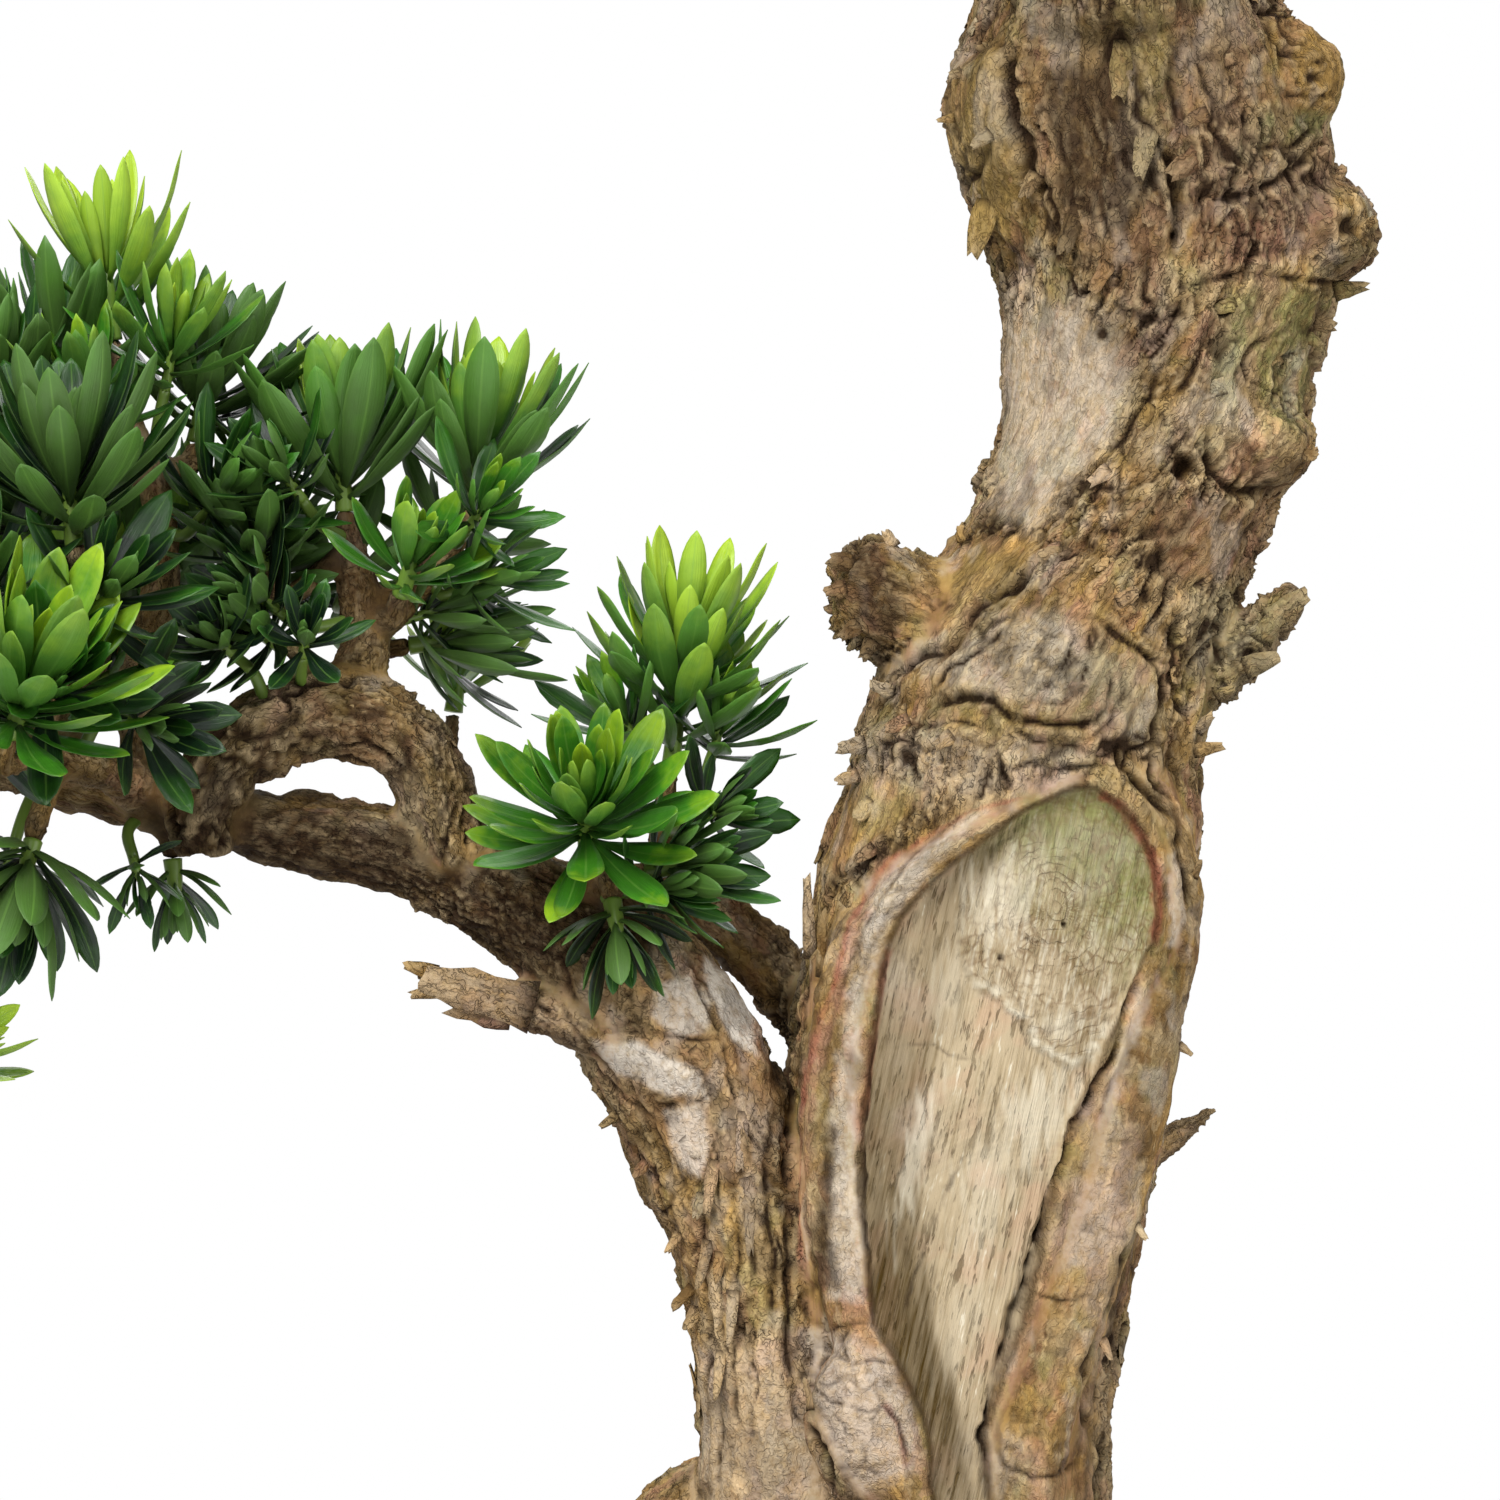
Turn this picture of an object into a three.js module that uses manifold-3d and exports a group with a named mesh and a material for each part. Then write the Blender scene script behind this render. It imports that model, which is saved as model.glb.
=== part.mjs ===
// A Buddhist pine (Podocarpus) bonsai in a plain oval stoneware pot, as a three.js scene graph.
// Millimetres, +Z up, the viewer looks along +Y with +X to the right.
// The tree is one grown body of wood: a trunk with a healed pruning wound, a low limb that leaves it
// on the left, branches, twigs and surface roots. Each leafy shoot is a body of its own, seated on
// the end of its twig. The roots stand in the soil, and the soil fills the pot.
import * as THREE from "three";
import { mergeVertices } from "three/addons/utils/BufferGeometryUtils.js";
import Module from "manifold-3d";

const wasm = await Module();
wasm.setup();

// Seats between two bodies keep this clearance.
const SEAT_GAP = 0.3;
// Points of one body that lie closer than this are one point.
const SLIVER = 0.01;

// Pot: an oval tray with a lip, four feet and two drain holes.
const POT = {
  halfLength: 168,
  halfWidth: 118,
  height: 88,
  footHeight: 10,
  floor: 10,
  wall: 9,
  lipHeight: 13,
  lipReach: 6,
  taper: 0.86,
  squareness: 2.5,
  sides: 32,
};
const FOOT = { length: 40, width: 24, x: 88, y: 50, sink: 3 };
const DRAIN = { radius: 9, x: 66 };
const SOIL = { edgeBelowRim: 8, crown: 7 };

// The trunk's outline, from the root flare to the apex: height, left, right, front and back.
const TRUNK = [
  [62, -42, 52, -40, 40],
  [80, -46, 56, -44, 42],
  [98, -40, 51, -39, 38],
  [118, -30, 45, -34, 35],
  [140, -26, 42, -33, 33],
  [170, -23.5, 44, -33, 33],
  [200, -23, 49.5, -34, 32],
  [240, -21, 58, -34, 32],
  [262, -17.5, 60, -34, 31],
  [280, -12.5, 60, -33, 30],
  [296, -8, 61.5, -33, 29],
  [318, 2, 68, -30, 27],
  [336, 13, 74, -27, 26],
  [354, 20, 80, -25, 26],
  [370, 20.5, 84, -25, 27],
  [385, 18.5, 88, -26, 28],
  [402, 13, 88, -28, 29],
  [422, 9, 83, -31, 30],
  [440, 16, 75, -29, 29],
  [458, 19, 71, -25, 27],
  [484, 17, 59, -19, 21],
  [512, 10, 42, -13, 15],
  [538, 6, 29, -10, 11],
  [558, 8, 22, -7, 7],
];
const TRUNK_SIDES = 16;
const TRUNK_LOBES = 0.045;

// The wound: an oval of bare wood with a stub face at its top. Height, left and right edge.
const WOUND = [
  [110, 12, 14],
  [132, 8, 17],
  [154, 5, 18],
  [174, -3, 24],
  [200, -7.6, 33],
  [232, -7, 42],
  [250, -3, 50],
  [264, 8, 48],
  [277, 27, 44],
  [284, 38, 40],
];
const WOUND_DEPTH = 5.5;
const RIM = { left: 6.2, right: 8.5, lowest: 130, proud: 0.45, sides: 6 };

// Swellings of the trunk: knots, burls and the thick plates beside the wound. Centre and radii.
const BURLS = [
  [-7, -29, 158, 12, 9, 18],
  [72, -8, 350, 11, 13, 9],
  [84, -4, 394, 11, 13, 11],
  [76, -6, 423, 12, 13, 11],
  [44, -22, 437, 14, 14, 10],
];

// Wood routes: points of x, y, z and radius, from where each leaves its parent to its end.
const ROUTES = {
  limb: [
    [-16, 0, 96, 24],
    [-20, -1, 128, 21.5],
    [-21, -2, 160, 19.5],
    [-26, -3, 184, 18],
    [-34, -4, 205, 17],
    [-43, -5, 225, 17],
    [-55, -6, 243, 16.5],
    [-68, -7, 255, 13],
    [-84, -6, 263, 10],
    [-100, -5, 269.5, 8.5],
    [-116, -4, 273, 8],
    [-134, -4, 276, 7],
    [-152, -3, 280, 6.2],
    [-170, -2, 284, 5.4],
    [-192, 0, 291, 4.8],
    [-220, 4, 298, 4],
    [-246, 8, 302, 3],
  ],
  loop: [
    [-88, -8, 268, 7.5],
    [-92, -10, 280, 7.2],
    [-97, -11, 291, 6.8],
    [-108, -12, 298, 6.8],
    [-121, -12, 297, 6.5],
    [-133, -13, 290, 6.5],
    [-139, -13, 279, 6.2],
    [-138, -12, 269, 5],
  ],
  riser: [
    [-110, -12, 296, 6.2],
    [-107, -8, 309, 5.2],
    [-108, -4, 322, 4.4],
    [-111, -2, 334, 3],
  ],
  riserFork: [
    [-107, -7, 312, 4.2],
    [-97, -3, 322, 3.6],
    [-87, 0, 335, 2.6],
  ],
  strut: [
    [-10, 12, 228, 9],
    [-26, 14, 246, 7.4],
    [-42, 13, 262, 6.6],
    [-47, 8, 276, 4.4],
  ],
  leftFront: [
    [-148, -4, 279, 5],
    [-157, -24, 286, 4.2],
    [-170, -46, 290, 3],
  ],
  leftBack: [
    [-164, -2, 283, 4.8],
    [-168, 20, 296, 4],
    [-166, 44, 310, 3],
  ],
  leftUp: [
    [-150, -3, 280, 5],
    [-152, -4, 300, 4.4],
    [-147, -4, 326, 3.8],
    [-150, -4, 350, 3],
  ],
  leftDrop: [
    [-206, 2, 294, 4.2],
    [-214, -2, 276, 3.4],
    [-210, -6, 250, 2.8],
    [-205, -8, 232, 2.2],
  ],
  leftStub: [
    [14, -4, 312, 13],
    [2, -6, 317, 12],
    [-8, -7, 322, 11],
    [-13, -8, 323, 8.5],
  ],
  rightStub: [
    [56, -6, 304, 9],
    [70, -8, 312, 6],
    [79, -8, 322, 3],
  ],
  limbShard: [
    [-58, -14, 235, 7],
    [-78, -14, 240, 4.2],
    [-97, -12, 246, 1.2],
  ],
  rightShard: [
    [44, 12, 205, 4],
    [56, 15, 212, 3],
    [65.5, 16, 218, 0.9],
  ],
  kneeRoot: [
    [-26, 8, 138, 15],
    [-42, 10, 132, 13],
    [-58, 12, 112, 11],
    [-74, 14, 90, 9],
    [-92, 16, 68, 6],
  ],
  rightBranch: [
    [58, -4, 452, 10],
    [86, -9, 463, 7.6],
    [116, -11, 473, 6],
    [148, -9, 480, 4.6],
    [178, -6, 483, 3],
  ],
  upperLeftBranch: [
    [30, 0, 484, 10],
    [6, -2, 499, 7.6],
    [-22, -6, 511, 6],
    [-52, -8, 517, 4.6],
    [-80, -8, 519, 3],
  ],
  backBranch: [
    [45, 12, 466, 9],
    [50, 40, 479, 6.6],
    [44, 68, 490, 5],
    [34, 94, 495, 3],
  ],
  frontBranch: [
    [38, -8, 492, 7],
    [52, -30, 505, 4.8],
    [58, -50, 514, 3],
  ],
  apexLeft: [
    [14, 0, 548, 6],
    [0, -4, 572, 4.4],
    [-12, -6, 592, 3],
  ],
  apexRight: [
    [16, 0, 548, 6],
    [32, 3, 572, 4.4],
    [44, 5, 590, 3],
  ],
  apexBack: [
    [14, 2, 540, 5.5],
    [12, 24, 562, 4.2],
    [6, 42, 578, 3],
  ],
  apexTop: [
    [15, 0, 552, 6],
    [18, -4, 580, 4.4],
    [16, -4, 604, 3],
  ],
};
const ROOTS = {
  angles: [20, 72, 124, 222, 268, 318],
  start: 24,
  reach: 106,
  top: 100,
  end: 62,
  radius: 15,
};

// Leafy shoots placed one by one: the branch that each leaves, its seat, the way it points, leaf
// length, leaves in a whorl and whorls, how far the lowest leaves open in degrees, stem length.
const SHOOTS = [
  {
    name: "top_left",
    on: "leftUp",
    seat: [-157, -5, 372],
    lean: [-0.1, 0, 1],
    size: 31,
    whorls: [3, 3],
    spread: 44,
    stem: 12,
  },
  {
    name: "left_dark",
    on: "leftFront",
    seat: [-161, -46, 330],
    lean: [-0.08, -0.1, 1],
    size: 34,
    whorls: [5, 3],
    spread: 52,
    stem: 12,
  },
  {
    name: "left_mid",
    on: "leftUp",
    seat: [-141, 2, 352],
    lean: [0.2, 0.1, 1],
    size: 28,
    whorls: [4, 3],
    spread: 56,
    stem: 12,
  },
  {
    name: "riser_top",
    on: "riser",
    seat: [-111, -2, 338],
    lean: [-0.04, -0.04, 1],
    size: 35,
    whorls: [5, 3],
    spread: 48,
    stem: 9,
  },
  {
    name: "riser_right",
    on: "riserFork",
    seat: [-85, 1, 339],
    lean: [0.08, 0, 1],
    size: 34,
    whorls: [5, 3],
    spread: 52,
    stem: 9,
  },
  {
    name: "riser_front",
    on: "riser",
    seat: [-99, -15, 321],
    lean: [0.3, -0.5, 0.8],
    size: 22,
    whorls: [4, 2],
    spread: 62,
    stem: 7,
  },
  {
    name: "strut_top",
    on: "strut",
    seat: [-46, 6, 286],
    lean: [0.12, -0.04, 1],
    size: 29,
    whorls: [5, 4],
    spread: 68,
    stem: 24,
  },
  {
    name: "front_rosette",
    on: "limb",
    seat: [-62, -24, 271],
    lean: [-0.05, -0.7, 0.7],
    size: 27,
    whorls: [5, 3],
    spread: 82,
    stem: 9,
  },
  {
    name: "front_low",
    on: "limb",
    seat: [-57, -25, 260],
    lean: [0.15, -0.5, -0.85],
    size: 21,
    whorls: [3, 2],
    spread: 58,
    stem: 6,
  },
  {
    name: "front_side",
    on: "limb",
    seat: [-50, -18, 266],
    lean: [0.9, -0.35, 0.15],
    size: 24,
    whorls: [4, 2],
    spread: 48,
    stem: 6,
  },
  {
    name: "behind_limb",
    on: "limb",
    seat: [-90, 18, 298],
    lean: [0.12, 0.1, 1],
    size: 21,
    whorls: [4, 2],
    spread: 50,
    stem: 8,
  },
  {
    name: "riser_left",
    on: "riser",
    seat: [-127, -7, 326],
    lean: [-0.3, -0.25, 0.9],
    size: 26,
    whorls: [5, 2],
    spread: 62,
    stem: 7,
  },
  {
    name: "riser_dark",
    on: "loop",
    seat: [-123, -13, 311],
    lean: [-0.55, -0.45, 0.35],
    size: 20,
    whorls: [5, 2],
    spread: 66,
    stem: 6,
  },
  {
    name: "riser_low",
    on: "riser",
    seat: [-98, 4, 311],
    lean: [0.95, -0.05, 0.12],
    size: 28,
    whorls: [4, 2],
    spread: 40,
    stem: 7,
  },
  {
    name: "left_bright",
    on: "leftFront",
    seat: [-172, -58, 293],
    lean: [0.3, -0.4, 0.8],
    size: 34,
    whorls: [5, 3],
    spread: 72,
    stem: 10,
  },
  {
    name: "left_low",
    on: "leftFront",
    seat: [-170, -36, 272],
    lean: [-0.2, -0.35, -0.9],
    size: 30,
    whorls: [4, 2],
    spread: 52,
    stem: 6,
  },
  {
    name: "left_hanging",
    on: "limb",
    seat: [-145, -6, 268],
    lean: [0.1, -0.1, -1],
    size: 15,
    whorls: [3, 2],
    spread: 48,
    stem: 6,
  },
  {
    name: "left_edge",
    on: "leftUp",
    seat: [-181, -18, 352],
    lean: [-0.15, -0.1, 1],
    size: 27,
    whorls: [5, 2],
    spread: 52,
    stem: 9,
  },
  {
    name: "drop_end",
    on: "leftDrop",
    seat: [-197, -11, 226],
    lean: [0.75, -0.2, 0.5],
    size: 24,
    whorls: [4, 2],
    spread: 50,
    stem: 7,
  },
];

// Shoots that a branch carries by rule, from a share of its length to its tip: how many, how far to
// the side and how high they stand, and their leaf length.
const PADS = [
  { name: "left", on: "limb", from: 0.76, count: 6, reach: 26, height: 26, size: 31 },
  { name: "left_back", on: "leftBack", from: 0.45, count: 3, reach: 18, height: 22, size: 30 },
  { name: "right", on: "rightBranch", from: 0.3, count: 8, reach: 30, height: 20, size: 30 },
  { name: "upper_left", on: "upperLeftBranch", from: 0.32, count: 7, reach: 28, height: 20, size: 30 },
  { name: "back", on: "backBranch", from: 0.4, count: 4, reach: 26, height: 18, size: 30 },
  { name: "front", on: "frontBranch", from: 0.6, count: 2, reach: 14, height: 14, size: 29 },
  { name: "apex_left", on: "apexLeft", from: 0.5, count: 2, reach: 14, height: 12, size: 29 },
  { name: "apex_right", on: "apexRight", from: 0.5, count: 2, reach: 14, height: 12, size: 29 },
  { name: "apex_back", on: "apexBack", from: 0.5, count: 2, reach: 14, height: 12, size: 29 },
  { name: "apex_top", on: "apexTop", from: 1, count: 1, reach: 4, height: 10, size: 31 },
];
const PAD_SHOOT = { whorls: [5, 2], spread: 66, stem: 7, twigSides: 3 };

// A leaf's widest stretch lies between its stations, given as shares of its length and of its width.
const LEAF = {
  slimness: 0.27,
  thickness: 1,
  bend: 34,
  innermost: 24,
  stations: [
    [0.3, 0.82],
    [0.68, 1],
  ],
};
const STEM = { radius: 1.9, topRadius: 1.3, band: 3, bud: 2.4 };
const TWIG = { start: 2.4, knee: 2.4, end: 2.2, sides: 4, bend: 7 };

const degrees = (d) => (d * Math.PI) / 180;
const vector = (p) => new THREE.Vector3(p[0], p[1], p[2]);
// A number from 0 to 1 that depends only on its seed.
const chance = (seed) => {
  const s = Math.sin(seed * 12.9898 + 4.137) * 43758.5453;
  return s - Math.floor(s);
};

// Collects points and triangles. A ring lists its points counterclockwise, seen from the end that grows.
function knitter() {
  const position = [];
  const index = [];
  const ring = (points) => points.map((p) => position.push(p.x, p.y, p.z) / 3 - 1);
  const face = (...corners) => index.push(...corners);
  const cap = (a) => a.slice(2).forEach((corner, j) => face(a[0], a[j + 1], corner));
  const knit = (a, b) =>
    a.forEach((corner, j) => {
      const k = (j + 1) % a.length;
      face(corner, a[k], b[b.length > 1 ? k : 0]);
      if (b.length > 1) face(corner, b[k], b[j]);
    });
  const geometry = () => {
    const made = new THREE.BufferGeometry();
    made.setAttribute("position", new THREE.Float32BufferAttribute(position, 3));
    made.setIndex(index);
    return made;
  };
  return { ring, face, cap, knit, geometry };
}

function solid(geometry) {
  geometry.deleteAttribute("normal");
  geometry.deleteAttribute("uv");
  const merged = mergeVertices(geometry, 1e-4);
  const vertProperties = merged.attributes.position.array;
  const triVerts = new Uint32Array(merged.index.array);
  return new wasm.Manifold(new wasm.Mesh({ numProp: 3, vertProperties, triVerts }));
}

// A closed body through rings of points; the last ring may be one point.
function loft(rings) {
  const work = knitter();
  const ids = rings.map(work.ring);
  work.cap([...ids[0]].reverse());
  ids.slice(1).forEach((ring, i) => work.knit(ids[i], ring));
  work.cap(ids.at(-1));
  return solid(work.geometry());
}

// The body as a geometry, with the slivers that a join leaves drawn together.
function geometryOf(body) {
  const made = body.getMesh();
  const raw = new THREE.BufferGeometry();
  raw.setAttribute("position", new THREE.BufferAttribute(new Float32Array(made.vertProperties), 3));
  raw.setIndex(new THREE.BufferAttribute(new Uint32Array(made.triVerts), 1));
  const geometry = mergeVertices(raw, SLIVER);
  const corners = Array.from(geometry.index.array);
  const kept = corners.filter((_, i) => {
    const [a, b, c] = corners.slice(i - (i % 3), i - (i % 3) + 3);
    return a !== b && b !== c && c !== a;
  });
  geometry.setIndex(kept);
  geometry.computeVertexNormals();
  return geometry;
}

const joined = (bodies) => bodies.reduce((all, body) => all.add(body));
const largest = (body) => body.decompose().sort((a, b) => b.volume() - a.volume())[0];

// A tapered tube along points of x, y, z and radius, its frame carried along without twist.
// Its end lies square to the last stretch, or to the direction that is given.
function tube(points, sides, grow = 0, endDirection = null) {
  const centres = points.map(vector);
  const last = centres.length - 1;
  let across = new THREE.Vector3(0, 1, 0);
  const rings = centres.map((centre, i) => {
    const ahead = centres[Math.min(i + 1, last)].clone().sub(centres[Math.max(i - 1, 0)]).normalize();
    if (i === last && endDirection) ahead.copy(endDirection);
    if (Math.abs(across.dot(ahead)) > 0.96) across = new THREE.Vector3(ahead.z, ahead.x, ahead.y);
    across.addScaledVector(ahead, -across.dot(ahead)).normalize();
    const up = ahead.clone().cross(across);
    return circle(centre, across, up, points[i][3] + grow, sides, 0);
  });
  return loft(rings);
}

function circle(centre, across, up, radius, sides, start) {
  return Array.from({ length: sides }, (_, j) => {
    const turn = start + (2 * Math.PI * j) / sides;
    const reach = across.clone().multiplyScalar(radius * Math.cos(turn));
    return reach.addScaledVector(up, radius * Math.sin(turn)).add(centre);
  });
}

// The trunk's sections lie flat, each an oval that bulges a little at its lobes.
function trunkRing([z, left, right, front, back], grow = 0) {
  return Array.from({ length: TRUNK_SIDES }, (_, j) => {
    const turn = (2 * Math.PI * j) / TRUNK_SIDES;
    const lobe = 1 + TRUNK_LOBES * Math.abs(Math.sin(turn)) * Math.sin(3 * turn + z * 0.035);
    const x = (left + right) / 2 + ((right - left) / 2 + grow) * Math.cos(turn) * lobe;
    const depth = Math.sin(turn) < 0 ? -front : back;
    return new THREE.Vector3(x, (depth + grow) * Math.sin(turn) * lobe, z);
  });
}

// How far forward the trunk's surface lies at x and z.
function frontOfTrunk(x, z) {
  const i = Math.max(1, TRUNK.findIndex((row) => row[0] >= z));
  const [low, high] = [TRUNK[i - 1], TRUNK[i]];
  const row = low.map((value, k) => THREE.MathUtils.mapLinear(z, low[0], high[0], value, high[k]));
  const share = (x - (row[1] + row[2]) / 2) / ((row[2] - row[1]) / 2);
  return row[3] * Math.sqrt(Math.max(0.06, 1 - share * share));
}

// The hollow of the wound, deepest along its middle.
function woundHollow() {
  const rings = WOUND.map(([z, left, right]) => {
    const middle = (left + right) / 2;
    const floor = frontOfTrunk(middle, z) + Math.min(WOUND_DEPTH, (right - left) * 0.3);
    const bevel = (right - left) * 0.22;
    const outline = [
      [right + 1, floor - 26],
      [right, frontOfTrunk(right, z) + 1],
      [right - bevel, floor],
      [left + bevel, floor],
      [left, frontOfTrunk(left, z) + 1],
      [left - 1, floor - 26],
    ];
    return outline.map(([x, y]) => new THREE.Vector3(x, y, z));
  });
  return loft(rings);
}

// The callus that rolls over one side of the wound.
function woundRim(side, radius) {
  const rows = WOUND.filter(([z]) => z >= RIM.lowest);
  const route = rows.map(([z, left, right]) => {
    const x = side < 0 ? left - radius * 0.75 : right + radius * 0.75;
    const taper = Math.min(1, 0.45 + (WOUND.at(-1)[0] - z) / 60);
    return [x, frontOfTrunk(x, z) + radius * RIM.proud, z, radius * taper];
  });
  return tube(route, RIM.sides);
}

function burl([x, y, z, rx, ry, rz]) {
  const ball = new THREE.IcosahedronGeometry(1, 1);
  return solid(ball.scale(rx, ry, rz).translate(x, y, z));
}

function rootRoute(angle, i) {
  const reach = ROOTS.reach * (0.84 + 0.16 * chance(i + 3));
  return [0, 0.34, 0.68, 1].map((t) => {
    const out = ROOTS.start + (reach - ROOTS.start) * t;
    const turn = degrees(angle + 9 * Math.sin(5 * t + i));
    const z = ROOTS.top + (ROOTS.end - ROOTS.top) * t;
    return [4 + out * Math.cos(turn), out * 0.86 * Math.sin(turn), z, ROOTS.radius * (1 - 0.66 * t)];
  });
}

const sidesFor = (route) => (route[0][3] > 14 ? 10 : 6);
const rootTubes = (grow) => ROOTS.angles.map((angle, i) => tube(rootRoute(angle, i), 6, grow));

// What of the tree meets the soil, grown by the clearance.
function footOfTree(grow) {
  const base = loft(TRUNK.slice(0, 4).map((row) => trunkRing(row, grow)));
  const limb = tube(ROUTES.limb.slice(0, 3), sidesFor(ROUTES.limb), grow);
  const knee = tube(ROUTES.kneeRoot, sidesFor(ROUTES.kneeRoot), grow);
  return joined([base, limb, knee, ...rootTubes(grow)]);
}

// The point at a share of a route's length, with the direction there.
function along(route, share) {
  const curve = new THREE.CatmullRomCurve3(route.map(vector));
  return { point: curve.getPointAt(share), ahead: curve.getTangentAt(share) };
}

// The shoots of one pad stand left and right of their branch by turns, the last at its tip.
function padShoots(pad, order) {
  return Array.from({ length: pad.count }, (_, i) => {
    const seed = order * 31 + i * 7;
    const share = pad.from + ((1 - pad.from) * i) / Math.max(1, pad.count - 1);
    const { point, ahead } = along(ROUTES[pad.on], share);
    const level = new THREE.Vector3(ahead.x, ahead.y, 0).normalize();
    const sideways = new THREE.Vector3(-level.y, level.x, 0);
    const atTip = i === pad.count - 1;
    const side = atTip ? 0 : i % 2 ? 1 : -1;
    const out = side * (0.62 + 0.38 * chance(seed));
    const rise = pad.height * (0.75 + 0.5 * chance(seed + 1)) - Math.abs(out) * pad.reach * 0.3;
    const seat = point.clone().addScaledVector(sideways, out * pad.reach);
    seat.addScaledVector(level, atTip ? 8 : 2);
    const lean = new THREE.Vector3(0, 0, 1).addScaledVector(sideways, 0.5 * out);
    lean.addScaledVector(level, atTip ? 0.5 : 0.12);
    return {
      ...PAD_SHOOT,
      name: pad.name + "_" + (i + 1),
      on: pad.on,
      seat: [seat.x, seat.y, seat.z + rise],
      lean: lean.toArray(),
      size: pad.size * (0.92 + 0.16 * chance(seed + 2)),
    };
  });
}

// The twig that carries a shoot leaves its branch at the nearest point and ends square to the shoot.
function twig({ on, seat, lean, twigSides = TWIG.sides }) {
  const end = vector(seat);
  const direction = vector(lean).normalize();
  const shares = Array.from({ length: 44 }, (_, i) => 0.08 + i * 0.02);
  const starts = shares.map((share) => along(ROUTES[on], share).point);
  const start = starts.sort((a, b) => a.distanceTo(end) - b.distanceTo(end))[0];
  const knee = end.clone().addScaledVector(direction, -Math.min(TWIG.bend, start.distanceTo(end) * 0.45));
  const points = [
    [...start.toArray(), TWIG.start],
    [...knee.toArray(), TWIG.knee],
    [...end.toArray(), TWIG.end],
  ];
  return tube(points, twigSides, 0, direction);
}

// The rings of a leaf past its root: boat-shaped sections with a keel under the midrib, then the point.
function leafRings(root, axis, outward, length, opening, grow = 0) {
  const side = axis.clone().cross(outward);
  const point = root[0].clone().add(root[1]).add(root[2]).divideScalar(3);
  let reached = 0;
  const advance = (share) => {
    const heading = degrees(opening - (LEAF.bend * (share + reached)) / 2);
    const step = length * (share - reached);
    point.addScaledVector(axis, step * Math.cos(heading));
    point.addScaledVector(outward, step * Math.sin(heading));
    reached = share;
  };
  const rings = LEAF.stations.map(([share, wide]) => {
    advance(share);
    const heading = degrees(opening - LEAF.bend * share);
    const upper = axis.clone().multiplyScalar(Math.sin(heading));
    upper.addScaledVector(outward, -Math.cos(heading));
    const half = (length * LEAF.slimness * wide) / 2 + grow;
    return [
      point.clone().addScaledVector(side, half).addScaledVector(upper, grow),
      point.clone().addScaledVector(side, -half).addScaledVector(upper, grow),
      point.clone().addScaledVector(upper, -LEAF.thickness - grow),
    ];
  });
  advance(1 + grow / length);
  return [...rings, [point]];
}

const reachesInto = (body, others) => {
  const a = body.boundingBox();
  return others.some(({ box, whole }) => {
    const apart = [0, 1, 2].some((k) => a.min[k] > box.max[k] || a.max[k] < box.min[k]);
    return !apart && whole.intersect(body).volume() > 1e-4;
  });
};
const standingBody = (whole) => ({ box: whole.boundingBox(), whole });

// Turns and openings, in degrees, that a leaf tries in order until it is clear of its neighbours.
const TRIES = [
  [0, 0],
  [10, -8],
  [-10, -8],
  [18, 4],
  [-18, 4],
  [0, -20],
  [0, 16],
  [26, -14],
  [-26, -14],
];

// A shoot's own frame: where it starts, its axis, and two directions square to that.
function frameOf(shoot) {
  const axis = vector(shoot.lean).normalize();
  const across = new THREE.Vector3(0, 1, 0).cross(axis).normalize();
  const seat = vector(shoot.seat).addScaledVector(axis, SEAT_GAP);
  return { seat, axis, across, back: axis.clone().cross(across) };
}

// The stem's rings, each turned by half a step, and the point of its bud.
function stemRings(shoot, order) {
  const { seat, axis, across, back } = frameOf(shoot);
  const [sides, whorls] = shoot.whorls;
  const bare = shoot.stem - whorls * STEM.band;
  const heights = Array.from({ length: whorls + 1 }, (_, i) => (i || bare > 1 ? bare + i * STEM.band : 0));
  const rings = (bare > 1 ? [0, ...heights] : heights).map((height, i) => {
    const radius = THREE.MathUtils.mapLinear(height, 0, shoot.stem, STEM.radius, STEM.topRadius);
    const start = order + (Math.PI * i) / sides;
    return circle(seat.clone().addScaledVector(axis, height), across, back, radius, sides, start);
  });
  return [...rings, [seat.clone().addScaledVector(axis, shoot.stem + STEM.bud)]];
}

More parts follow.
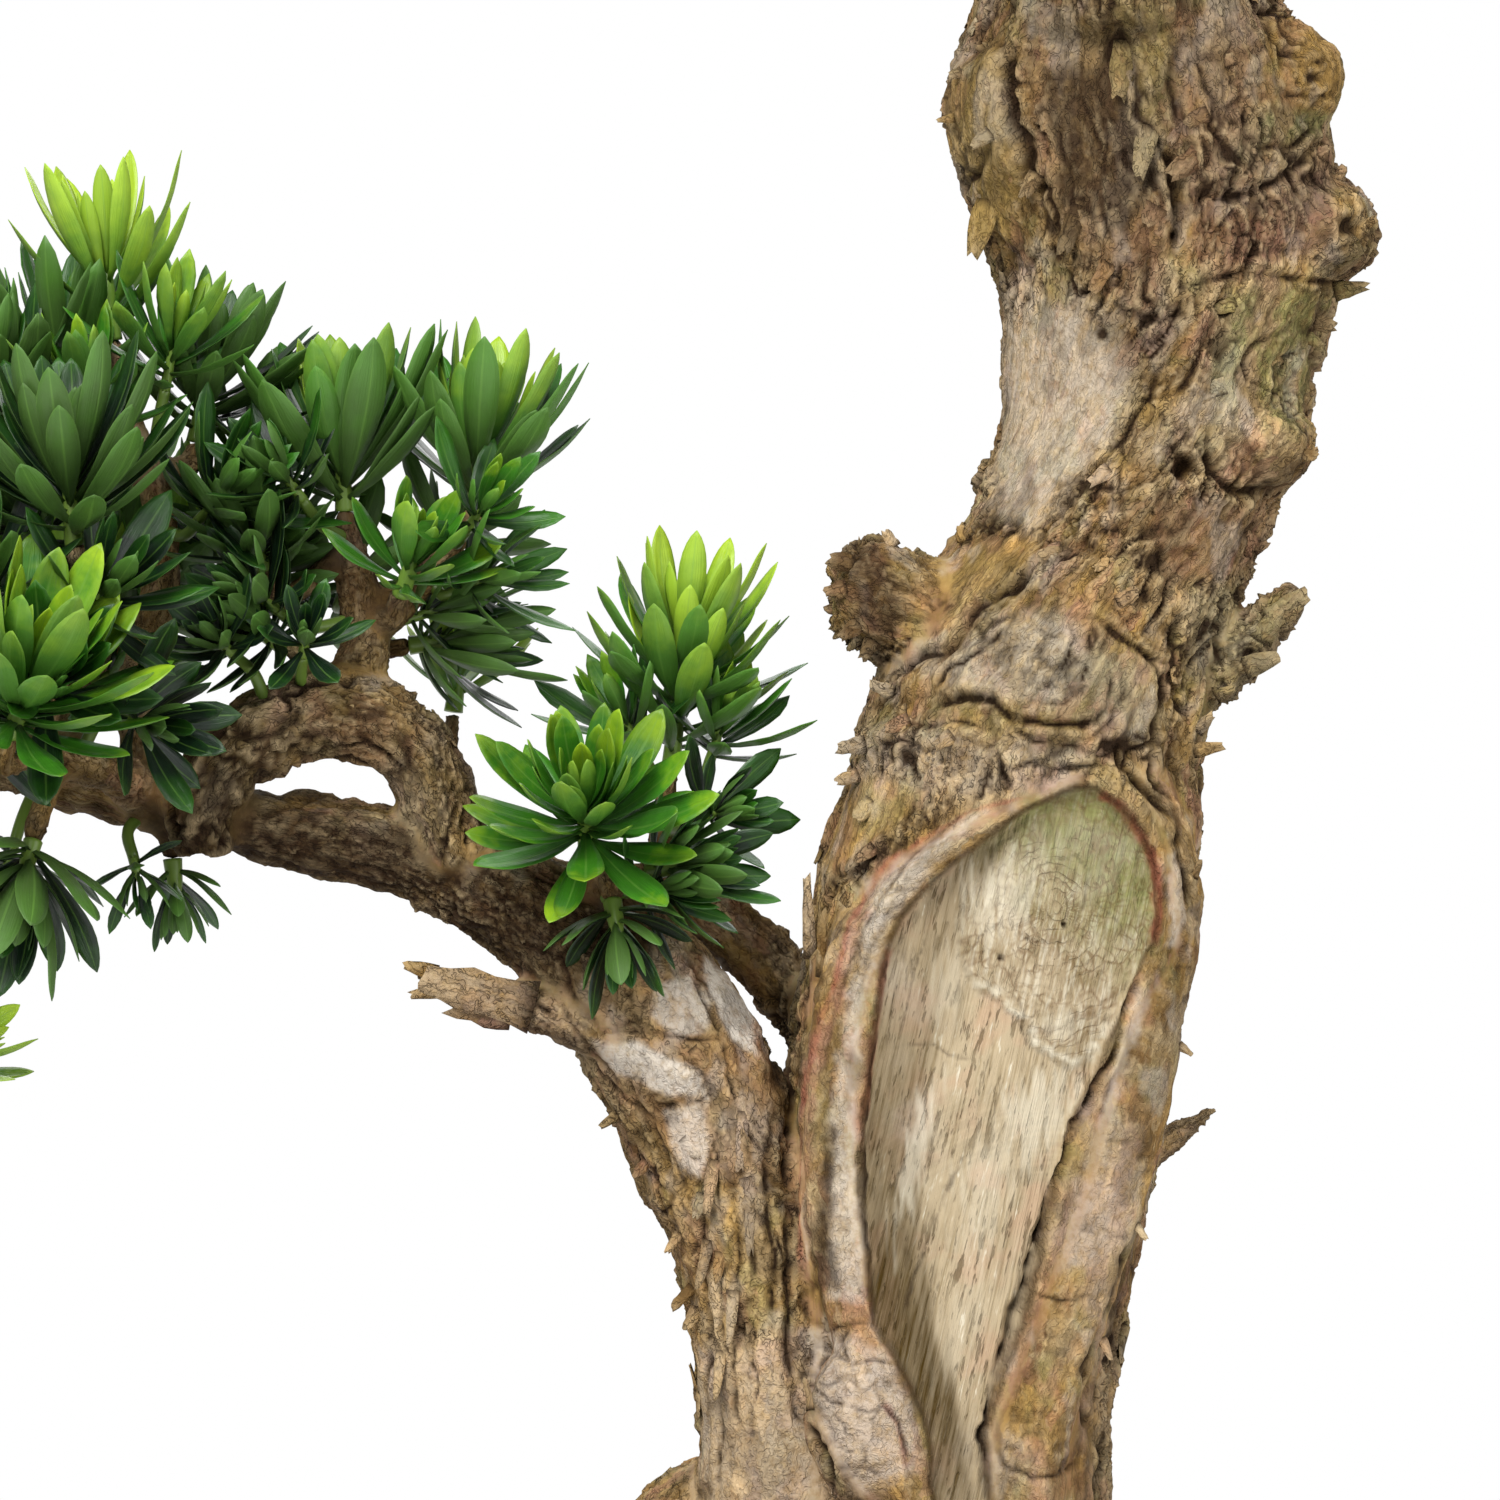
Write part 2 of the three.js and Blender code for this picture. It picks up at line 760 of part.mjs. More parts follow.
// The facets that point down between two rings of the stem grow out into leaves, the lowest whorl
// opening widest.
function shootBody(shoot, order, neighbours) {
  const { seat, axis } = frameOf(shoot);
  const [sides, whorls] = shoot.whorls;
  const work = knitter();
  const points = stemRings(shoot, order);
  const bud = points.pop();
  const ids = points.map(work.ring);
  work.cap([...ids[0]].reverse());
  work.knit(ids.at(-1), work.ring(bud));
  const grown = [];
  ids.slice(1).forEach((high, i) => {
    const low = ids[i];
    const whorl = i - (ids.length - 1 - whorls);
    high.forEach((upper, j) => {
      const k = (j + 1) % sides;
      work.face(low[j], low[k], upper);
      const facet = [high[k], upper, low[k]];
      const root = [points[i + 1][k], points[i + 1][j], points[i][k]];
      const rings = whorl < 0 ? null : clearLeaf(root, whorl, j);
      if (!rings) return work.face(...facet);
      let ring = facet;
      rings.forEach((next) => {
        const nextIds = work.ring(next);
        work.knit(ring, nextIds);
        ring = nextIds;
      });
    });
  });

  function clearLeaf(root, whorl, j) {
    const seed = order * 17 + whorl * 7 + j;
    const rise = whorls > 1 ? whorl / (whorls - 1) : 0;
    const spread = shoot.spread + (LEAF.innermost - shoot.spread) * Math.pow(rise, 0.85);
    const length = shoot.size * (0.9 + 0.1 * Math.sin(Math.PI * rise)) * (0.88 + 0.2 * chance(seed));
    const middle = root[0].clone().add(root[1]).add(root[2]).divideScalar(3);
    const away = middle.sub(seat);
    away.addScaledVector(axis, -away.dot(axis)).normalize();
    for (const [turned, opened] of TRIES) {
      const outward = away.clone().applyAxisAngle(axis, degrees(turned + 12 * (chance(seed + 0.3) - 0.5)));
      const opening = spread + opened + LEAF.bend / 2 + 10 * (chance(seed + 0.6) - 0.5);
      const lifted = root.map((corner) => corner.clone().addScaledVector(outward, 0.4));
      const rings = leafRings(root, axis, outward, length, opening);
      const wider = leafRings(root, axis, outward, length, opening, SEAT_GAP);
      const body = loft([lifted, ...rings]);
      if (reachesInto(body, grown) || reachesInto(loft([lifted, ...wider]), neighbours)) continue;
      grown.push(standingBody(body));
      return rings;
    }
    return null;
  }

  return solid(work.geometry());
}

// A superellipse ring, which pot and soil share so that their facets stay parallel.
function ovalRing(halfLength, halfWidth, z) {
  return Array.from({ length: POT.sides }, (_, j) => {
    const turn = (2 * Math.PI * j) / POT.sides;
    const corner = Math.abs(Math.cos(turn)) ** POT.squareness + Math.abs(Math.sin(turn)) ** POT.squareness;
    const bulge = Math.pow(corner, -1 / POT.squareness);
    return new THREE.Vector3(halfLength * bulge * Math.cos(turn), halfWidth * bulge * Math.sin(turn), z);
  });
}

// The pot's outside narrows towards its foot; inset moves in from the outside.
function potRing(z, inset) {
  const rise = (z - POT.footHeight) / (POT.height - POT.footHeight);
  const share = POT.taper + (1 - POT.taper) * Math.pow(Math.max(0, rise), 0.7);
  const narrowed = (half) => (half - POT.lipReach) * share - inset;
  return ovalRing(narrowed(POT.halfLength), narrowed(POT.halfWidth), z);
}

function potBody() {
  const lipFoot = POT.height - POT.lipHeight;
  const waist = POT.footHeight + 28;
  const bowl = loft([
    potRing(POT.footHeight, 6),
    potRing(POT.footHeight + 3, 0),
    potRing(waist, 0),
    potRing(lipFoot - 2, 0),
    potRing(lipFoot + 2, -POT.lipReach),
    potRing(POT.height, -POT.lipReach),
    potRing(POT.height, POT.wall),
    potRing(waist, POT.wall),
    potRing(POT.footHeight + POT.floor, POT.wall + 2),
  ]);
  const feet = [-1, 1].flatMap((sx) =>
    [-1, 1].map((sy) => {
      const foot = new THREE.BoxGeometry(FOOT.length, FOOT.width, POT.footHeight + FOOT.sink);
      return solid(foot.translate(sx * FOOT.x, sy * FOOT.y, (POT.footHeight + FOOT.sink) / 2));
    }),
  );
  const drains = [-1, 1].map((side) => {
    const drain = new THREE.CylinderGeometry(DRAIN.radius, DRAIN.radius, 3 * POT.floor, 12);
    return solid(drain.rotateX(Math.PI / 2).translate(side * DRAIN.x, 0, POT.footHeight + POT.floor / 2));
  });
  return joined([bowl, ...feet]).subtract(joined(drains));
}

function soilBody() {
  const edge = POT.height - SOIL.edgeBelowRim;
  const inset = POT.wall + SEAT_GAP + 0.1;
  const mound = (share, rise) =>
    potRing(edge, inset).map((p) => new THREE.Vector3(p.x * share, p.y * share, edge + rise));
  const body = loft([
    potRing(POT.footHeight + POT.floor + SEAT_GAP, inset + 2),
    potRing(POT.footHeight + 28, inset),
    potRing(edge, inset),
    mound(0.75, SOIL.crown * 0.6),
    mound(0.4, SOIL.crown),
  ]);
  return largest(body.subtract(footOfTree(SEAT_GAP + 0.1)));
}

function woodBody(shoots) {
  const trunk = loft(TRUNK.map((row) => trunkRing(row)));
  const routes = Object.values(ROUTES).map((route) => tube(route, sidesFor(route)));
  const carved = joined([trunk, ...rootTubes(0), ...routes, ...BURLS.map(burl)]).subtract(woundHollow());
  const rims = [woundRim(-1, RIM.left), woundRim(1, RIM.right), burl(BURLS[0])];
  return largest(joined([carved, ...rims, ...shoots.map(twig)]));
}

const finish = {
  stoneware: new THREE.MeshStandardMaterial({ color: 0x4a3a32, roughness: 0.7, metalness: 0 }),
  soil: new THREE.MeshStandardMaterial({ color: 0x3b2f25, roughness: 1, metalness: 0 }),
  bark: new THREE.MeshStandardMaterial({ color: 0x9c7f5c, roughness: 0.9, metalness: 0 }),
  leaves: new THREE.MeshStandardMaterial({ color: 0x3f7d2c, roughness: 0.4, metalness: 0 }),
};

const tree = new THREE.Group();
function place(name, body, material) {
  const mesh = new THREE.Mesh(geometryOf(body), material);
  mesh.name = name;
  tree.add(mesh);
}

const shoots = [...SHOOTS, ...PADS.flatMap(padShoots)];
const wood = woodBody(shoots);
place("pot", potBody(), finish.stoneware);
place("soil", soilBody(), finish.soil);
place("trunk_and_branches", wood, finish.bark);
const stems = shoots.map((shoot, order) => standingBody(loft(stemRings(shoot, order))));
const grownShoots = [];
shoots.forEach((shoot, order) => {
  const otherStems = stems.filter((_, i) => i !== order);
  const body = shootBody(shoot, order, [standingBody(wood), ...otherStems, ...grownShoots]);
  grownShoots.push(standingBody(body));
  place("shoot_" + shoot.name, body, finish.leaves);
});

// The origin is on the resting surface, below the middle of the whole tree and pot.
const extent = new THREE.Box3().setFromObject(tree);
tree.position.set(-(extent.min.x + extent.max.x) / 2, -(extent.min.y + extent.max.y) / 2, -extent.min.z);

export default tree;
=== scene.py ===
"""The looks of a Buddhist pine bonsai in an oval stoneware pot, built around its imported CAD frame.

Tables are in millimetres in the CAD source's own axes, and become metres in the row frame by to_frame.
Features of the front are placed by the pixels of the 1500 x 1500 photograph, through its camera.
"""
import math

import bpy
import numpy as np
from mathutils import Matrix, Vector


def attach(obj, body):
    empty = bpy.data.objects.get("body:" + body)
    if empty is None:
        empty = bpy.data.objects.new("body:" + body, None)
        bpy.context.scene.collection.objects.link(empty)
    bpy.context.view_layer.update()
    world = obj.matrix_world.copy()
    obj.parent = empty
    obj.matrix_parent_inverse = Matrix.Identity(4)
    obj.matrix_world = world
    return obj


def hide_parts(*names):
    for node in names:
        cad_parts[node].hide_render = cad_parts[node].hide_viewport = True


bl_info = {
    "name": "Buddhist pine bonsai",
    "version": (1, 0, 0),
    "blender": (4, 5, 0),
    "location": "3D View > Sidebar > Bonsai",
    "description": "Builds the wood, shoots, soil and pot of a Buddhist pine bonsai",
    "category": "Add Mesh",
}

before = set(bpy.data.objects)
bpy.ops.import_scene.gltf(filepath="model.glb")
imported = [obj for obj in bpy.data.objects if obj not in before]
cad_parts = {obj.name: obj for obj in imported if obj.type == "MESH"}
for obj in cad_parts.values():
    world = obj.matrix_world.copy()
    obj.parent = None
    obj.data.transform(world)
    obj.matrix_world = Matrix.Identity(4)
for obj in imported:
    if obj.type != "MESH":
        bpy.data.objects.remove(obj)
bpy.context.view_layer.update()

MM = 0.001
# From the CAD source's axes to the row frame, in millimetres.
SHIFT = np.array([32.246, -4.437, 0.0])
# The photograph's camera: its place in the source's axes, in millimetres, and pixels per millimetre at the trunk.
EYE = np.array([-30.0, -1500.0, 290.0])
PIXELS = 5.0
PHOTO_MIDDLE = 750
LENS, SENSOR = 180.0, 36
# From one leaf to the next round a stem, in radians.
LEAF_TURN = 2.39996

# The trunk's outline: height, left, right, front and back.
TRUNK = np.array([
    [62, -42, 52, -40, 40], [80, -46, 56, -44, 42], [98, -40, 51, -39, 38], [118, -30, 45, -34, 35],
    [140, -26, 42, -33, 33], [170, -23.5, 44, -33, 33], [200, -23, 49.5, -34, 32], [240, -21, 58, -34, 32],
    [262, -17.5, 60, -34, 31], [280, -12.5, 60, -33, 30], [296, -8, 61.5, -33, 29], [318, 2, 68, -30, 27],
    [336, 13, 74, -27, 26], [354, 20, 80, -25, 26], [370, 20.5, 84, -25, 27], [385, 18.5, 88, -26, 28],
    [402, 13, 88, -28, 29], [422, 9, 83, -31, 30], [440, 16, 75, -29, 29], [458, 19, 71, -25, 27],
    [484, 17, 59, -19, 21], [512, 10, 42, -13, 15], [538, 6, 29, -10, 11], [558, 8, 22, -7, 7],
])
TRUNK_LOBES = 0.045

# The wound: height, left and right edge; how deep it lies; the callus that rolls over each side.
WOUND = np.array([
    [110, 12, 14], [132, 8, 17], [154, 5, 18], [174, -3, 24], [200, -7.6, 33],
    [232, -7, 42], [250, -3, 50], [264, 8, 48], [277, 27, 44], [284, 38, 40],
])
WOUND_DEPTH = 5.5
RIM_LEFT, RIM_RIGHT, RIM_LOWEST, RIM_PROUD = 6.2, 8.5, 130, 0.45
BURLS = [
    [-7, -29, 158, 12, 9, 18], [72, -8, 350, 11, 13, 9], [84, -4, 394, 11, 13, 11],
    [76, -6, 423, 12, 13, 11], [44, -22, 437, 14, 14, 10],
]

# Wood routes: points of x, y, z and radius.
ROUTES = {
    "limb": [
        [-16, 0, 96, 24], [-20, -1, 128, 21.5], [-21, -2, 160, 19.5], [-26, -3, 184, 18], [-34, -4, 205, 17],
        [-43, -5, 225, 17], [-55, -6, 243, 16.5], [-68, -7, 255, 13], [-84, -6, 263, 10], [-100, -5, 269.5, 8.5],
        [-116, -4, 273, 8], [-134, -4, 276, 7], [-152, -3, 280, 6.2], [-170, -2, 284, 5.4], [-192, 0, 291, 4.8],
        [-220, 4, 298, 4], [-246, 8, 302, 3],
    ],
    "loop": [
        [-88, -8, 268, 7.6], [-92, -10, 280, 7.6], [-97, -11, 290, 8.2], [-108, -12, 296.5, 9.2],
        [-121, -12, 296, 8.8], [-133, -13, 289, 7.8], [-139, -13, 279, 7.4], [-138, -12, 269, 6],
    ],
    "riser": [[-110, -12, 296, 6.2], [-107, -8, 309, 5.2], [-108, -4, 322, 4.4], [-111, -2, 334, 3]],
    "riserFork": [[-107, -7, 312, 4.2], [-97, -3, 322, 3.6], [-87, 0, 335, 2.6]],
    "strut": [[-10, 12, 228, 9], [-26, 14, 246, 7.4], [-42, 13, 262, 6.6], [-47, 8, 276, 4.4]],
    "leftFront": [[-148, -4, 279, 5], [-157, -24, 286, 4.2], [-170, -46, 290, 3]],
    "leftBack": [[-164, -2, 283, 4.8], [-168, 20, 296, 4], [-166, 44, 310, 3]],
    "leftUp": [[-150, -3, 280, 5], [-152, -4, 300, 4.4], [-147, -4, 326, 3.8], [-150, -4, 350, 3]],
    "leftDrop": [[-206, 2, 294, 4.2], [-214, -2, 276, 3.4], [-210, -6, 250, 2.8], [-205, -8, 232, 2.2]],
    "leftStub": [[14, -4, 312, 13], [2, -6, 317, 12], [-8, -7, 322, 11], [-13, -8, 323, 8.5]],
    "rightStub": [[56, -6, 304, 9], [70, -8, 312, 6], [79, -8, 322, 3]],
    "limbShard": [[-58, -14, 235, 7], [-78, -14, 240, 4.2], [-97, -12, 246, 1.2]],
    "rightShard": [[44, 12, 205, 4], [56, 15, 212, 3], [65.5, 16, 218, 0.9]],
    "kneeRoot": [[-26, 8, 138, 15], [-42, 10, 132, 13], [-58, 12, 112, 11], [-74, 14, 90, 9], [-92, 16, 68, 6]],
    "rightBranch": [[58, -4, 452, 10], [86, -9, 463, 7.6], [116, -11, 473, 6], [148, -9, 480, 4.6], [178, -6, 483, 3]],
    "upperLeftBranch": [[30, 0, 484, 10], [6, -2, 499, 7.6], [-22, -6, 511, 6], [-52, -8, 517, 4.6], [-80, -8, 519, 3]],
    "backBranch": [[45, 12, 466, 9], [50, 40, 479, 6.6], [44, 68, 490, 5], [34, 94, 495, 3]],
    "frontBranch": [[38, -8, 492, 7], [52, -30, 505, 4.8], [58, -50, 514, 3]],
    "apexLeft": [[14, 0, 548, 6], [0, -4, 572, 4.4], [-12, -6, 592, 3]],
    "apexRight": [[16, 0, 548, 6], [32, 3, 572, 4.4], [44, 5, 590, 3]],
    "apexBack": [[14, 2, 540, 5.5], [12, 24, 562, 4.2], [6, 42, 578, 3]],
    "apexTop": [[15, 0, 552, 6], [18, -4, 580, 4.4], [16, -4, 604, 3]],
}
ROOT_ANGLES = [20, 72, 124, 222, 268, 318]
ROOT_START, ROOT_REACH, ROOT_TOP, ROOT_END, ROOT_RADIUS = 24, 106, 100, 62, 15


def srgb(red, green, blue):
    """A colour given in screen values from 0 to 255, as the linear values that materials take."""
    steps = [c / 255 for c in (red, green, blue)]
    return tuple(c / 12.92 if c < 0.04045 else ((c + 0.055) / 1.055) ** 2.4 for c in steps)


def chance(seed):
    """A number from 0 to 1 that depends only on its seed, by the CAD source's rule."""
    s = math.sin(seed * 12.9898 + 4.137) * 43758.5453
    return s - math.floor(s)


def to_frame(points):
    return (np.asarray(points, float) + SHIFT) * MM


def from_frame(points):
    return np.asarray(points, float) / MM - SHIFT


def to_pixels(points):
    """Where the photograph's camera sees points of the source's axes."""
    depth = (points[:, 1] - EYE[1]) / -EYE[1]
    u = PHOTO_MIDDLE + (points[:, 0] - EYE[0]) * PIXELS / depth
    v = PHOTO_MIDDLE - (points[:, 2] - EYE[2]) * PIXELS / depth
    return np.stack([u, v], 1)


def ease(x, low, high):
    """A smooth step from 0 at low to 1 at high."""
    t = np.clip((x - low) / (high - low), 0, 1)
    return t * t * (3 - 2 * t)


def full_turn(sides):
    """The angles of evenly spread points round a circle."""
    return np.linspace(0, 2 * np.pi, sides, endpoint=False)


def unit(vector):
    return vector / np.linalg.norm(vector)


# Noise over arrays of points


def scatter(i, seed):
    """Three numbers from 0 to 1 for each whole-numbered place i (n, 3)."""
    x, y, z = i.astype(np.int64).astype(np.uint32).T
    h = x * np.uint32(0x8DA6B343) ^ y * np.uint32(0xD8163841) ^ z * np.uint32(0xCB1AB31F)
    h = h ^ np.uint32((seed * 0x9E3779B1) & 0xFFFFFFFF)
    h = (h ^ (h >> np.uint32(15))) * np.uint32(0x2C1B3C6D)
    h = (h ^ (h >> np.uint32(12))) * np.uint32(0x297A2D39)
    h = h ^ (h >> np.uint32(15))
    ten = np.uint32(1023)
    parts = [h & ten, (h >> np.uint32(10)) & ten, (h >> np.uint32(20)) & ten]
    return np.stack(parts, 1).astype(np.float32) / 1023


def noise(p, seed=0):
    """Smooth gradient noise, about -1 to 1, at points p (n, 3)."""
    p = np.asarray(p, np.float32)
    base = np.floor(p)
    f = p - base
    ease_in = f * f * f * (f * (f * 6 - 15) + 10)
    total = np.zeros(len(p), np.float32)
    for corner in np.ndindex(2, 2, 2):
        c = np.array(corner, np.float32)
        slope = scatter(base + c, seed) * 2 - 1
        weight = np.prod(np.where(c > 0, ease_in, 1 - ease_in), 1)
        total += weight * ((f - c) * slope).sum(1)
    return total * 1.7


def sway(p, seed=0):
    """Three smooth numbers, -1 to 1, at points p (n, 3): a push to bend a pattern with."""
    p = np.asarray(p, np.float32)
    base = np.floor(p)
    f = p - base
    ease_in = f * f * (3 - 2 * f)
    total = np.zeros((len(p), 3), np.float32)
    for corner in np.ndindex(2, 2, 2):
        c = np.array(corner, np.float32)
        weight = np.prod(np.where(c > 0, ease_in, 1 - ease_in), 1)
        total += weight[:, None] * (scatter(base + c, seed) * 2 - 1)
    return total


def layers(p, seed=0, octaves=3, gain=0.5):
    """Noise at several scales together."""
    total, scale, weight, norm = 0, 1.0, 1.0, 0
    for k in range(octaves):
        total = total + noise(p * scale, seed + 11 * k) * weight
        norm += weight
        scale, weight = scale * 2.03, weight * gain
    return total / norm


def cells(p, seed=0):
    """Plates round scattered points: distance to the nearest edge (about), the plate's own three
    numbers, and where the point lies in its plate."""
    p = np.asarray(p, np.float32)
    n = len(p)
    first = np.full(n, 9e9, np.float32)
    second = first.copy()
    own = np.zeros((n, 3), np.float32)
    offset = np.zeros((n, 3), np.float32)
    base = np.floor(p)
    for corner in np.ndindex(3, 3, 3):
        place = base + (np.array(corner, np.float32) - 1)
        point = scatter(place, seed)
        away = p - (place + 0.1 + 0.8 * point)
        distance = (away * away).sum(1)
        closer = distance < first
        second = np.where(closer, first, np.minimum(second, distance))
        first = np.where(closer, distance, first)
        own[closer] = point[closer]
        offset[closer] = away[closer]
    return np.sqrt(second) - np.sqrt(first), own, offset


# Smooth wood: routes, tubes and the trunk's sections


def spline(rows, step):
    """A smooth line through rows of numbers, the first three a point, with a row about every step."""
    rows = np.asarray(rows, float)
    padded = np.vstack([2 * rows[0] - rows[1], rows, 2 * rows[-1] - rows[-2]])
    out = []
    for i in range(1, len(padded) - 2):
        p0, p1, p2, p3 = padded[i - 1: i + 3]
        knots = [0.0]
        for a, b in ((p0, p1), (p1, p2), (p2, p3)):
            knots.append(knots[-1] + max(1e-3, np.linalg.norm((b - a)[:3])) ** 0.5)
        t0, t1, t2, t3 = knots
        count = max(1, int(round(np.linalg.norm((p2 - p1)[:3]) / step)))
        t = (t1 + (t2 - t1) * np.arange(count) / count)[:, None]
        a1 = (t1 - t) / (t1 - t0) * p0 + (t - t0) / (t1 - t0) * p1
        a2 = (t2 - t) / (t2 - t1) * p1 + (t - t1) / (t2 - t1) * p2
        a3 = (t3 - t) / (t3 - t2) * p2 + (t - t2) / (t3 - t2) * p3
        b1 = (t2 - t) / (t2 - t0) * a1 + (t - t0) / (t2 - t0) * a2
        b2 = (t3 - t) / (t3 - t1) * a2 + (t - t1) / (t3 - t1) * a3
        out.append((t2 - t) / (t2 - t1) * b1 + (t - t1) / (t2 - t1) * b2)
    return np.vstack(out + [padded[-2:-1]])


class Route:
    """A resampled wood route with a frame carried along it without twist."""

    def __init__(self, rows, step=2.0):
        line = spline(rows, step)
        self.points, self.radius = line[:, :3], np.maximum(line[:, 3], 0.6)
        gaps = np.linalg.norm(np.diff(self.points, axis=0), axis=1)
        self.reach = np.concatenate([[0], np.cumsum(gaps)])
        ahead = np.gradient(self.points, axis=0)
        self.ahead = ahead / np.linalg.norm(ahead, axis=1)[:, None]
        across = np.array([0.0, 1.0, 0.0])
        self.across = []
        for direction in self.ahead:
            if abs(across @ direction) > 0.96:
                across = direction[[2, 0, 1]]
            across = unit(across - direction * (across @ direction))
            self.across.append(across)
        self.across = np.array(self.across)
        self.up = np.cross(self.ahead, self.across)

    def tube(self, sides):
        turn = full_turn(sides)
        round_ = np.cos(turn)[None, :, None] * self.across[:, None] + np.sin(turn)[None, :, None] * self.up[:, None]
        return loft(self.points[:, None] + round_ * self.radius[:, None, None])

    def local(self, p):
        """Distance from the surface, length along and angle round the route, and its radius, at points p."""
        best = np.full(len(p), 9e9)
        nearest = np.zeros(len(p), int)
        for k, point in enumerate(self.points):
            distance = ((p - point) ** 2).sum(1)
            closer = distance < best
            best[closer] = distance[closer]
            nearest[closer] = k
        away = p - self.points[nearest]
        forward = (away * self.ahead[nearest]).sum(1)
        flat = away - forward[:, None] * self.ahead[nearest]
        last = len(self.points) - 1
        past = np.where(nearest == 0, -forward, np.where(nearest == last, forward, 0)).clip(0)
        distance = np.hypot(np.linalg.norm(flat, axis=1), past * 0.8) - self.radius[nearest]
        angle = np.arctan2((flat * self.up[nearest]).sum(1), (flat * self.across[nearest]).sum(1))
        return distance, self.reach[nearest] + forward, angle, self.radius[nearest], self.ahead[nearest]


def loft(rings):
    """Points and faces of a closed body through rings (rows, sides, 3)."""
    rows, sides = rings.shape[:2]
    points = rings.reshape(-1, 3)
    grid = np.arange(rows * sides).reshape(rows, sides)
    here, there = grid[:-1], grid[1:]
    quads = np.stack([here, np.roll(here, -1, 1), np.roll(there, -1, 1), there], -1).reshape(-1, 4)
    return points, [tuple(q) for q in quads] + [tuple(grid[0][::-1]), tuple(grid[-1])]


def trunk_row(z):
    """The trunk's left, right, front and back at heights z."""
    return [np.interp(z, TRUNK_FINE[:, 2], TRUNK_FINE[:, k]) for k in (3, 4, 5, 6)]


TRUNK_FINE = spline([[0, 0, *row] for row in TRUNK], 2.0)


def trunk_body():
    turn = full_turn(72)
    rings = []
    for _, _, z, left, right, front, back in TRUNK_FINE:
        lobe = 1 + TRUNK_LOBES * np.abs(np.sin(turn)) * np.sin(3 * turn + z * 0.035)
        x = (left + right) / 2 + (right - left) / 2 * np.cos(turn) * lobe
        depth = np.where(np.sin(turn) < 0, -front, back)
        rings.append(np.stack([x, depth * np.sin(turn) * lobe, np.full_like(x, z)], 1))
    return loft(np.array(rings))


def trunk_local(p):
    left, right, front, back = trunk_row(p[:, 2])
    half = (right - left) / 2
    x = (p[:, 0] - (left + right) / 2) / half
    depth = np.where(p[:, 1] < 0, -front, back)
    y = p[:, 1] / depth
    share = np.hypot(x, y)
    past = (p[:, 2] - TRUNK[-1, 0]).clip(0)
    return (share - 1) * np.minimum(half, depth) + past, p[:, 2].copy(), np.arctan2(y, x), half


def front_of_trunk(x, z):
    """How far forward the trunk's surface lies at x and z."""
    left, right, front, _ = trunk_row(z)
    share = (x - (left + right) / 2) / ((right - left) / 2)
    return front * np.sqrt(np.maximum(0.06, 1 - share * share))


def rim_route(side, radius):
    rows = WOUND[WOUND[:, 0] >= RIM_LOWEST]
    z = rows[:, 0]
    x = rows[:, 1] - radius * 0.75 if side < 0 else rows[:, 2] + radius * 0.75
    taper = np.minimum(1, 0.45 + (WOUND[-1, 0] - z) / 60)
    return np.stack([x, front_of_trunk(x, z) + radius * RIM_PROUD, z, radius * taper], 1)


def root_route(angle, i):
    reach = ROOT_REACH * (0.84 + 0.16 * chance(i + 3))
    rows = []
    for t in (0, 0.34, 0.68, 1):
        out = ROOT_START + (reach - ROOT_START) * t
        turn = math.radians(angle + 9 * math.sin(5 * t + i))
        z = ROOT_TOP + (ROOT_END - ROOT_TOP) * t
        rows.append([4 + out * math.cos(turn), out * 0.86 * math.sin(turn), z, ROOT_RADIUS * (1 - 0.66 * t)])
    return rows


def ball(x, y, z, rx, ry, rz):
    turn = full_turn(24)
    steepest = np.pi / 2 - 0.08
    rings = [
        np.stack([np.cos(tilt) * np.cos(turn), np.cos(tilt) * np.sin(turn), np.full(24, np.sin(tilt))], 1)
        for tilt in np.linspace(-steepest, steepest, 13)
    ]
    return loft(np.array(rings) * [rx, ry, rz] + [x, y, z])


# Shoots: which branch carries each


SHOOT_ON = {
    "top_left": "leftUp", "left_dark": "leftFront", "left_mid": "leftUp", "riser_top": "riser",
    "riser_right": "riserFork", "riser_front": "riser", "strut_top": "strut", "front_rosette": "limb",
    "front_low": "limb", "front_side": "limb", "behind_limb": "limb", "riser_left": "riser",
    "riser_dark": "loop", "riser_low": "riser", "left_bright": "leftFront", "left_low": "leftFront",
    "left_hanging": "limb", "left_edge": "leftUp", "drop_end": "leftDrop", "left_back": "leftBack",
    "left": "limb", "right": "rightBranch", "upper_left": "upperLeftBranch", "back": "backBranch",
    "front": "frontBranch", "apex_left": "apexLeft", "apex_right": "apexRight", "apex_back": "apexBack",
    "apex_top": "apexTop",
}


# The shortest that a leaf's last stretch is, how evenly the bud's edges are long, and their longest, in millimetres.
LAST_STRETCH, BUD_EVEN, BUD_EDGE = 3.2, 0.02, 4
# Rows and columns of points on a leaf, and how many young leaves stand round the bud.
PLACED_DETAIL, OTHER_DETAIL, SIDE_DETAIL = ((12, 4), 9), ((7, 4), 6), ((5, 2), 4)


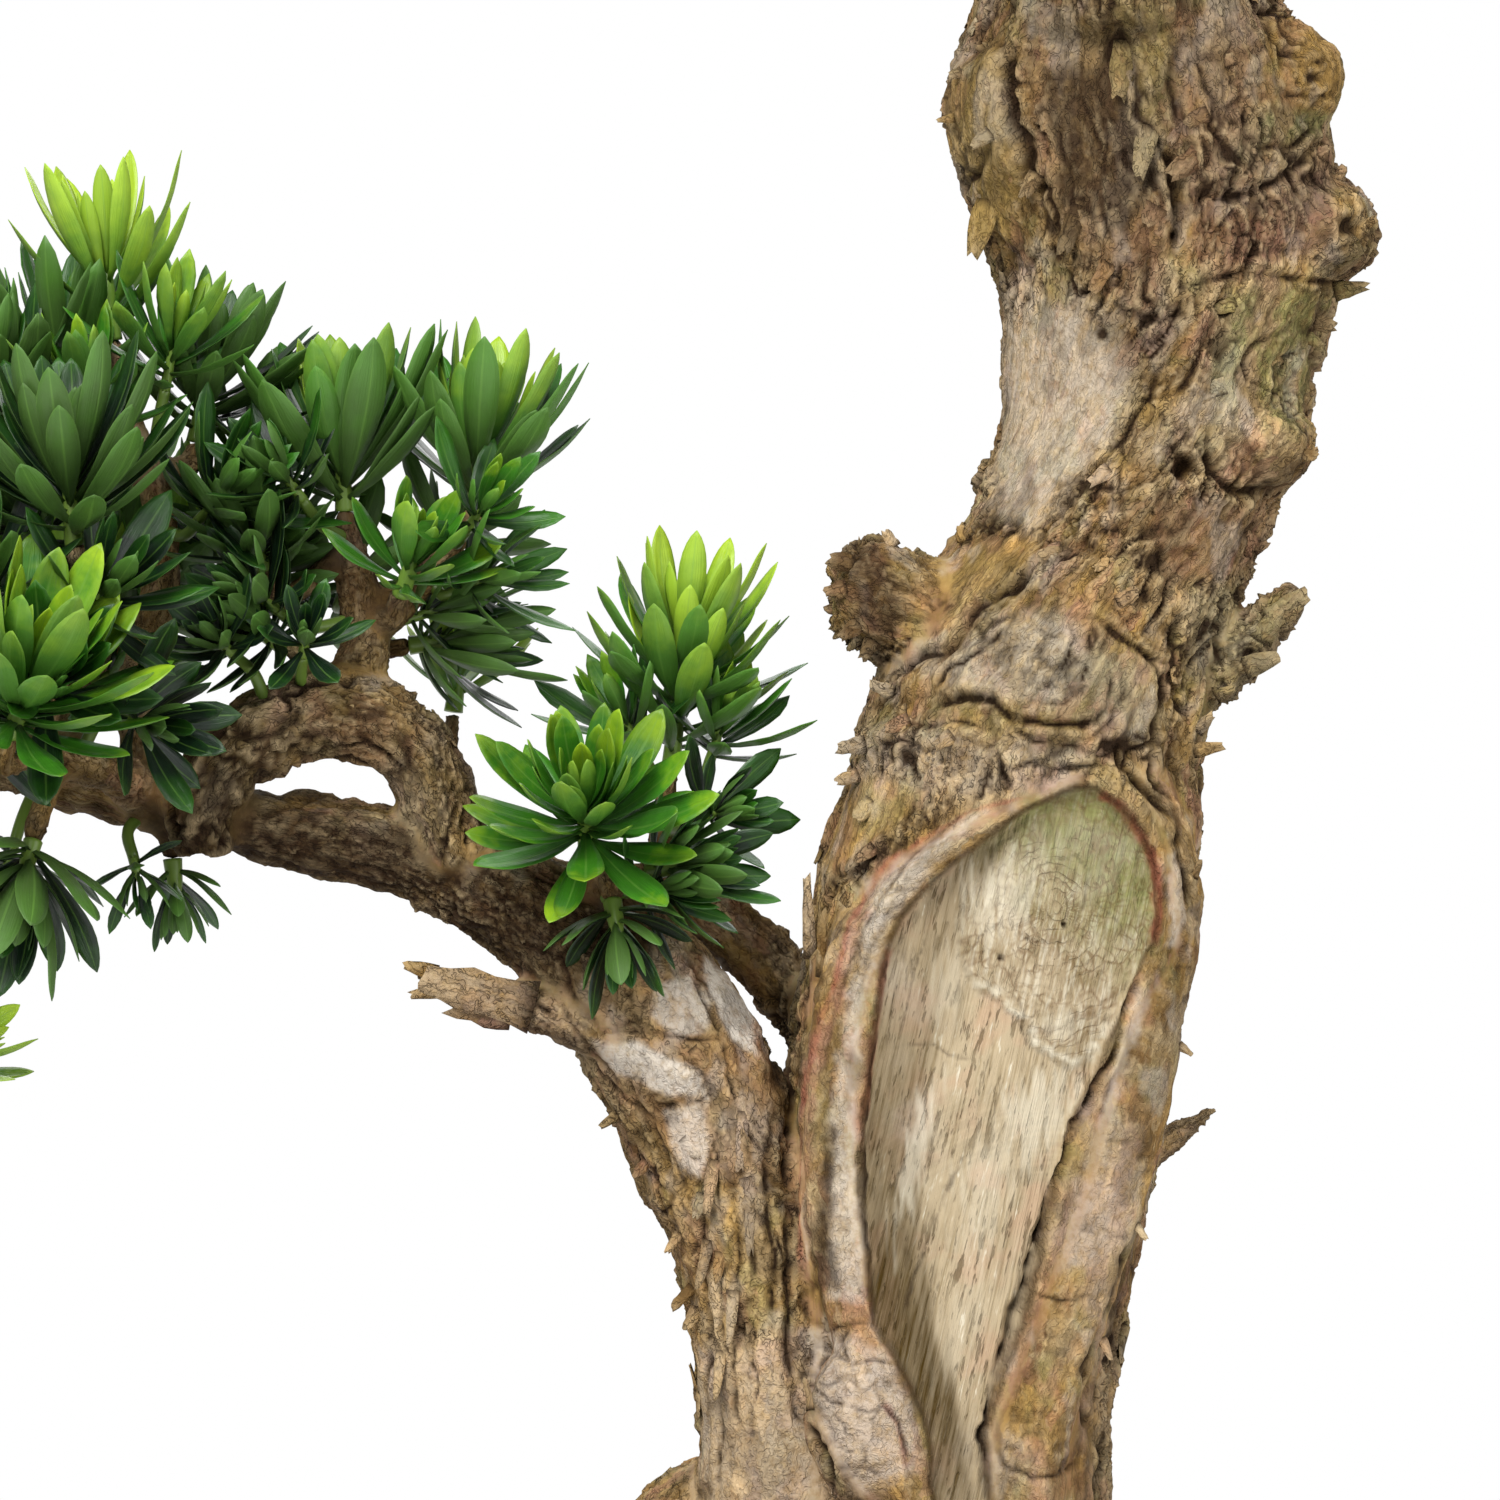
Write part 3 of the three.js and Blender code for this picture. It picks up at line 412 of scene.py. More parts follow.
class Shoot:
    """A CAD shoot read back as its stem's axis and its leaves' sections."""

    def __init__(self, node):
        self.name = node[len("shoot_"):]
        self.on = SHOOT_ON.get(self.name) or SHOOT_ON[self.name.rsplit("_", 1)[0]]
        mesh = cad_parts[node].data
        raw = np.empty(len(mesh.vertices) * 3)
        mesh.vertices.foreach_get("co", raw)
        raw = from_frame(raw.reshape(-1, 3))
        keys, inverse = np.unique(np.round(raw, 2), axis=0, return_inverse=True)
        inverse = inverse.reshape(-1)
        near = {i: set() for i in range(len(keys))}
        for face in mesh.polygons:
            ids = [int(inverse[k]) for k in face.vertices]
            for a, b in zip(ids, ids[1:] + ids[:1]):
                if a != b:
                    near[a].add(b)
                    near[b].add(a)
        self.leaves, taken = [], set()
        for tip, second in near.items():
            if len(second) != 3 or min(np.linalg.norm(keys[tip] - keys[k]) for k in second) < LAST_STRETCH:
                continue
            first = set().union(*(near[k] for k in second)) - second - {tip}
            root = set().union(*(near[k] for k in first)) - first - second
            if len(first) != 3 or len(root) != 3:
                continue
            self.leaves.append(tuple(keys[sorted(ids)] for ids in (root, first, second, {tip})))
            taken |= {tip} | first | second
        stem = [k for k in near if k not in taken]
        self.stem = keys[stem]
        self.bud, evenest = None, BUD_EVEN
        for k in stem:
            edges = np.linalg.norm(keys[sorted(near[k])] - keys[k], axis=1)
            if edges.std() < evenest and edges.max() < BUD_EDGE:
                self.bud, evenest = keys[k], edges.std()
        if self.bud is None:
            raise RuntimeError(f"no bud found on {node}")
        self.axis = unit(self.bud - self.stem.mean(0))
        height = (self.stem - self.bud) @ self.axis
        self.length = -height.min()
        self.seat = self.bud - self.axis * self.length
        self.size = max(np.linalg.norm(sections[3][0] - sections[0].mean(0)) for sections in self.leaves)
        self.girth, self.look = 1.0, None
        self.detail, self.young = PLACED_DETAIL if self.name in AGES else OTHER_DETAIL


def twig_route(shoot, routes):
    """The twig leaves its branch at the nearest point and ends square to the shoot."""
    branch = routes[shoot.on]
    share = branch.reach / branch.reach[-1]
    points = branch.points[(share >= 0.08) & (share <= 0.95)]
    start = points[((points - shoot.seat) ** 2).sum(1).argmin()]
    end = shoot.seat - shoot.axis * 0.3
    away = np.linalg.norm(end - start)
    knee = end - shoot.axis * min(7, away * 0.45)
    return np.array([[*start, 2.7], [*knee, 2.5], [*end, 2.3]])


# Marks of the front, by pixels of the photograph: width in pixels, depth in millimetres, the line


CRACKS = [
    (5, 1.5, [(1071, 614), (1096, 616), (1119, 635), (1155, 659), (1172, 665)]),
    (9, 2.8, [(1178, 609), (1177, 632), (1172, 659)]),
    (5, 1.2, [(1213, 617), (1215, 645)]),
    (6, 1.8, [(1168, 669), (1162, 705), (1154, 725), (1150, 755), (1135, 758)]),
    (5, 1.4, [(1173, 678), (1177, 700), (1188, 718)]),
    (5, 1.5, [(1117, 745), (1119, 765), (1142, 791), (1159, 800)]),
    (5, 1.5, [(1152, 758), (1149, 778), (1162, 791)]),
    (4, 0.9, [(1092, 622), (1097, 640), (1092, 655), (1079, 664)]),
    (4, 0.9, [(1112, 625), (1108, 642), (1099, 662)]),
    (5, 1.2, [(1110, 682), (1109, 705), (1096, 722), (1059, 723), (1013, 722), (993, 705), (960, 700), (925, 706)]),
    (4, 0.8, [(1085, 640), (1078, 660), (1060, 672), (1040, 690), (1030, 706)]),
    (4, 0.8, [(1120, 660), (1124, 690), (1108, 725), (1085, 740)]),
    (7, 1.8, [(868, 740), (880, 708), (900, 678), (923, 655), (943, 655), (979, 609), (1013, 592), (1039, 566)]),
    (5, 1.3, [(1039, 566), (1059, 559), (1082, 551)]),
    (6, 1.4, [(1039, 552), (1046, 529), (1061, 513), (1092, 486), (1099, 466), (1122, 440), (1152, 400), (1160, 372)]),
    (9, 2.4, [(1207, 446), (1212, 473), (1222, 486), (1241, 493), (1265, 486), (1285, 483)]),
    (6, 1.6, [(1162, 549), (1168, 562), (1175, 578)]),
    (4, 1.0, [(1085, 470), (1080, 500), (1075, 540)]),
    (4, 1.0, [(1120, 455), (1118, 490), (1128, 530), (1124, 548)]),
    (5, 1.1, [(1010, 726), (1032, 742), (1070, 744), (1095, 756), (1120, 760)]),
    (5, 1.2, [(878, 752), (905, 742), (935, 752), (962, 740), (1000, 748)]),
    (4, 1.0, [(902, 722), (930, 730), (958, 722), (985, 730)]),
    (4, 1.0, [(1000, 770), (1030, 764), (1062, 770), (1085, 764)]),
    (4, 0.9, [(1050, 640), (1040, 655), (1052, 668), (1072, 660), (1074, 645)]),
    (4, 0.9, [(1080, 690), (1062, 702), (1036, 700)]),
    (6, 1.3, [(836, 877), (859, 870), (880, 854), (900, 838)]),
    (3, 0.6, [(985, 802), (944, 829), (912, 857), (886, 893), (868, 922), (850, 957), (838, 1004), (830, 1063)]),
    (6, 2.0, [(1117, 752), (1126, 775), (1150, 799), (1176, 819), (1182, 851), (1188, 887), (1188, 922)]),
    (6, 1.8, [(1097, 1332), (1091, 1358), (1085, 1370), (1082, 1405), (1091, 1431), (1100, 1461), (1097, 1510)]),
    (4, 1.2, [(1128, 1248), (1122, 1285), (1105, 1320)]),
    (4, 1.0, [(798, 1302), (809, 1320), (830, 1329), (847, 1326), (868, 1323)]),
    (3.5, 0.8, [(847, 1326), (840, 1344), (850, 1364), (858, 1396)]),
    (3, 0.8, [(840, 1346), (824, 1361), (815, 1385), (827, 1399), (848, 1404)]),
    (6, 1.8, [(790, 1200), (786, 1260), (786, 1346), (792, 1379), (795, 1411), (815, 1437), (827, 1464), (836, 1510)]),
    (3.5, 0.9, [(883, 1402), (897, 1423), (903, 1446), (906, 1470), (915, 1478)]),
    (3, 0.9, [(795, 1385), (820, 1388)]),
    (3, 0.9, [(848, 1404), (870, 1412), (884, 1404)]),
    (3, 0.9, [(862, 1440), (866, 1462), (848, 1480)]),
    (3, 0.7, [(812, 1345), (835, 1352), (850, 1364), (874, 1360), (893, 1366)]),
    (3, 0.7, [(826, 1410), (846, 1424), (838, 1446), (858, 1452)]), (3, 0.6, [(868, 1380), (882, 1402), (872, 1424)]),
    (3, 0.6, [(806, 1372), (826, 1384), (846, 1378), (866, 1392)]), (3, 0.6, [(836, 1470), (858, 1466), (884, 1480)]),
    (4, 1.3, [(1272, 24), (1296, 42), (1312, 40)]), (4, 1.3, [(1280, 62), (1302, 68), (1326, 62)]),
    (4, 1.2, [(1286, 92), (1306, 100), (1330, 94)]),
    (3, 1.0, [(742, 1100), (738, 1150), (746, 1190)]), (3, 1.0, [(722, 1130), (716, 1180), (722, 1230)]),
    (3, 1.0, [(700, 1180), (704, 1230), (698, 1280)]), (3, 1.1, [(756, 1180), (750, 1240), (758, 1290)]),
    (3, 1.0, [(728, 1260), (722, 1320), (730, 1360)]), (3, 1.0, [(750, 1330), (756, 1390), (748, 1440)]),
    (3, 0.9, [(716, 1380), (722, 1430), (716, 1490)]),
    (6, 2.2, [(1123, 40), (1135, 81), (1141, 117), (1158, 142), (1172, 172), (1177, 211), (1173, 252)]),
    (5, 1.5, [(1020, 175), (1050, 190), (1058, 225), (1052, 262)]), (4, 1.1, [(1092, 180), (1104, 215), (1112, 250)]),
    (4, 1.0, [(1005, 252), (1014, 290), (1008, 312)]), (5, 1.4, [(1196, 60), (1216, 100), (1210, 128), (1228, 150)]),
    (4, 1.0, [(997, 1449), (1003, 1464), (1029, 1478), (1059, 1476), (1079, 1464)]),
    (4, 0.9, [(1030, 1290), (1060, 1300), (1090, 1296)]),
    (9, 3.0, [(1011, 47), (1008, 88), (1014, 116), (1030, 150), (1033, 175), (1040, 190)]),
    (6, 1.5, [(997, 144), (989, 169), (967, 191)]),
    (6, 1.8, [(1164, 31), (1177, 53), (1167, 81), (1180, 131)]),
    (4, 1.2, [(1130, 41), (1136, 81), (1149, 103)]),
    (9, 3.2, [(1171, 153), (1180, 188), (1180, 216), (1171, 244)]),
    (5, 1.4, [(1202, 137), (1205, 162), (1196, 181)]),
    (5, 1.4, [(1242, 106), (1246, 137), (1230, 175), (1227, 200)]),
    (6, 1.8, [(1221, 200), (1255, 191), (1296, 169), (1324, 137)]),
    (6, 1.6, [(1149, 259), (1146, 297), (1161, 325), (1180, 312), (1183, 275)]),
    (6, 1.6, [(1183, 291), (1211, 281), (1258, 272), (1299, 281), (1352, 284)]),
    (5, 1.5, [(1327, 287), (1321, 328), (1314, 337)]),
    (5, 1.5, [(1327, 337), (1317, 369), (1305, 394)]),
    (5, 1.3, [(1199, 347), (1189, 375), (1172, 396)]),
    (6, 1.8, [(1261, 3), (1267, 31), (1280, 53), (1302, 56)]),
    (5, 1.4, [(1261, 147), (1289, 147), (1317, 128)]),
    (4, 1.0, [(1290, 330), (1262, 340), (1245, 356), (1250, 380), (1275, 392)]),
    (4, 1.0, [(1300, 350), (1280, 362), (1278, 376)]),
    (4, 0.9, [(1062, 120), (1058, 150), (1072, 190), (1068, 230)]),
    (4, 0.9, [(1100, 110), (1106, 150), (1098, 190)]),
    (7, 2.0, [(799, 900), (801, 960), (797, 1040), (789, 1110), (786, 1200)]),
    (4, 1.2, [(826, 900), (818, 960), (808, 1000)]),
    (4, 1.2, [(1010, 630), (985, 655), (950, 672), (935, 690)]),
    (5, 1.2, [(1222, 600), (1216, 640), (1222, 668)]),
    (4, 1.0, [(585, 1010), (598, 1030), (640, 1020), (650, 990)]),
    (4, 1.0, [(560, 1000), (590, 1050), (620, 1080)]),
    (3.5, 1.1, [(625, 988), (635, 1018), (659, 1034), (700, 1041), (720, 1036)]),
    (3.5, 1.0, [(652, 1104), (680, 1106), (702, 1102), (714, 1086)]),
    (3.5, 1.0, [(590, 1062), (615, 1085), (652, 1119), (660, 1150), (668, 1178), (690, 1190)]),
    (3.5, 1.1, [(720, 1036), (730, 1085), (747, 1126), (761, 1153)]),
    (3.5, 1.0, [(700, 960), (693, 983), (706, 1004), (720, 1034)]),
    (3, 0.8, [(588, 1036), (620, 1030), (659, 1034)]), (3, 0.8, [(712, 1100), (716, 1140), (704, 1186)]),
    (3, 0.8, [(740, 975), (754, 1010), (760, 1060)]),
    (4, 1.0, [(660, 1110), (690, 1100), (705, 1085), (722, 1070)]),
    (5, 1.2, [(430, 985), (480, 985), (530, 1000), (560, 1020)]),
    (4, 1.0, [(560, 955), (566, 985), (575, 1000)]),
    (5, 1.4, [(770, 1120), (766, 1180), (772, 1250), (768, 1330)]),
    (4, 1.0, [(735, 1200), (742, 1290), (732, 1370), (740, 1440)]),
    (4, 1.0, [(700, 1240), (712, 1320), (708, 1400)]),
]

# The gap under the right roll, and checks in the bare wood.
CRACKS += [
    (6, 3.0, [(1150, 948), (1128, 1003), (1105, 1066), (1079, 1118), (1062, 1168), (1051, 1205), (1031, 1268),
              (1011, 1330), (991, 1398), (984, 1432), (988, 1510)]),
    (4, 0.9, [(905, 905), (888, 950), (878, 1010), (868, 1070), (863, 1150), (866, 1240), (872, 1310)]),
    (3.5, 0.5, [(968, 1144), (948, 1190), (927, 1238), (912, 1285), (906, 1320)]),
    (3.0, 0.25, [(888, 1048), (930, 1045), (950, 1056), (974, 1058)]),
    (2.6, 0.3, [(1030, 872), (1050, 862), (1077, 855), (1090, 868), (1088, 905), (1075, 930), (1057, 942), (1038, 941),
                (1020, 936), (1016, 920), (1022, 900), (1030, 887), (1044, 874)]),
    (2.4, 0.3, [(1000, 922), (980, 937), (965, 955), (958, 970)]),
    (2.4, 0.3, [(967, 965), (958, 988), (950, 1010)]),
    (2.4, 0.3, [(930, 930), (915, 967), (905, 1012), (897, 1042)]),
    (2.6, 0.4, [(1020, 1000), (1022, 1022), (1030, 1048)]),
    (2.2, 0.25, [(1043, 946), (1045, 960)]), (2.2, 0.25, [(1058, 944), (1060, 956)]),
    (2.2, 0.25, [(1069, 938), (1076, 950)]), (2.2, 0.25, [(1100, 905), (1118, 925), (1136, 950)]),
    (2.2, 0.25, [(1105, 860), (1128, 856), (1146, 862)]), (2.2, 0.25, [(1090, 800), (1096, 826), (1104, 842)]),
    (4, 1.3, [(1070, 624), (1077, 638), (1070, 656), (1054, 676)]),
    (4, 1.2, [(1090, 630), (1091, 652), (1088, 666), (1079, 684)]),
    (3.5, 1.0, [(1103, 648), (1100, 656), (1092, 668)]),
    (4, 1.2, [(1112, 680), (1109, 694), (1111, 708), (1118, 712)]),
    (5, 1.5, [(930, 706), (954, 697), (976, 699), (996, 703), (1010, 718), (1024, 724), (1086, 724), (1104, 714)]),
    (4, 1.1, [(1096, 618), (1118, 640), (1146, 652), (1160, 670), (1162, 690), (1154, 708)]),
    (4, 1.1, [(1148, 770), (1154, 786), (1170, 798)]),
    (3.5, 0.9, [(1046, 754), (1060, 764), (1078, 764), (1106, 767)]),
]

# Raised rolls, as the cracks.
ROLLS = [
    (13, 1.2, [(985, 790), (930, 812), (885, 845), (850, 890), (830, 950), (818, 1020), (808, 1100), (806, 1300)]),
    (15, 1.0, [(1030, 800), (960, 835), (905, 885), (876, 935), (862, 1000), (850, 1080), (846, 1290)]),
    (12, 1.3, [(1113, 788), (1140, 812), (1162, 850), (1170, 900), (1166, 950)]),
    (12, 1.6, [(900, 695), (935, 672), (985, 650), (1030, 622)]),
    (10, 1.3, [(1055, 612), (1074, 632), (1068, 655), (1045, 672), (1000, 690), (950, 690)]),
    (9, 1.2, [(1102, 632), (1100, 668), (1070, 702), (1020, 712)]),
    (9, 1.2, [(1128, 650), (1134, 690), (1120, 730), (1080, 758), (1020, 762)]),
    (16, 2.0, [(1125, 535), (1140, 495), (1160, 440), (1182, 390), (1192, 340), (1190, 290)]),
    (12, 1.4, [(1150, 30), (1155, 70), (1140, 110), (1148, 160)]),
    (10, 1.3, [(715, 965), (735, 1000), (752, 1040), (762, 1085)]),
    (12, 1.3, [(600, 1045), (650, 1058), (695, 1082)]),
    (14, 1.5, [(1225, 440), (1262, 428), (1295, 440), (1302, 465), (1270, 478), (1232, 474)]),
    (12, 1.4, [(1130, 1000), (1095, 1120), (1066, 1220), (1040, 1300), (1012, 1380), (1002, 1440)]),
    (9, 1.0, [(1145, 900), (1160, 960), (1172, 1010)]),
]

# Round hollows: place, radius in pixels, depth in millimetres.
HOLES = [
    (1187, 467, 13, 5.0), (1225, 309, 8, 3.5), (1352, 226, 12, 3.0), (1313, 78, 6, 1.6), (1102, 334, 6, 0.8),
    (1157, 562, 12, 1.4), (1250, 655, 9, 1.8), (1065, 925, 3.6, 1.2), (1001, 958, 3.2, 1.2),
    (1118, 50, 16, 1.2),
]

# Ringed knots: place, radius in pixels, height of the swelling.
KNOTS = [(1250, 655, 22, 0.5), (1288, 405, 20, 0.5)]

# Broad hollows, and with a minus sign rises: depth in millimetres, softness in pixels, outline.
HOLLOWS = [
    (2.6, 16, [(1022, 32), (1118, 36), (1138, 110), (1162, 176), (1128, 205), (1052, 188), (1030, 130)]),
    (2.0, 10, [(1143, 250), (1178, 258), (1176, 318), (1150, 316)]),
    (-2.2, 14, [(950, 60), (1002, 52), (1006, 110), (1022, 165), (1006, 235), (984, 225), (962, 170), (944, 120)]),
    (2.2, 10, [(1160, 545), (1195, 548), (1200, 590), (1172, 604)]),
    (-1.6, 12, [(940, 690), (985, 640), (1040, 612), (1066, 640), (1050, 680), (1010, 712), (975, 696)]),
    (-1.2, 8, [(868, 735), (900, 722), (950, 722), (985, 735), (960, 752), (900, 758)]),
    (-1.4, 10, [(1190, 130), (1240, 120), (1246, 160), (1222, 196), (1192, 186)]),
    (1.6, 12, [(1196, 190), (1300, 165), (1322, 180), (1262, 205), (1205, 215)]),
]

# Fine ridges that run round a place: the place, how far, width over height, spacing in pixels, height.
SWIRLS = [
    (1024, 672, 118, 1.25, 5.5, 0.55), (1277, 318, 52, 1.3, 5, 0.6), (1304, 392, 40, 0.8, 5, 0.55),
    (1210, 400, 44, 1.0, 5, 0.5), (1306, 72, 66, 0.9, 7, 1.4), (1255, 452, 44, 1.4, 5, 0.5),
    (1250, 655, 40, 0.8, 5, 0.6), (905, 590, 60, 1.5, 6, 0.5), (1200, 540, 50, 1.2, 6, 0.4),
]

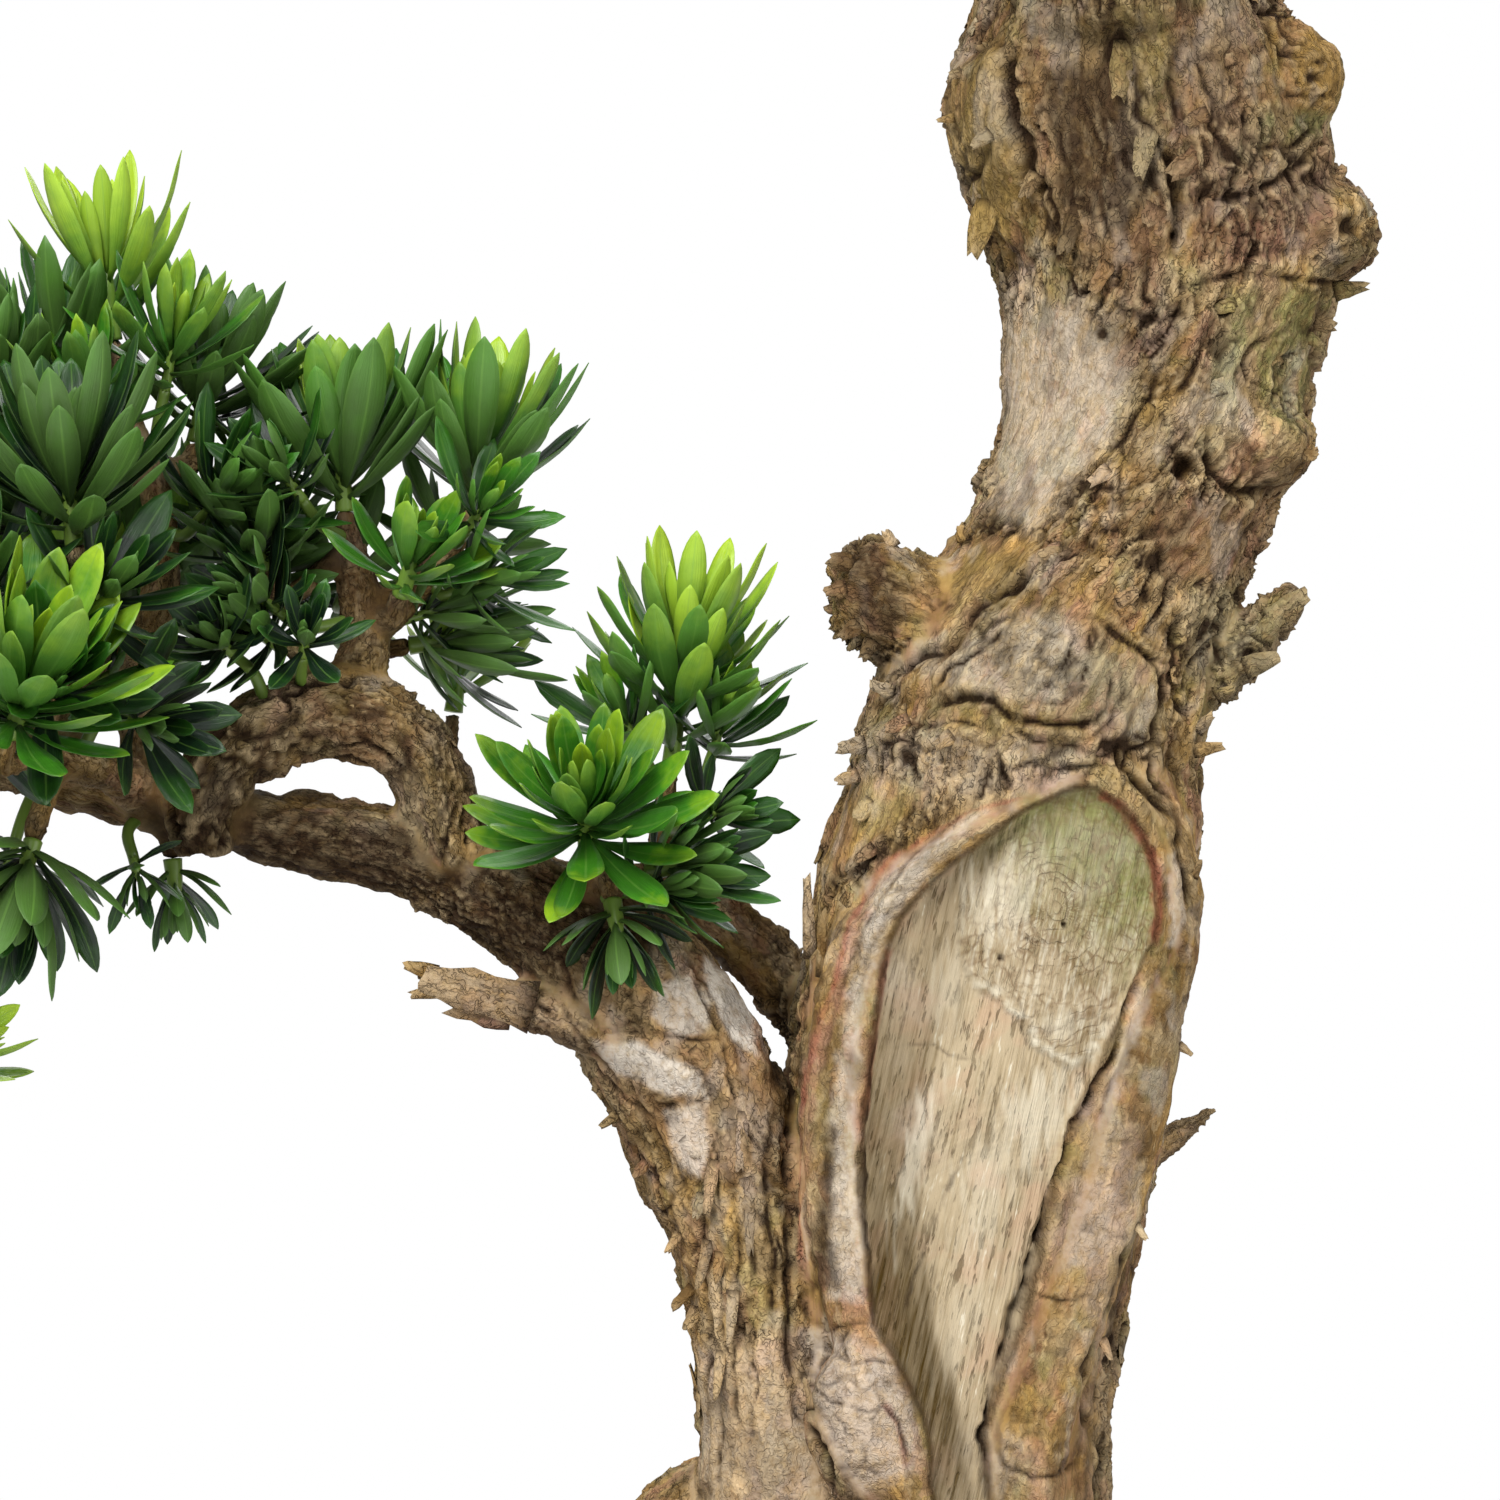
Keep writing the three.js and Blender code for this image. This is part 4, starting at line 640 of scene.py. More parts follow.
# Areas of the front: tones that they take, softness of their edge in pixels, outline. The darkest tone is partly dark
# bark and partly painted shade, as under the foliage on the limb and under the crown.
AREAS = [
    ({"gold": 0.4, "moss": 0.45, "soot": 0.3}, 6,
     [(1118, 0), (1160, 0), (1172, 50), (1150, 92), (1160, 130), (1182, 178), (1172, 218), (1148, 180), (1132, 112),
      (1122, 50)]),
    ({"soot": 0.5, "blush": 0.45}, 7, [(1188, 160), (1250, 190), (1335, 150), (1330, 250), (1260, 262), (1196, 250)]),
    ({"soot": 0.6}, 6, [(1262, 176), (1300, 164), (1322, 180), (1316, 210), (1270, 214)]),
    ({"blush": 0.8}, 6, [(1218, 226), (1262, 216), (1296, 232), (1280, 262), (1226, 266)]),
    ({"soot": 0.4, "blush": 0.3}, 8, [(1175, 10), (1250, 10), (1256, 100), (1230, 170), (1190, 150), (1176, 80)]),
    ({"soot": 0.35}, 10, [(740, 1060), (785, 1060), (785, 1200), (748, 1200)]),
    ({"smooth": 0.42}, 20, [(1020, 0), (1250, 0), (1250, 120), (1200, 200), (1180, 280), (1040, 260), (1020, 150)]),
    ({"soot": 0.7}, 20, [(330, 470), (400, 480), (420, 560), (400, 650), (330, 660), (310, 560)]),
    ({"smooth": 0.9, "gold": 0.35, "bleach": 0.5}, 16,
     [(1003, 330), (1060, 300), (1120, 335), (1140, 385), (1112, 440), (1080, 480), (1040, 530), (990, 520),
      (996, 450)]),
    ({"smooth": 0.75, "gold": 0.6}, 10,
     [(925, 560), (985, 535), (1035, 535), (1036, 556), (975, 604), (935, 648), (905, 640)]),
    ({"smooth": 0.85, "gold": 0.85}, 9,
     [(842, 785), (880, 772), (925, 790), (900, 828), (870, 858), (835, 872), (818, 872), (826, 820)]),
    ({"gold": 0.5, "smooth": 0.3}, 10, [(798, 880), (832, 880), (818, 950), (806, 1010), (794, 1010)]),
    ({"gold": 1.0}, 8, [(1262, 5), (1320, 30), (1342, 80), (1336, 112), (1296, 112), (1270, 60)]),
    ({"moss": 0.9}, 8, [(1256, 100), (1300, 112), (1336, 112), (1318, 134), (1262, 146)]),
    ({"moss": 0.75}, 14,
     [(1235, 295), (1290, 285), (1345, 292), (1326, 350), (1322, 400), (1296, 436), (1240, 425), (1212, 380)]),
    ({"blush": 0.5, "soot": 0.15}, 12,
     [(1218, 205), (1270, 190), (1310, 190), (1340, 215), (1320, 255), (1262, 262), (1205, 290)]),
    ({"soot": 0.5}, 10, [(1255, 195), (1300, 168), (1335, 150), (1345, 195), (1300, 200)]),
    ({"soot": 0.35, "blush": 0.35}, 18,
     [(1020, 40), (1110, 36), (1140, 70), (1135, 120), (1150, 180), (1060, 190), (1032, 150)]),
    ({"moss": 0.5}, 16, [(1040, 30), (1110, 30), (1125, 100), (1060, 100)]),
    ({"blush": 0.4, "soot": 0.32}, 12,
     [(1150, 490), (1215, 500), (1272, 498), (1274, 560), (1225, 575), (1185, 592), (1150, 540)]),
    ({"bleach": 0.38, "smooth": 0.3}, 12,
     [(940, 665), (1000, 615), (1062, 612), (1098, 660), (1080, 705), (1010, 700), (955, 698)]),
    ({"moss": 0.45}, 16, [(1185, 585), (1290, 585), (1292, 620), (1245, 690), (1225, 760), (1190, 740)]),
    ({"moss": 0.3, "bleach": 0.15}, 16, [(1090, 640), (1150, 668), (1150, 740), (1090, 750)]),
    ({"gold": 0.35}, 16, [(1060, 520), (1125, 440), (1160, 380), (1190, 380), (1150, 460), (1125, 560), (1080, 560)]),
    ({"bleach": 0.35}, 16, [(1060, 290), (1120, 300), (1110, 370), (1050, 360)]),
    ({"gold": 0.6, "bleach": 0.45}, 16, [(1000, 285), (1040, 280), (1056, 340), (1050, 420), (1016, 500), (994, 470)]),
    ({"gold": 0.5, "smooth": 0.8}, 12, [(985, 60), (1006, 60), (1006, 110), (1020, 150), (1000, 180), (975, 140)]),
    ({"blush": 0.4}, 12, [(1040, 130), (1120, 140), (1120, 180), (1045, 175)]),
    ({"blush": 0.45}, 8, [(1000, 772), (1062, 766), (1090, 778), (1040, 790), (1004, 790)]),
    ({"blush": 0.3, "bleach": 0.5}, 10,
     [(800, 1330), (845, 1335), (885, 1350), (915, 1410), (915, 1470), (860, 1500), (820, 1440)]),
    ({"bleach": 0.55, "smooth": 0.8}, 7,
     [(838, 1060), (858, 1060), (858, 1180), (866, 1250), (862, 1300), (828, 1296), (832, 1180)]),
    ({"soot": 0.75}, 6, [(822, 1190), (836, 1196), (832, 1240), (842, 1290), (812, 1290), (816, 1230)]),
    ({"bleach": 0.62}, 9,
     [(868, 905), (905, 860), (960, 822), (985, 812), (920, 880), (880, 930), (860, 1020), (845, 1040)]),
    ({"bleach": 0.8, "smooth": 0.8}, 4, [(656, 985), (690, 975), (712, 1000), (706, 1030), (680, 1040), (652, 1016)]),
    ({"soot": 0.4}, 8, [(985, 640), (1020, 632), (1030, 650), (1010, 665), (985, 668)]),
    ({"soot": 0.35, "moss": 0.3}, 8, [(1092, 324), (1118, 326), (1116, 344), (1094, 344)]),
    ({"soot": 0.4}, 10, [(1165, 965), (1192, 960), (1186, 1010), (1165, 1040), (1150, 1010)]),
    ({"blush": 0.35, "bleach": 0.3}, 10, [(1070, 1180), (1130, 1170), (1136, 1240), (1090, 1270), (1056, 1260)]),
    ({"bleach": 1.0, "smooth": 0.9}, 4, [(702, 958), (722, 960), (742, 1010), (752, 1060), (730, 1040), (708, 990)]),
    ({"bleach": 0.95, "smooth": 0.8}, 4,
     [(592, 1040), (640, 1042), (700, 1072), (708, 1098), (660, 1092), (610, 1068)]),
    ({"bleach": 0.7, "smooth": 0.8}, 4, [(664, 1112), (700, 1102), (712, 1140), (700, 1180), (676, 1168)]),
    ({"gold": 0.45, "smooth": 0.3}, 10, [(700, 905), (745, 935), (785, 980), (788, 1010), (740, 985), (700, 940)]),
    ({"moss": 0.4}, 12, [(560, 985), (640, 970), (650, 1030), (590, 1040)]),
    # Painted shadow of the foliage over the limb.
    ({"soot": 1.0}, 26,
     [(-20, 830), (200, 810), (330, 800), (440, 850), (600, 890), (660, 930), (640, 965), (560, 985), (440, 950),
      (300, 905), (-20, 900)]),
    ({"soot": 0.8, "moss": 0.3}, 18, [(170, 730), (250, 700), (300, 720), (280, 800), (250, 860), (180, 860)]),
    ({"soot": 0.62, "gold": 0.2}, 22, [(290, 690), (470, 700), (520, 800), (480, 860), (420, 790), (300, 790)]),
    # Painted shade under the crown at the top of the trunk.
    ({"soot": 0.42}, 40, [(960, -30), (1300, -30), (1330, 150), (1200, 240), (1040, 240), (980, 150)]),
    # Painted shade, with dark bark, in the hollow at the top of the trunk.
    ({"soot": 0.88, "moss": 0.4}, 12, [(1030, 60), (1120, 60), (1140, 110), (1170, 190), (1120, 230), (1060, 210)]),
    ({"gold": 0.5, "smooth": 0.6, "moss": 0.25}, 10,
     [(950, 60), (1000, 50), (1008, 120), (1030, 170), (1010, 240), (985, 230), (965, 180), (945, 120)]),
    ({"gold": 1.0, "smooth": 0.75, "bleach": 0.4}, 24,
     [(690, 1340), (790, 1330), (800, 1400), (840, 1520), (690, 1520)]),
    ({"gold": 0.35, "smooth": 0.45}, 24, [(640, 1110), (780, 1120), (790, 1340), (690, 1340)]),
    ({"smooth": 0.45, "blush": 0.3}, 10, [(560, 960), (660, 960), (780, 1050), (770, 1180), (700, 1180), (610, 1090)]),
    ({"gold": 0.2, "bleach": 0.2}, 14,
     [(1085, 1120), (1140, 1130), (1120, 1260), (1108, 1500), (1092, 1500), (1085, 1380)]),
    ({"soot": 0.9}, 9, [(770, 985), (800, 985), (792, 1110), (776, 1120), (764, 1050)]),
    ({"soot": 0.45}, 22, [(480, 905), (640, 905), (690, 955), (600, 960), (520, 950)]),
    ({"soot": 0.35}, 14, [(330, 870), (480, 890), (470, 920), (380, 905)]),
    ({"blush": 0.4, "gold": 0.4}, 12, [(330, 720), (395, 725), (400, 770), (340, 765)]),
    ({"gold": 0.4}, 22, [(690, 1330), (770, 1330), (800, 1500), (700, 1500)]),
    ({"soot": 0.85, "blush": 0.2}, 12, [(836, 545), (880, 540), (905, 600), (885, 668), (850, 610)]),
    ({"gold": 0.25, "blush": 0.35}, 9,
     [(1062, 1180), (1085, 1180), (1052, 1290), (1020, 1380), (1005, 1370), (1034, 1270)]),
    ({"gold": 0.6, "blush": 0.4}, 9, [(1050, 1465), (1090, 1470), (1092, 1500), (1050, 1500)]),
    ({"smooth": 0.9}, 9,
     [(1146, 952), (1196, 950), (1190, 1040), (1170, 1130), (1150, 1220), (1120, 1300), (1096, 1380), (1092, 1520),
      (980, 1520), (976, 1432), (1000, 1360), (1034, 1262), (1050, 1200), (1060, 1165), (1094, 1068), (1130, 986)]),
    ({"smooth": 0.8}, 8,
     [(1090, 776), (1128, 790), (1170, 840), (1186, 900), (1180, 956), (1146, 956), (1152, 900), (1146, 850),
      (1118, 806)]),
    ({"smooth": 0.85}, 8,
     [(1044, 776), (1060, 792), (985, 835), (915, 895), (885, 960), (872, 1060), (862, 1180), (872, 1300),
      (806, 1310), (800, 1150), (812, 1030), (836, 930), (880, 862), (960, 806)]),
    ({"smooth": 0.72, "moss": 0.2}, 12,
     [(925, 704), (955, 650), (1030, 600), (1100, 605), (1165, 660), (1165, 725), (1112, 742), (1010, 736),
      (940, 722)]),
    ({"smooth": 0.6}, 14, [(850, 1410), (798, 1310), (850, 1316), (900, 1376), (920, 1470), (870, 1520), (830, 1500)]),
    ({"bleach": 0.3}, 16, [(850, 730), (1000, 735), (1110, 745), (1060, 790), (930, 800), (860, 780)]),
    ({"soot": 0.3}, 12, [(1150, 960), (1192, 930), (1190, 1040), (1150, 1130), (1100, 1180), (1118, 1060)]),
    ({"soot": 0.55}, 12, [(1030, -20), (1130, -20), (1120, 40), (1080, 50), (1030, 40)]),
    ({"soot": 0.5, "blush": 0.3}, 14, [(1040, 150), (1120, 150), (1160, 200), (1150, 330), (1120, 300), (1060, 230)]),
    ({"soot": 0.45}, 14, [(1115, 300), (1160, 250), (1190, 300), (1170, 380), (1140, 420), (1110, 380)]),
    ({"bleach": 0.4, "soot": 0.15}, 12, [(1095, 1170), (1130, 1190), (1100, 1260), (1062, 1270), (1080, 1200)]),
]

WOUND_OUTLINE = [
    (1095, 788), (1120, 806), (1140, 832), (1152, 866), (1155, 905), (1150, 945), (1132, 990), (1112, 1030),
    (1096, 1072), (1072, 1120), (1060, 1170), (1050, 1205), (1036, 1268), (1022, 1320), (1002, 1372), (985, 1432),
    (990, 1520), (934, 1520), (930, 1450), (924, 1417), (906, 1379), (894, 1356), (874, 1326), (871, 1300),
    (866, 1245), (861, 1190), (864, 1120), (870, 1063), (876, 1019), (882, 975), (890, 945), (900, 920),
    (918, 897), (944, 871), (985, 839), (1029, 809), (1076, 788),
]
# Torn shards of bark at the outline: place in pixels, way in degrees from the right, length and width, curl.
SHARDS = [
    (803, 960, 92, 85, 14, 0.02), (812, 975, 88, 70, 12, 0.02), (945, 122, 188, 18, 9, 0.1),
    (958, 70, 200, 14, 12, 0.2), (975, 250, 250, 16, 12, 0.2), (1352, 300, 12, 34, 20, 0.1),
    (1362, 285, 40, 20, 14, 0.2), (1330, 330, -10, 22, 18, 0.2), (1265, 560, 80, 26, 14, 0.1),
    (1268, 620, 35, 52, 26, 0.05), (1262, 640, 60, 40, 22, 0.1), (1245, 672, 20, 34, 24, 0.1),
    (1200, 752, 10, 32, 16, 0.15), (1204, 735, 50, 24, 14, 0.2), (1214, 700, 30, 22, 14, 0.2),
    (862, 742, 190, 30, 18, 0.2), (852, 772, 200, 24, 16, 0.2), (885, 690, 160, 26, 16, 0.2),
    (850, 560, 170, 26, 20, 0.1), (846, 590, 190, 22, 18, 0.1), (856, 625, 215, 24, 16, 0.1),
    (868, 650, 240, 22, 16, 0.1), (900, 535, 120, 20, 14, 0.1), (945, 532, 100, 18, 14, 0.1),
    (440, 965, 165, 34, 16, 0.05), (455, 985, 190, 44, 18, 0.1), (480, 1000, 205, 30, 16, 0.1),
    (455, 945, 150, 30, 12, 0.1), (610, 1118, 215, 22, 12, 0.2), (640, 1165, 230, 20, 12, 0.2),
    (676, 1235, 235, 24, 12, 0.2), (680, 1290, 225, 30, 14, 0.2), (690, 1310, 240, 26, 14, 0.2),
    (700, 1190, 250, 26, 14, 0.15), (720, 1250, 262, 30, 12, 0.12), (735, 1210, 258, 26, 12, 0.12),
    (1140, 1225, -60, 18, 10, 0.2), (1118, 1340, -70, 22, 10, 0.2), (1112, 1400, -80, 20, 10, 0.15),
    (1196, 880, 70, 20, 9, 0.15), (1192, 1045, -40, 16, 9, 0.2), (1325, 340, -30, 18, 14, 0.2),
    (1372, 225, 30, 12, 12, 0.2), (1325, 155, 45, 14, 12, 0.2), (1300, 455, 0, 16, 14, 0.2),
    (1275, 560, 30, 18, 12, 0.2), (912, 720, 200, 26, 18, 0.15), (955, 735, 215, 24, 16, 0.15),
    (1010, 735, 230, 20, 14, 0.15), (870, 800, 225, 26, 20, 0.12), (880, 850, 215, 24, 16, 0.12),
    (1060, 545, 200, 26, 16, 0.12), (1110, 470, 215, 26, 16, 0.12), (1155, 405, 235, 26, 14, 0.12),
    (1035, 175, 240, 28, 18, 0.12), (1000, 130, 215, 24, 16, 0.15), (1180, 120, 250, 26, 14, 0.12),
    (1235, 300, 200, 24, 16, 0.15), (1290, 360, 215, 24, 16, 0.15), (534, 1002, 165, 112, 50, 0.01),
    (1128, 45, 262, 60, 26, 0.02), (1150, 128, 256, 50, 24, 0.03), (1205, 150, 215, 44, 26, 0.03),
    (1240, 225, 200, 40, 22, 0.03), (1080, 205, 250, 50, 22, 0.03), (988, 200, 255, 60, 26, 0.02),
    (1110, 262, 240, 36, 18, 0.04), (742, 1110, 268, 56, 15, 0.05), (716, 1160, 262, 52, 14, 0.06),
    (752, 1190, 272, 60, 13, 0.05), (704, 1240, 258, 46, 13, 0.08), (736, 1290, 266, 52, 13, 0.06),
    (716, 1350, 264, 46, 12, 0.07), (510, 1012, 172, 62, 40, 0.02),
]
# Bright places of the wound: middle and reach in pixels, share.
WOUND_LIGHTS = [
    (1000, 900, 45, 48, 0.6), (950, 985, 26, 50, 0.3), (1040, 1118, 42, 60, 0.62), (985, 1190, 32, 90, 0.35),
    (916, 1160, 16, 80, 0.55), (1066, 1025, 30, 20, 0.5), (960, 1330, 26, 60, 0.2), (1030, 860, 40, 30, 0.25),
]
# Where the wound shows end grain.
END_GRAIN = [
    (1152, 945), (1128, 985), (1110, 1030), (1098, 1052), (1078, 1066), (1056, 1064), (1040, 1048), (1023, 1027),
    (1000, 1002), (975, 985), (958, 955), (962, 905), (1000, 850), (1050, 800), (1095, 780), (1145, 830), (1160, 905),
]
# Bands of tone along the callus: tone, amount, width in pixels, line.
TONE_LINES = [
    ("red", 0.55, 2.4, [(1038, 794), (1000, 802), (968, 813), (921, 840), (889, 863), (865, 898), (850, 928),
                      (839, 975), (827, 1010), (815, 1057), (806, 1121), (802, 1198), (799, 1290)]),
    ("blush", 0.6, 7, [(1030, 800), (965, 822), (921, 846), (880, 880), (858, 920), (843, 975), (830, 1020),
                       (816, 1070), (808, 1140), (808, 1200), (806, 1300)]),
    ("red", 0.9, 5, [(1095, 790), (1120, 807), (1138, 831), (1150, 857), (1156, 887), (1154, 916), (1150, 948)]),
    ("red", 0.6, 4, [(891, 945), (883, 975), (877, 1019), (871, 1063), (865, 1121)]),
    ("red", 0.6, 3, [(883, 1402), (897, 1423), (903, 1446), (906, 1470)]),
    ("bleach", 0.5, 11, [(905, 878), (880, 920), (862, 985), (852, 1050), (843, 1120), (838, 1200), (842, 1300)]),
    # Painted shade in the grooves beside the left callus.
    ("soot", 0.85, 6, [(833, 1120), (828, 1180), (824, 1240), (832, 1292)]),
    ("soot", 0.4, 4, [(935, 850), (895, 900), (868, 960), (858, 1020)]),
    ("bleach", 0.5, 8, [(1148, 985), (1128, 1040), (1104, 1110)]),
    ("gold", 0.45, 7, [(1112, 1040), (1090, 1120), (1068, 1190), (1044, 1270), (1018, 1350)]),
    ("blush", 0.6, 7, [(1076, 1170), (1056, 1235), (1032, 1310), (1012, 1370)]),
    ("bleach", 0.6, 10, [(1170, 850), (1178, 900), (1170, 950)]),
]


def to_line(uv, line):
    """Distance of pixels uv from a line, which side they lie on, and the share of the line's length."""
    line = np.asarray(line, float)
    gaps = np.linalg.norm(np.diff(line, axis=0), axis=1)
    reach = np.concatenate([[0], np.cumsum(gaps)])
    best = np.full(len(uv), 9e9)
    side = np.zeros(len(uv))
    share = np.zeros(len(uv))
    for k, (a, b) in enumerate(zip(line, line[1:])):
        d = b - a
        t = (((uv - a) @ d) / (d @ d)).clip(0, 1)
        away = uv - a - t[:, None] * d
        distance = np.hypot(away[:, 0], away[:, 1])
        closer = distance < best
        best[closer] = distance[closer]
        side[closer] = (d[0] * away[:, 1] - d[1] * away[:, 0])[closer]
        share[closer] = ((reach[k] + t * gaps[k]) / reach[-1])[closer]
    return best, np.sign(side), share


def inside(uv, outline):
    """Signed distance of pixels uv into a closed outline, positive inside."""
    ring = np.asarray(list(outline) + [outline[0]], float)
    distance = to_line(uv, ring)[0]
    x, y = uv.T
    within = np.zeros(len(uv), bool)
    for (x0, y0), (x1, y1) in zip(ring, ring[1:]):
        if y0 != y1:
            crosses = (y0 > y) != (y1 > y)
            within ^= crosses & (x < (x1 - x0) * (y - y0) / (y1 - y0) + x0)
    return np.where(within, distance, -distance)


def near_box(uv, line, margin):
    line = np.asarray(line, float)
    low, high = line.min(0) - margin, line.max(0) + margin
    return np.nonzero(((uv > low) & (uv < high)).all(1))[0]


# Meshes


def mesh_from(name, points, corners, counts):
    """A mesh from points, the flat list of its faces' corners, and each face's number of corners."""
    mesh = bpy.data.meshes.new(name)
    mesh.vertices.add(len(points))
    mesh.vertices.foreach_set("co", np.asarray(points, np.float32).ravel())
    mesh.loops.add(len(corners))
    mesh.loops.foreach_set("vertex_index", np.asarray(corners, np.int32))
    mesh.polygons.add(len(counts))
    starts = np.concatenate([[0], np.cumsum(counts)[:-1]])
    mesh.polygons.foreach_set("loop_start", starts.astype(np.int32))
    mesh.update(calc_edges=True)
    mesh.validate()
    return mesh


def object_of(mesh, name):
    made = bpy.data.objects.new(name, mesh)
    bpy.context.scene.collection.objects.link(made)
    return made


def set_attribute(mesh, name, values):
    kind = "FLOAT" if np.ndim(values) == 1 else "FLOAT_VECTOR"
    attribute = mesh.attributes.new(name, kind, "POINT")
    attribute.data.foreach_set("value" if kind == "FLOAT" else "vector", np.asarray(values, np.float32).ravel())


def shade_smooth(mesh):
    mesh.polygons.foreach_set("use_smooth", np.ones(len(mesh.polygons), bool))


def read_mesh(mesh):
    points = np.empty(len(mesh.vertices) * 3)
    mesh.vertices.foreach_get("co", points)
    corners = np.empty(len(mesh.loops), np.int32)
    mesh.loops.foreach_get("vertex_index", corners)
    counts = np.empty(len(mesh.polygons), np.int32)
    mesh.polygons.foreach_get("loop_total", counts)
    return points.reshape(-1, 3), corners, counts


def vertex_normals(mesh):
    out = np.empty(len(mesh.vertices) * 3)
    mesh.vertices.foreach_get("normal", out)
    return out.reshape(-1, 3)


class Around:
    """The neighbours of each point of a mesh, for smoothing values over it."""

    def __init__(self, count, corners, counts):
        starts = np.concatenate([[0], np.cumsum(counts)[:-1]])
        following = np.arange(len(corners)) + 1
        ends = starts + counts - 1
        following[ends] = starts
        a, b = corners, corners[following]
        pairs = np.unique(np.sort(np.stack([a, b], 1), 1).astype(np.int64) @ np.array([count, 1]))
        self.a, self.b, self.count = pairs // count, pairs % count, count
        links = np.bincount(self.a, minlength=count) + np.bincount(self.b, minlength=count)
        self.links = np.maximum(links, 1)

    def mean(self, values):
        flat = values if values.ndim == 2 else values[:, None]
        out = np.empty_like(flat)
        for k in range(flat.shape[1]):
            column = flat[:, k]
            total = np.bincount(self.a, column[self.b], self.count) + np.bincount(self.b, column[self.a], self.count)
            out[:, k] = total / self.links
        return out if values.ndim == 2 else out[:, 0]

    def smooth(self, values, rounds, weight=0.5):
        for _ in range(rounds):
            share = weight if np.ndim(weight) == 0 or values.ndim == 1 else weight[:, None]
            values = values + (self.mean(values) - values) * share
        return values


def remesh(points, faces, pitch):
    """One skin over bodies that run into each other, as quads of about the pitch."""
    mesh = bpy.data.meshes.new("union")
    mesh.from_pydata([tuple(p) for p in points], [], faces)
    body = object_of(mesh, "union")
    modifier = body.modifiers.new("skin", "REMESH")
    modifier.mode = "VOXEL"
    modifier.voxel_size = pitch
    graph = bpy.context.evaluated_depsgraph_get()
    made = bpy.data.meshes.new_from_object(body.evaluated_get(graph))
    out = read_mesh(made)
    bpy.data.objects.remove(body)
    bpy.data.meshes.remove(mesh)
    bpy.data.meshes.remove(made)
    return out


def refine(points, corners, counts, fine):
    """Splits the quads marked fine in four, and gives their neighbours the points on shared edges."""
    if not (counts == 4).all():
        raise RuntimeError("the skin isn't all quads")
    quads = corners.reshape(-1, 4).astype(np.int64)
    count = len(points)
    after = np.roll(quads, -1, 1)
    keys = np.minimum(quads, after) * count + np.maximum(quads, after)
    split = np.unique(keys[fine])
    a, b = split // count, split % count
    middles = (points[a] + points[b]) / 2
    centres = points[quads[fine]].mean(1)
    found = np.searchsorted(split, keys).clip(0, len(split) - 1)
    has = split[found] == keys
    on_edge = np.where(has, count + found, -1)
    made = np.vstack([points, middles, centres])
    q, e = quads[fine], on_edge[fine]
    c = count + len(split) + np.arange(len(q))
    small = np.vstack([np.stack([q[:, k], e[:, k], c, e[:, k - 1]], 1) for k in range(4)])
    rest = ~fine
    mixed = np.stack([quads[rest], on_edge[rest]], 2).reshape(-1, 8)
    kept = mixed >= 0
    new_corners = np.concatenate([small.ravel(), mixed[kept]])
    new_counts = np.concatenate([np.full(len(small), 4), kept.sum(1)])
    return made, new_corners.astype(np.int32), new_counts.astype(np.int32)


# Shader nodes


def feed(tree, node, inputs):
    """Gives a node its inputs, each a value or a socket to link."""
    for key, value in inputs.items():
        socket = node.inputs[key]
        if isinstance(value, bpy.types.NodeSocket):
            tree.links.new(value, socket)
        elif value is not None:
            if hasattr(socket.default_value, "__len__") and len(socket.default_value) == 4 and len(value) == 3:
                value = (*value, 1)
            socket.default_value = value
    return node


def put(tree, kind, inputs=None, **settings):
    """A new node with its settings and its inputs."""
    node = tree.nodes.new(kind)
    for key, value in settings.items():
        setattr(node, key, value)
    return feed(tree, node, inputs or {})


def sums(tree, operation, a, b=None, c=None):
    return put(tree, "ShaderNodeMath", {0: a, 1: b, 2: c}, operation=operation).outputs[0]


def times(tree, a, b):
    return sums(tree, "MULTIPLY", a, b)


def joined(tree, x, y, z):
    return put(tree, "ShaderNodeCombineXYZ", {0: x, 1: y, 2: z}).outputs[0]


def blend(tree, share, a, b, how="MIX"):
    """A colour between a and b."""
    return put(tree, "ShaderNodeMix", {0: share, 6: a, 7: b}, data_type="RGBA", blend_type=how).outputs[2]


def span(tree, value, low, high, to_low=0.0, to_high=1.0):
    return put(tree, "ShaderNodeMapRange", {0: value, 1: low, 2: high, 3: to_low, 4: to_high}).outputs[0]


def speckle(tree, vector, scale, detail=3.0, rough=0.55, twist=0.0):
    return put(tree, "ShaderNodeTexNoise", {"Vector": vector, "Scale": scale, "Detail": detail, "Roughness": rough,
                                            "Distortion": twist}).outputs[0]


def stretch(tree, vector, by):
    return put(tree, "ShaderNodeVectorMath", {0: vector, 1: by}, operation="MULTIPLY").outputs[0]


def carried(tree, name, output="Fac"):
    """What the mesh carries under a name."""
    return put(tree, "ShaderNodeAttribute", attribute_name=name).outputs[output]


def place_of(tree):
    return put(tree, "ShaderNodeTexCoord").outputs["Object"]


def edges_of_cells(tree, vector):
    """Distance to the nearest edge between cells of size 1."""
    return put(tree, "ShaderNodeTexVoronoi", {"Vector": vector, "Scale": 1.0}, feature="DISTANCE_TO_EDGE").outputs[0]


def bumped(tree, strength, distance, height):
    return put(tree, "ShaderNodeBump", {"Strength": strength, "Distance": distance, "Height": height}).outputs[0]


def tones(tree, value, stops):
    """A colour from a ramp of (place, colour)."""
    node = put(tree, "ShaderNodeValToRGB", {0: value})
    ramp = node.color_ramp
    while len(ramp.elements) < len(stops):
        ramp.elements.new(0.5)
    for element, (place, colour) in zip(ramp.elements, stops):
        element.position = place
        element.color = (*colour, 1)
    return node.outputs[0]


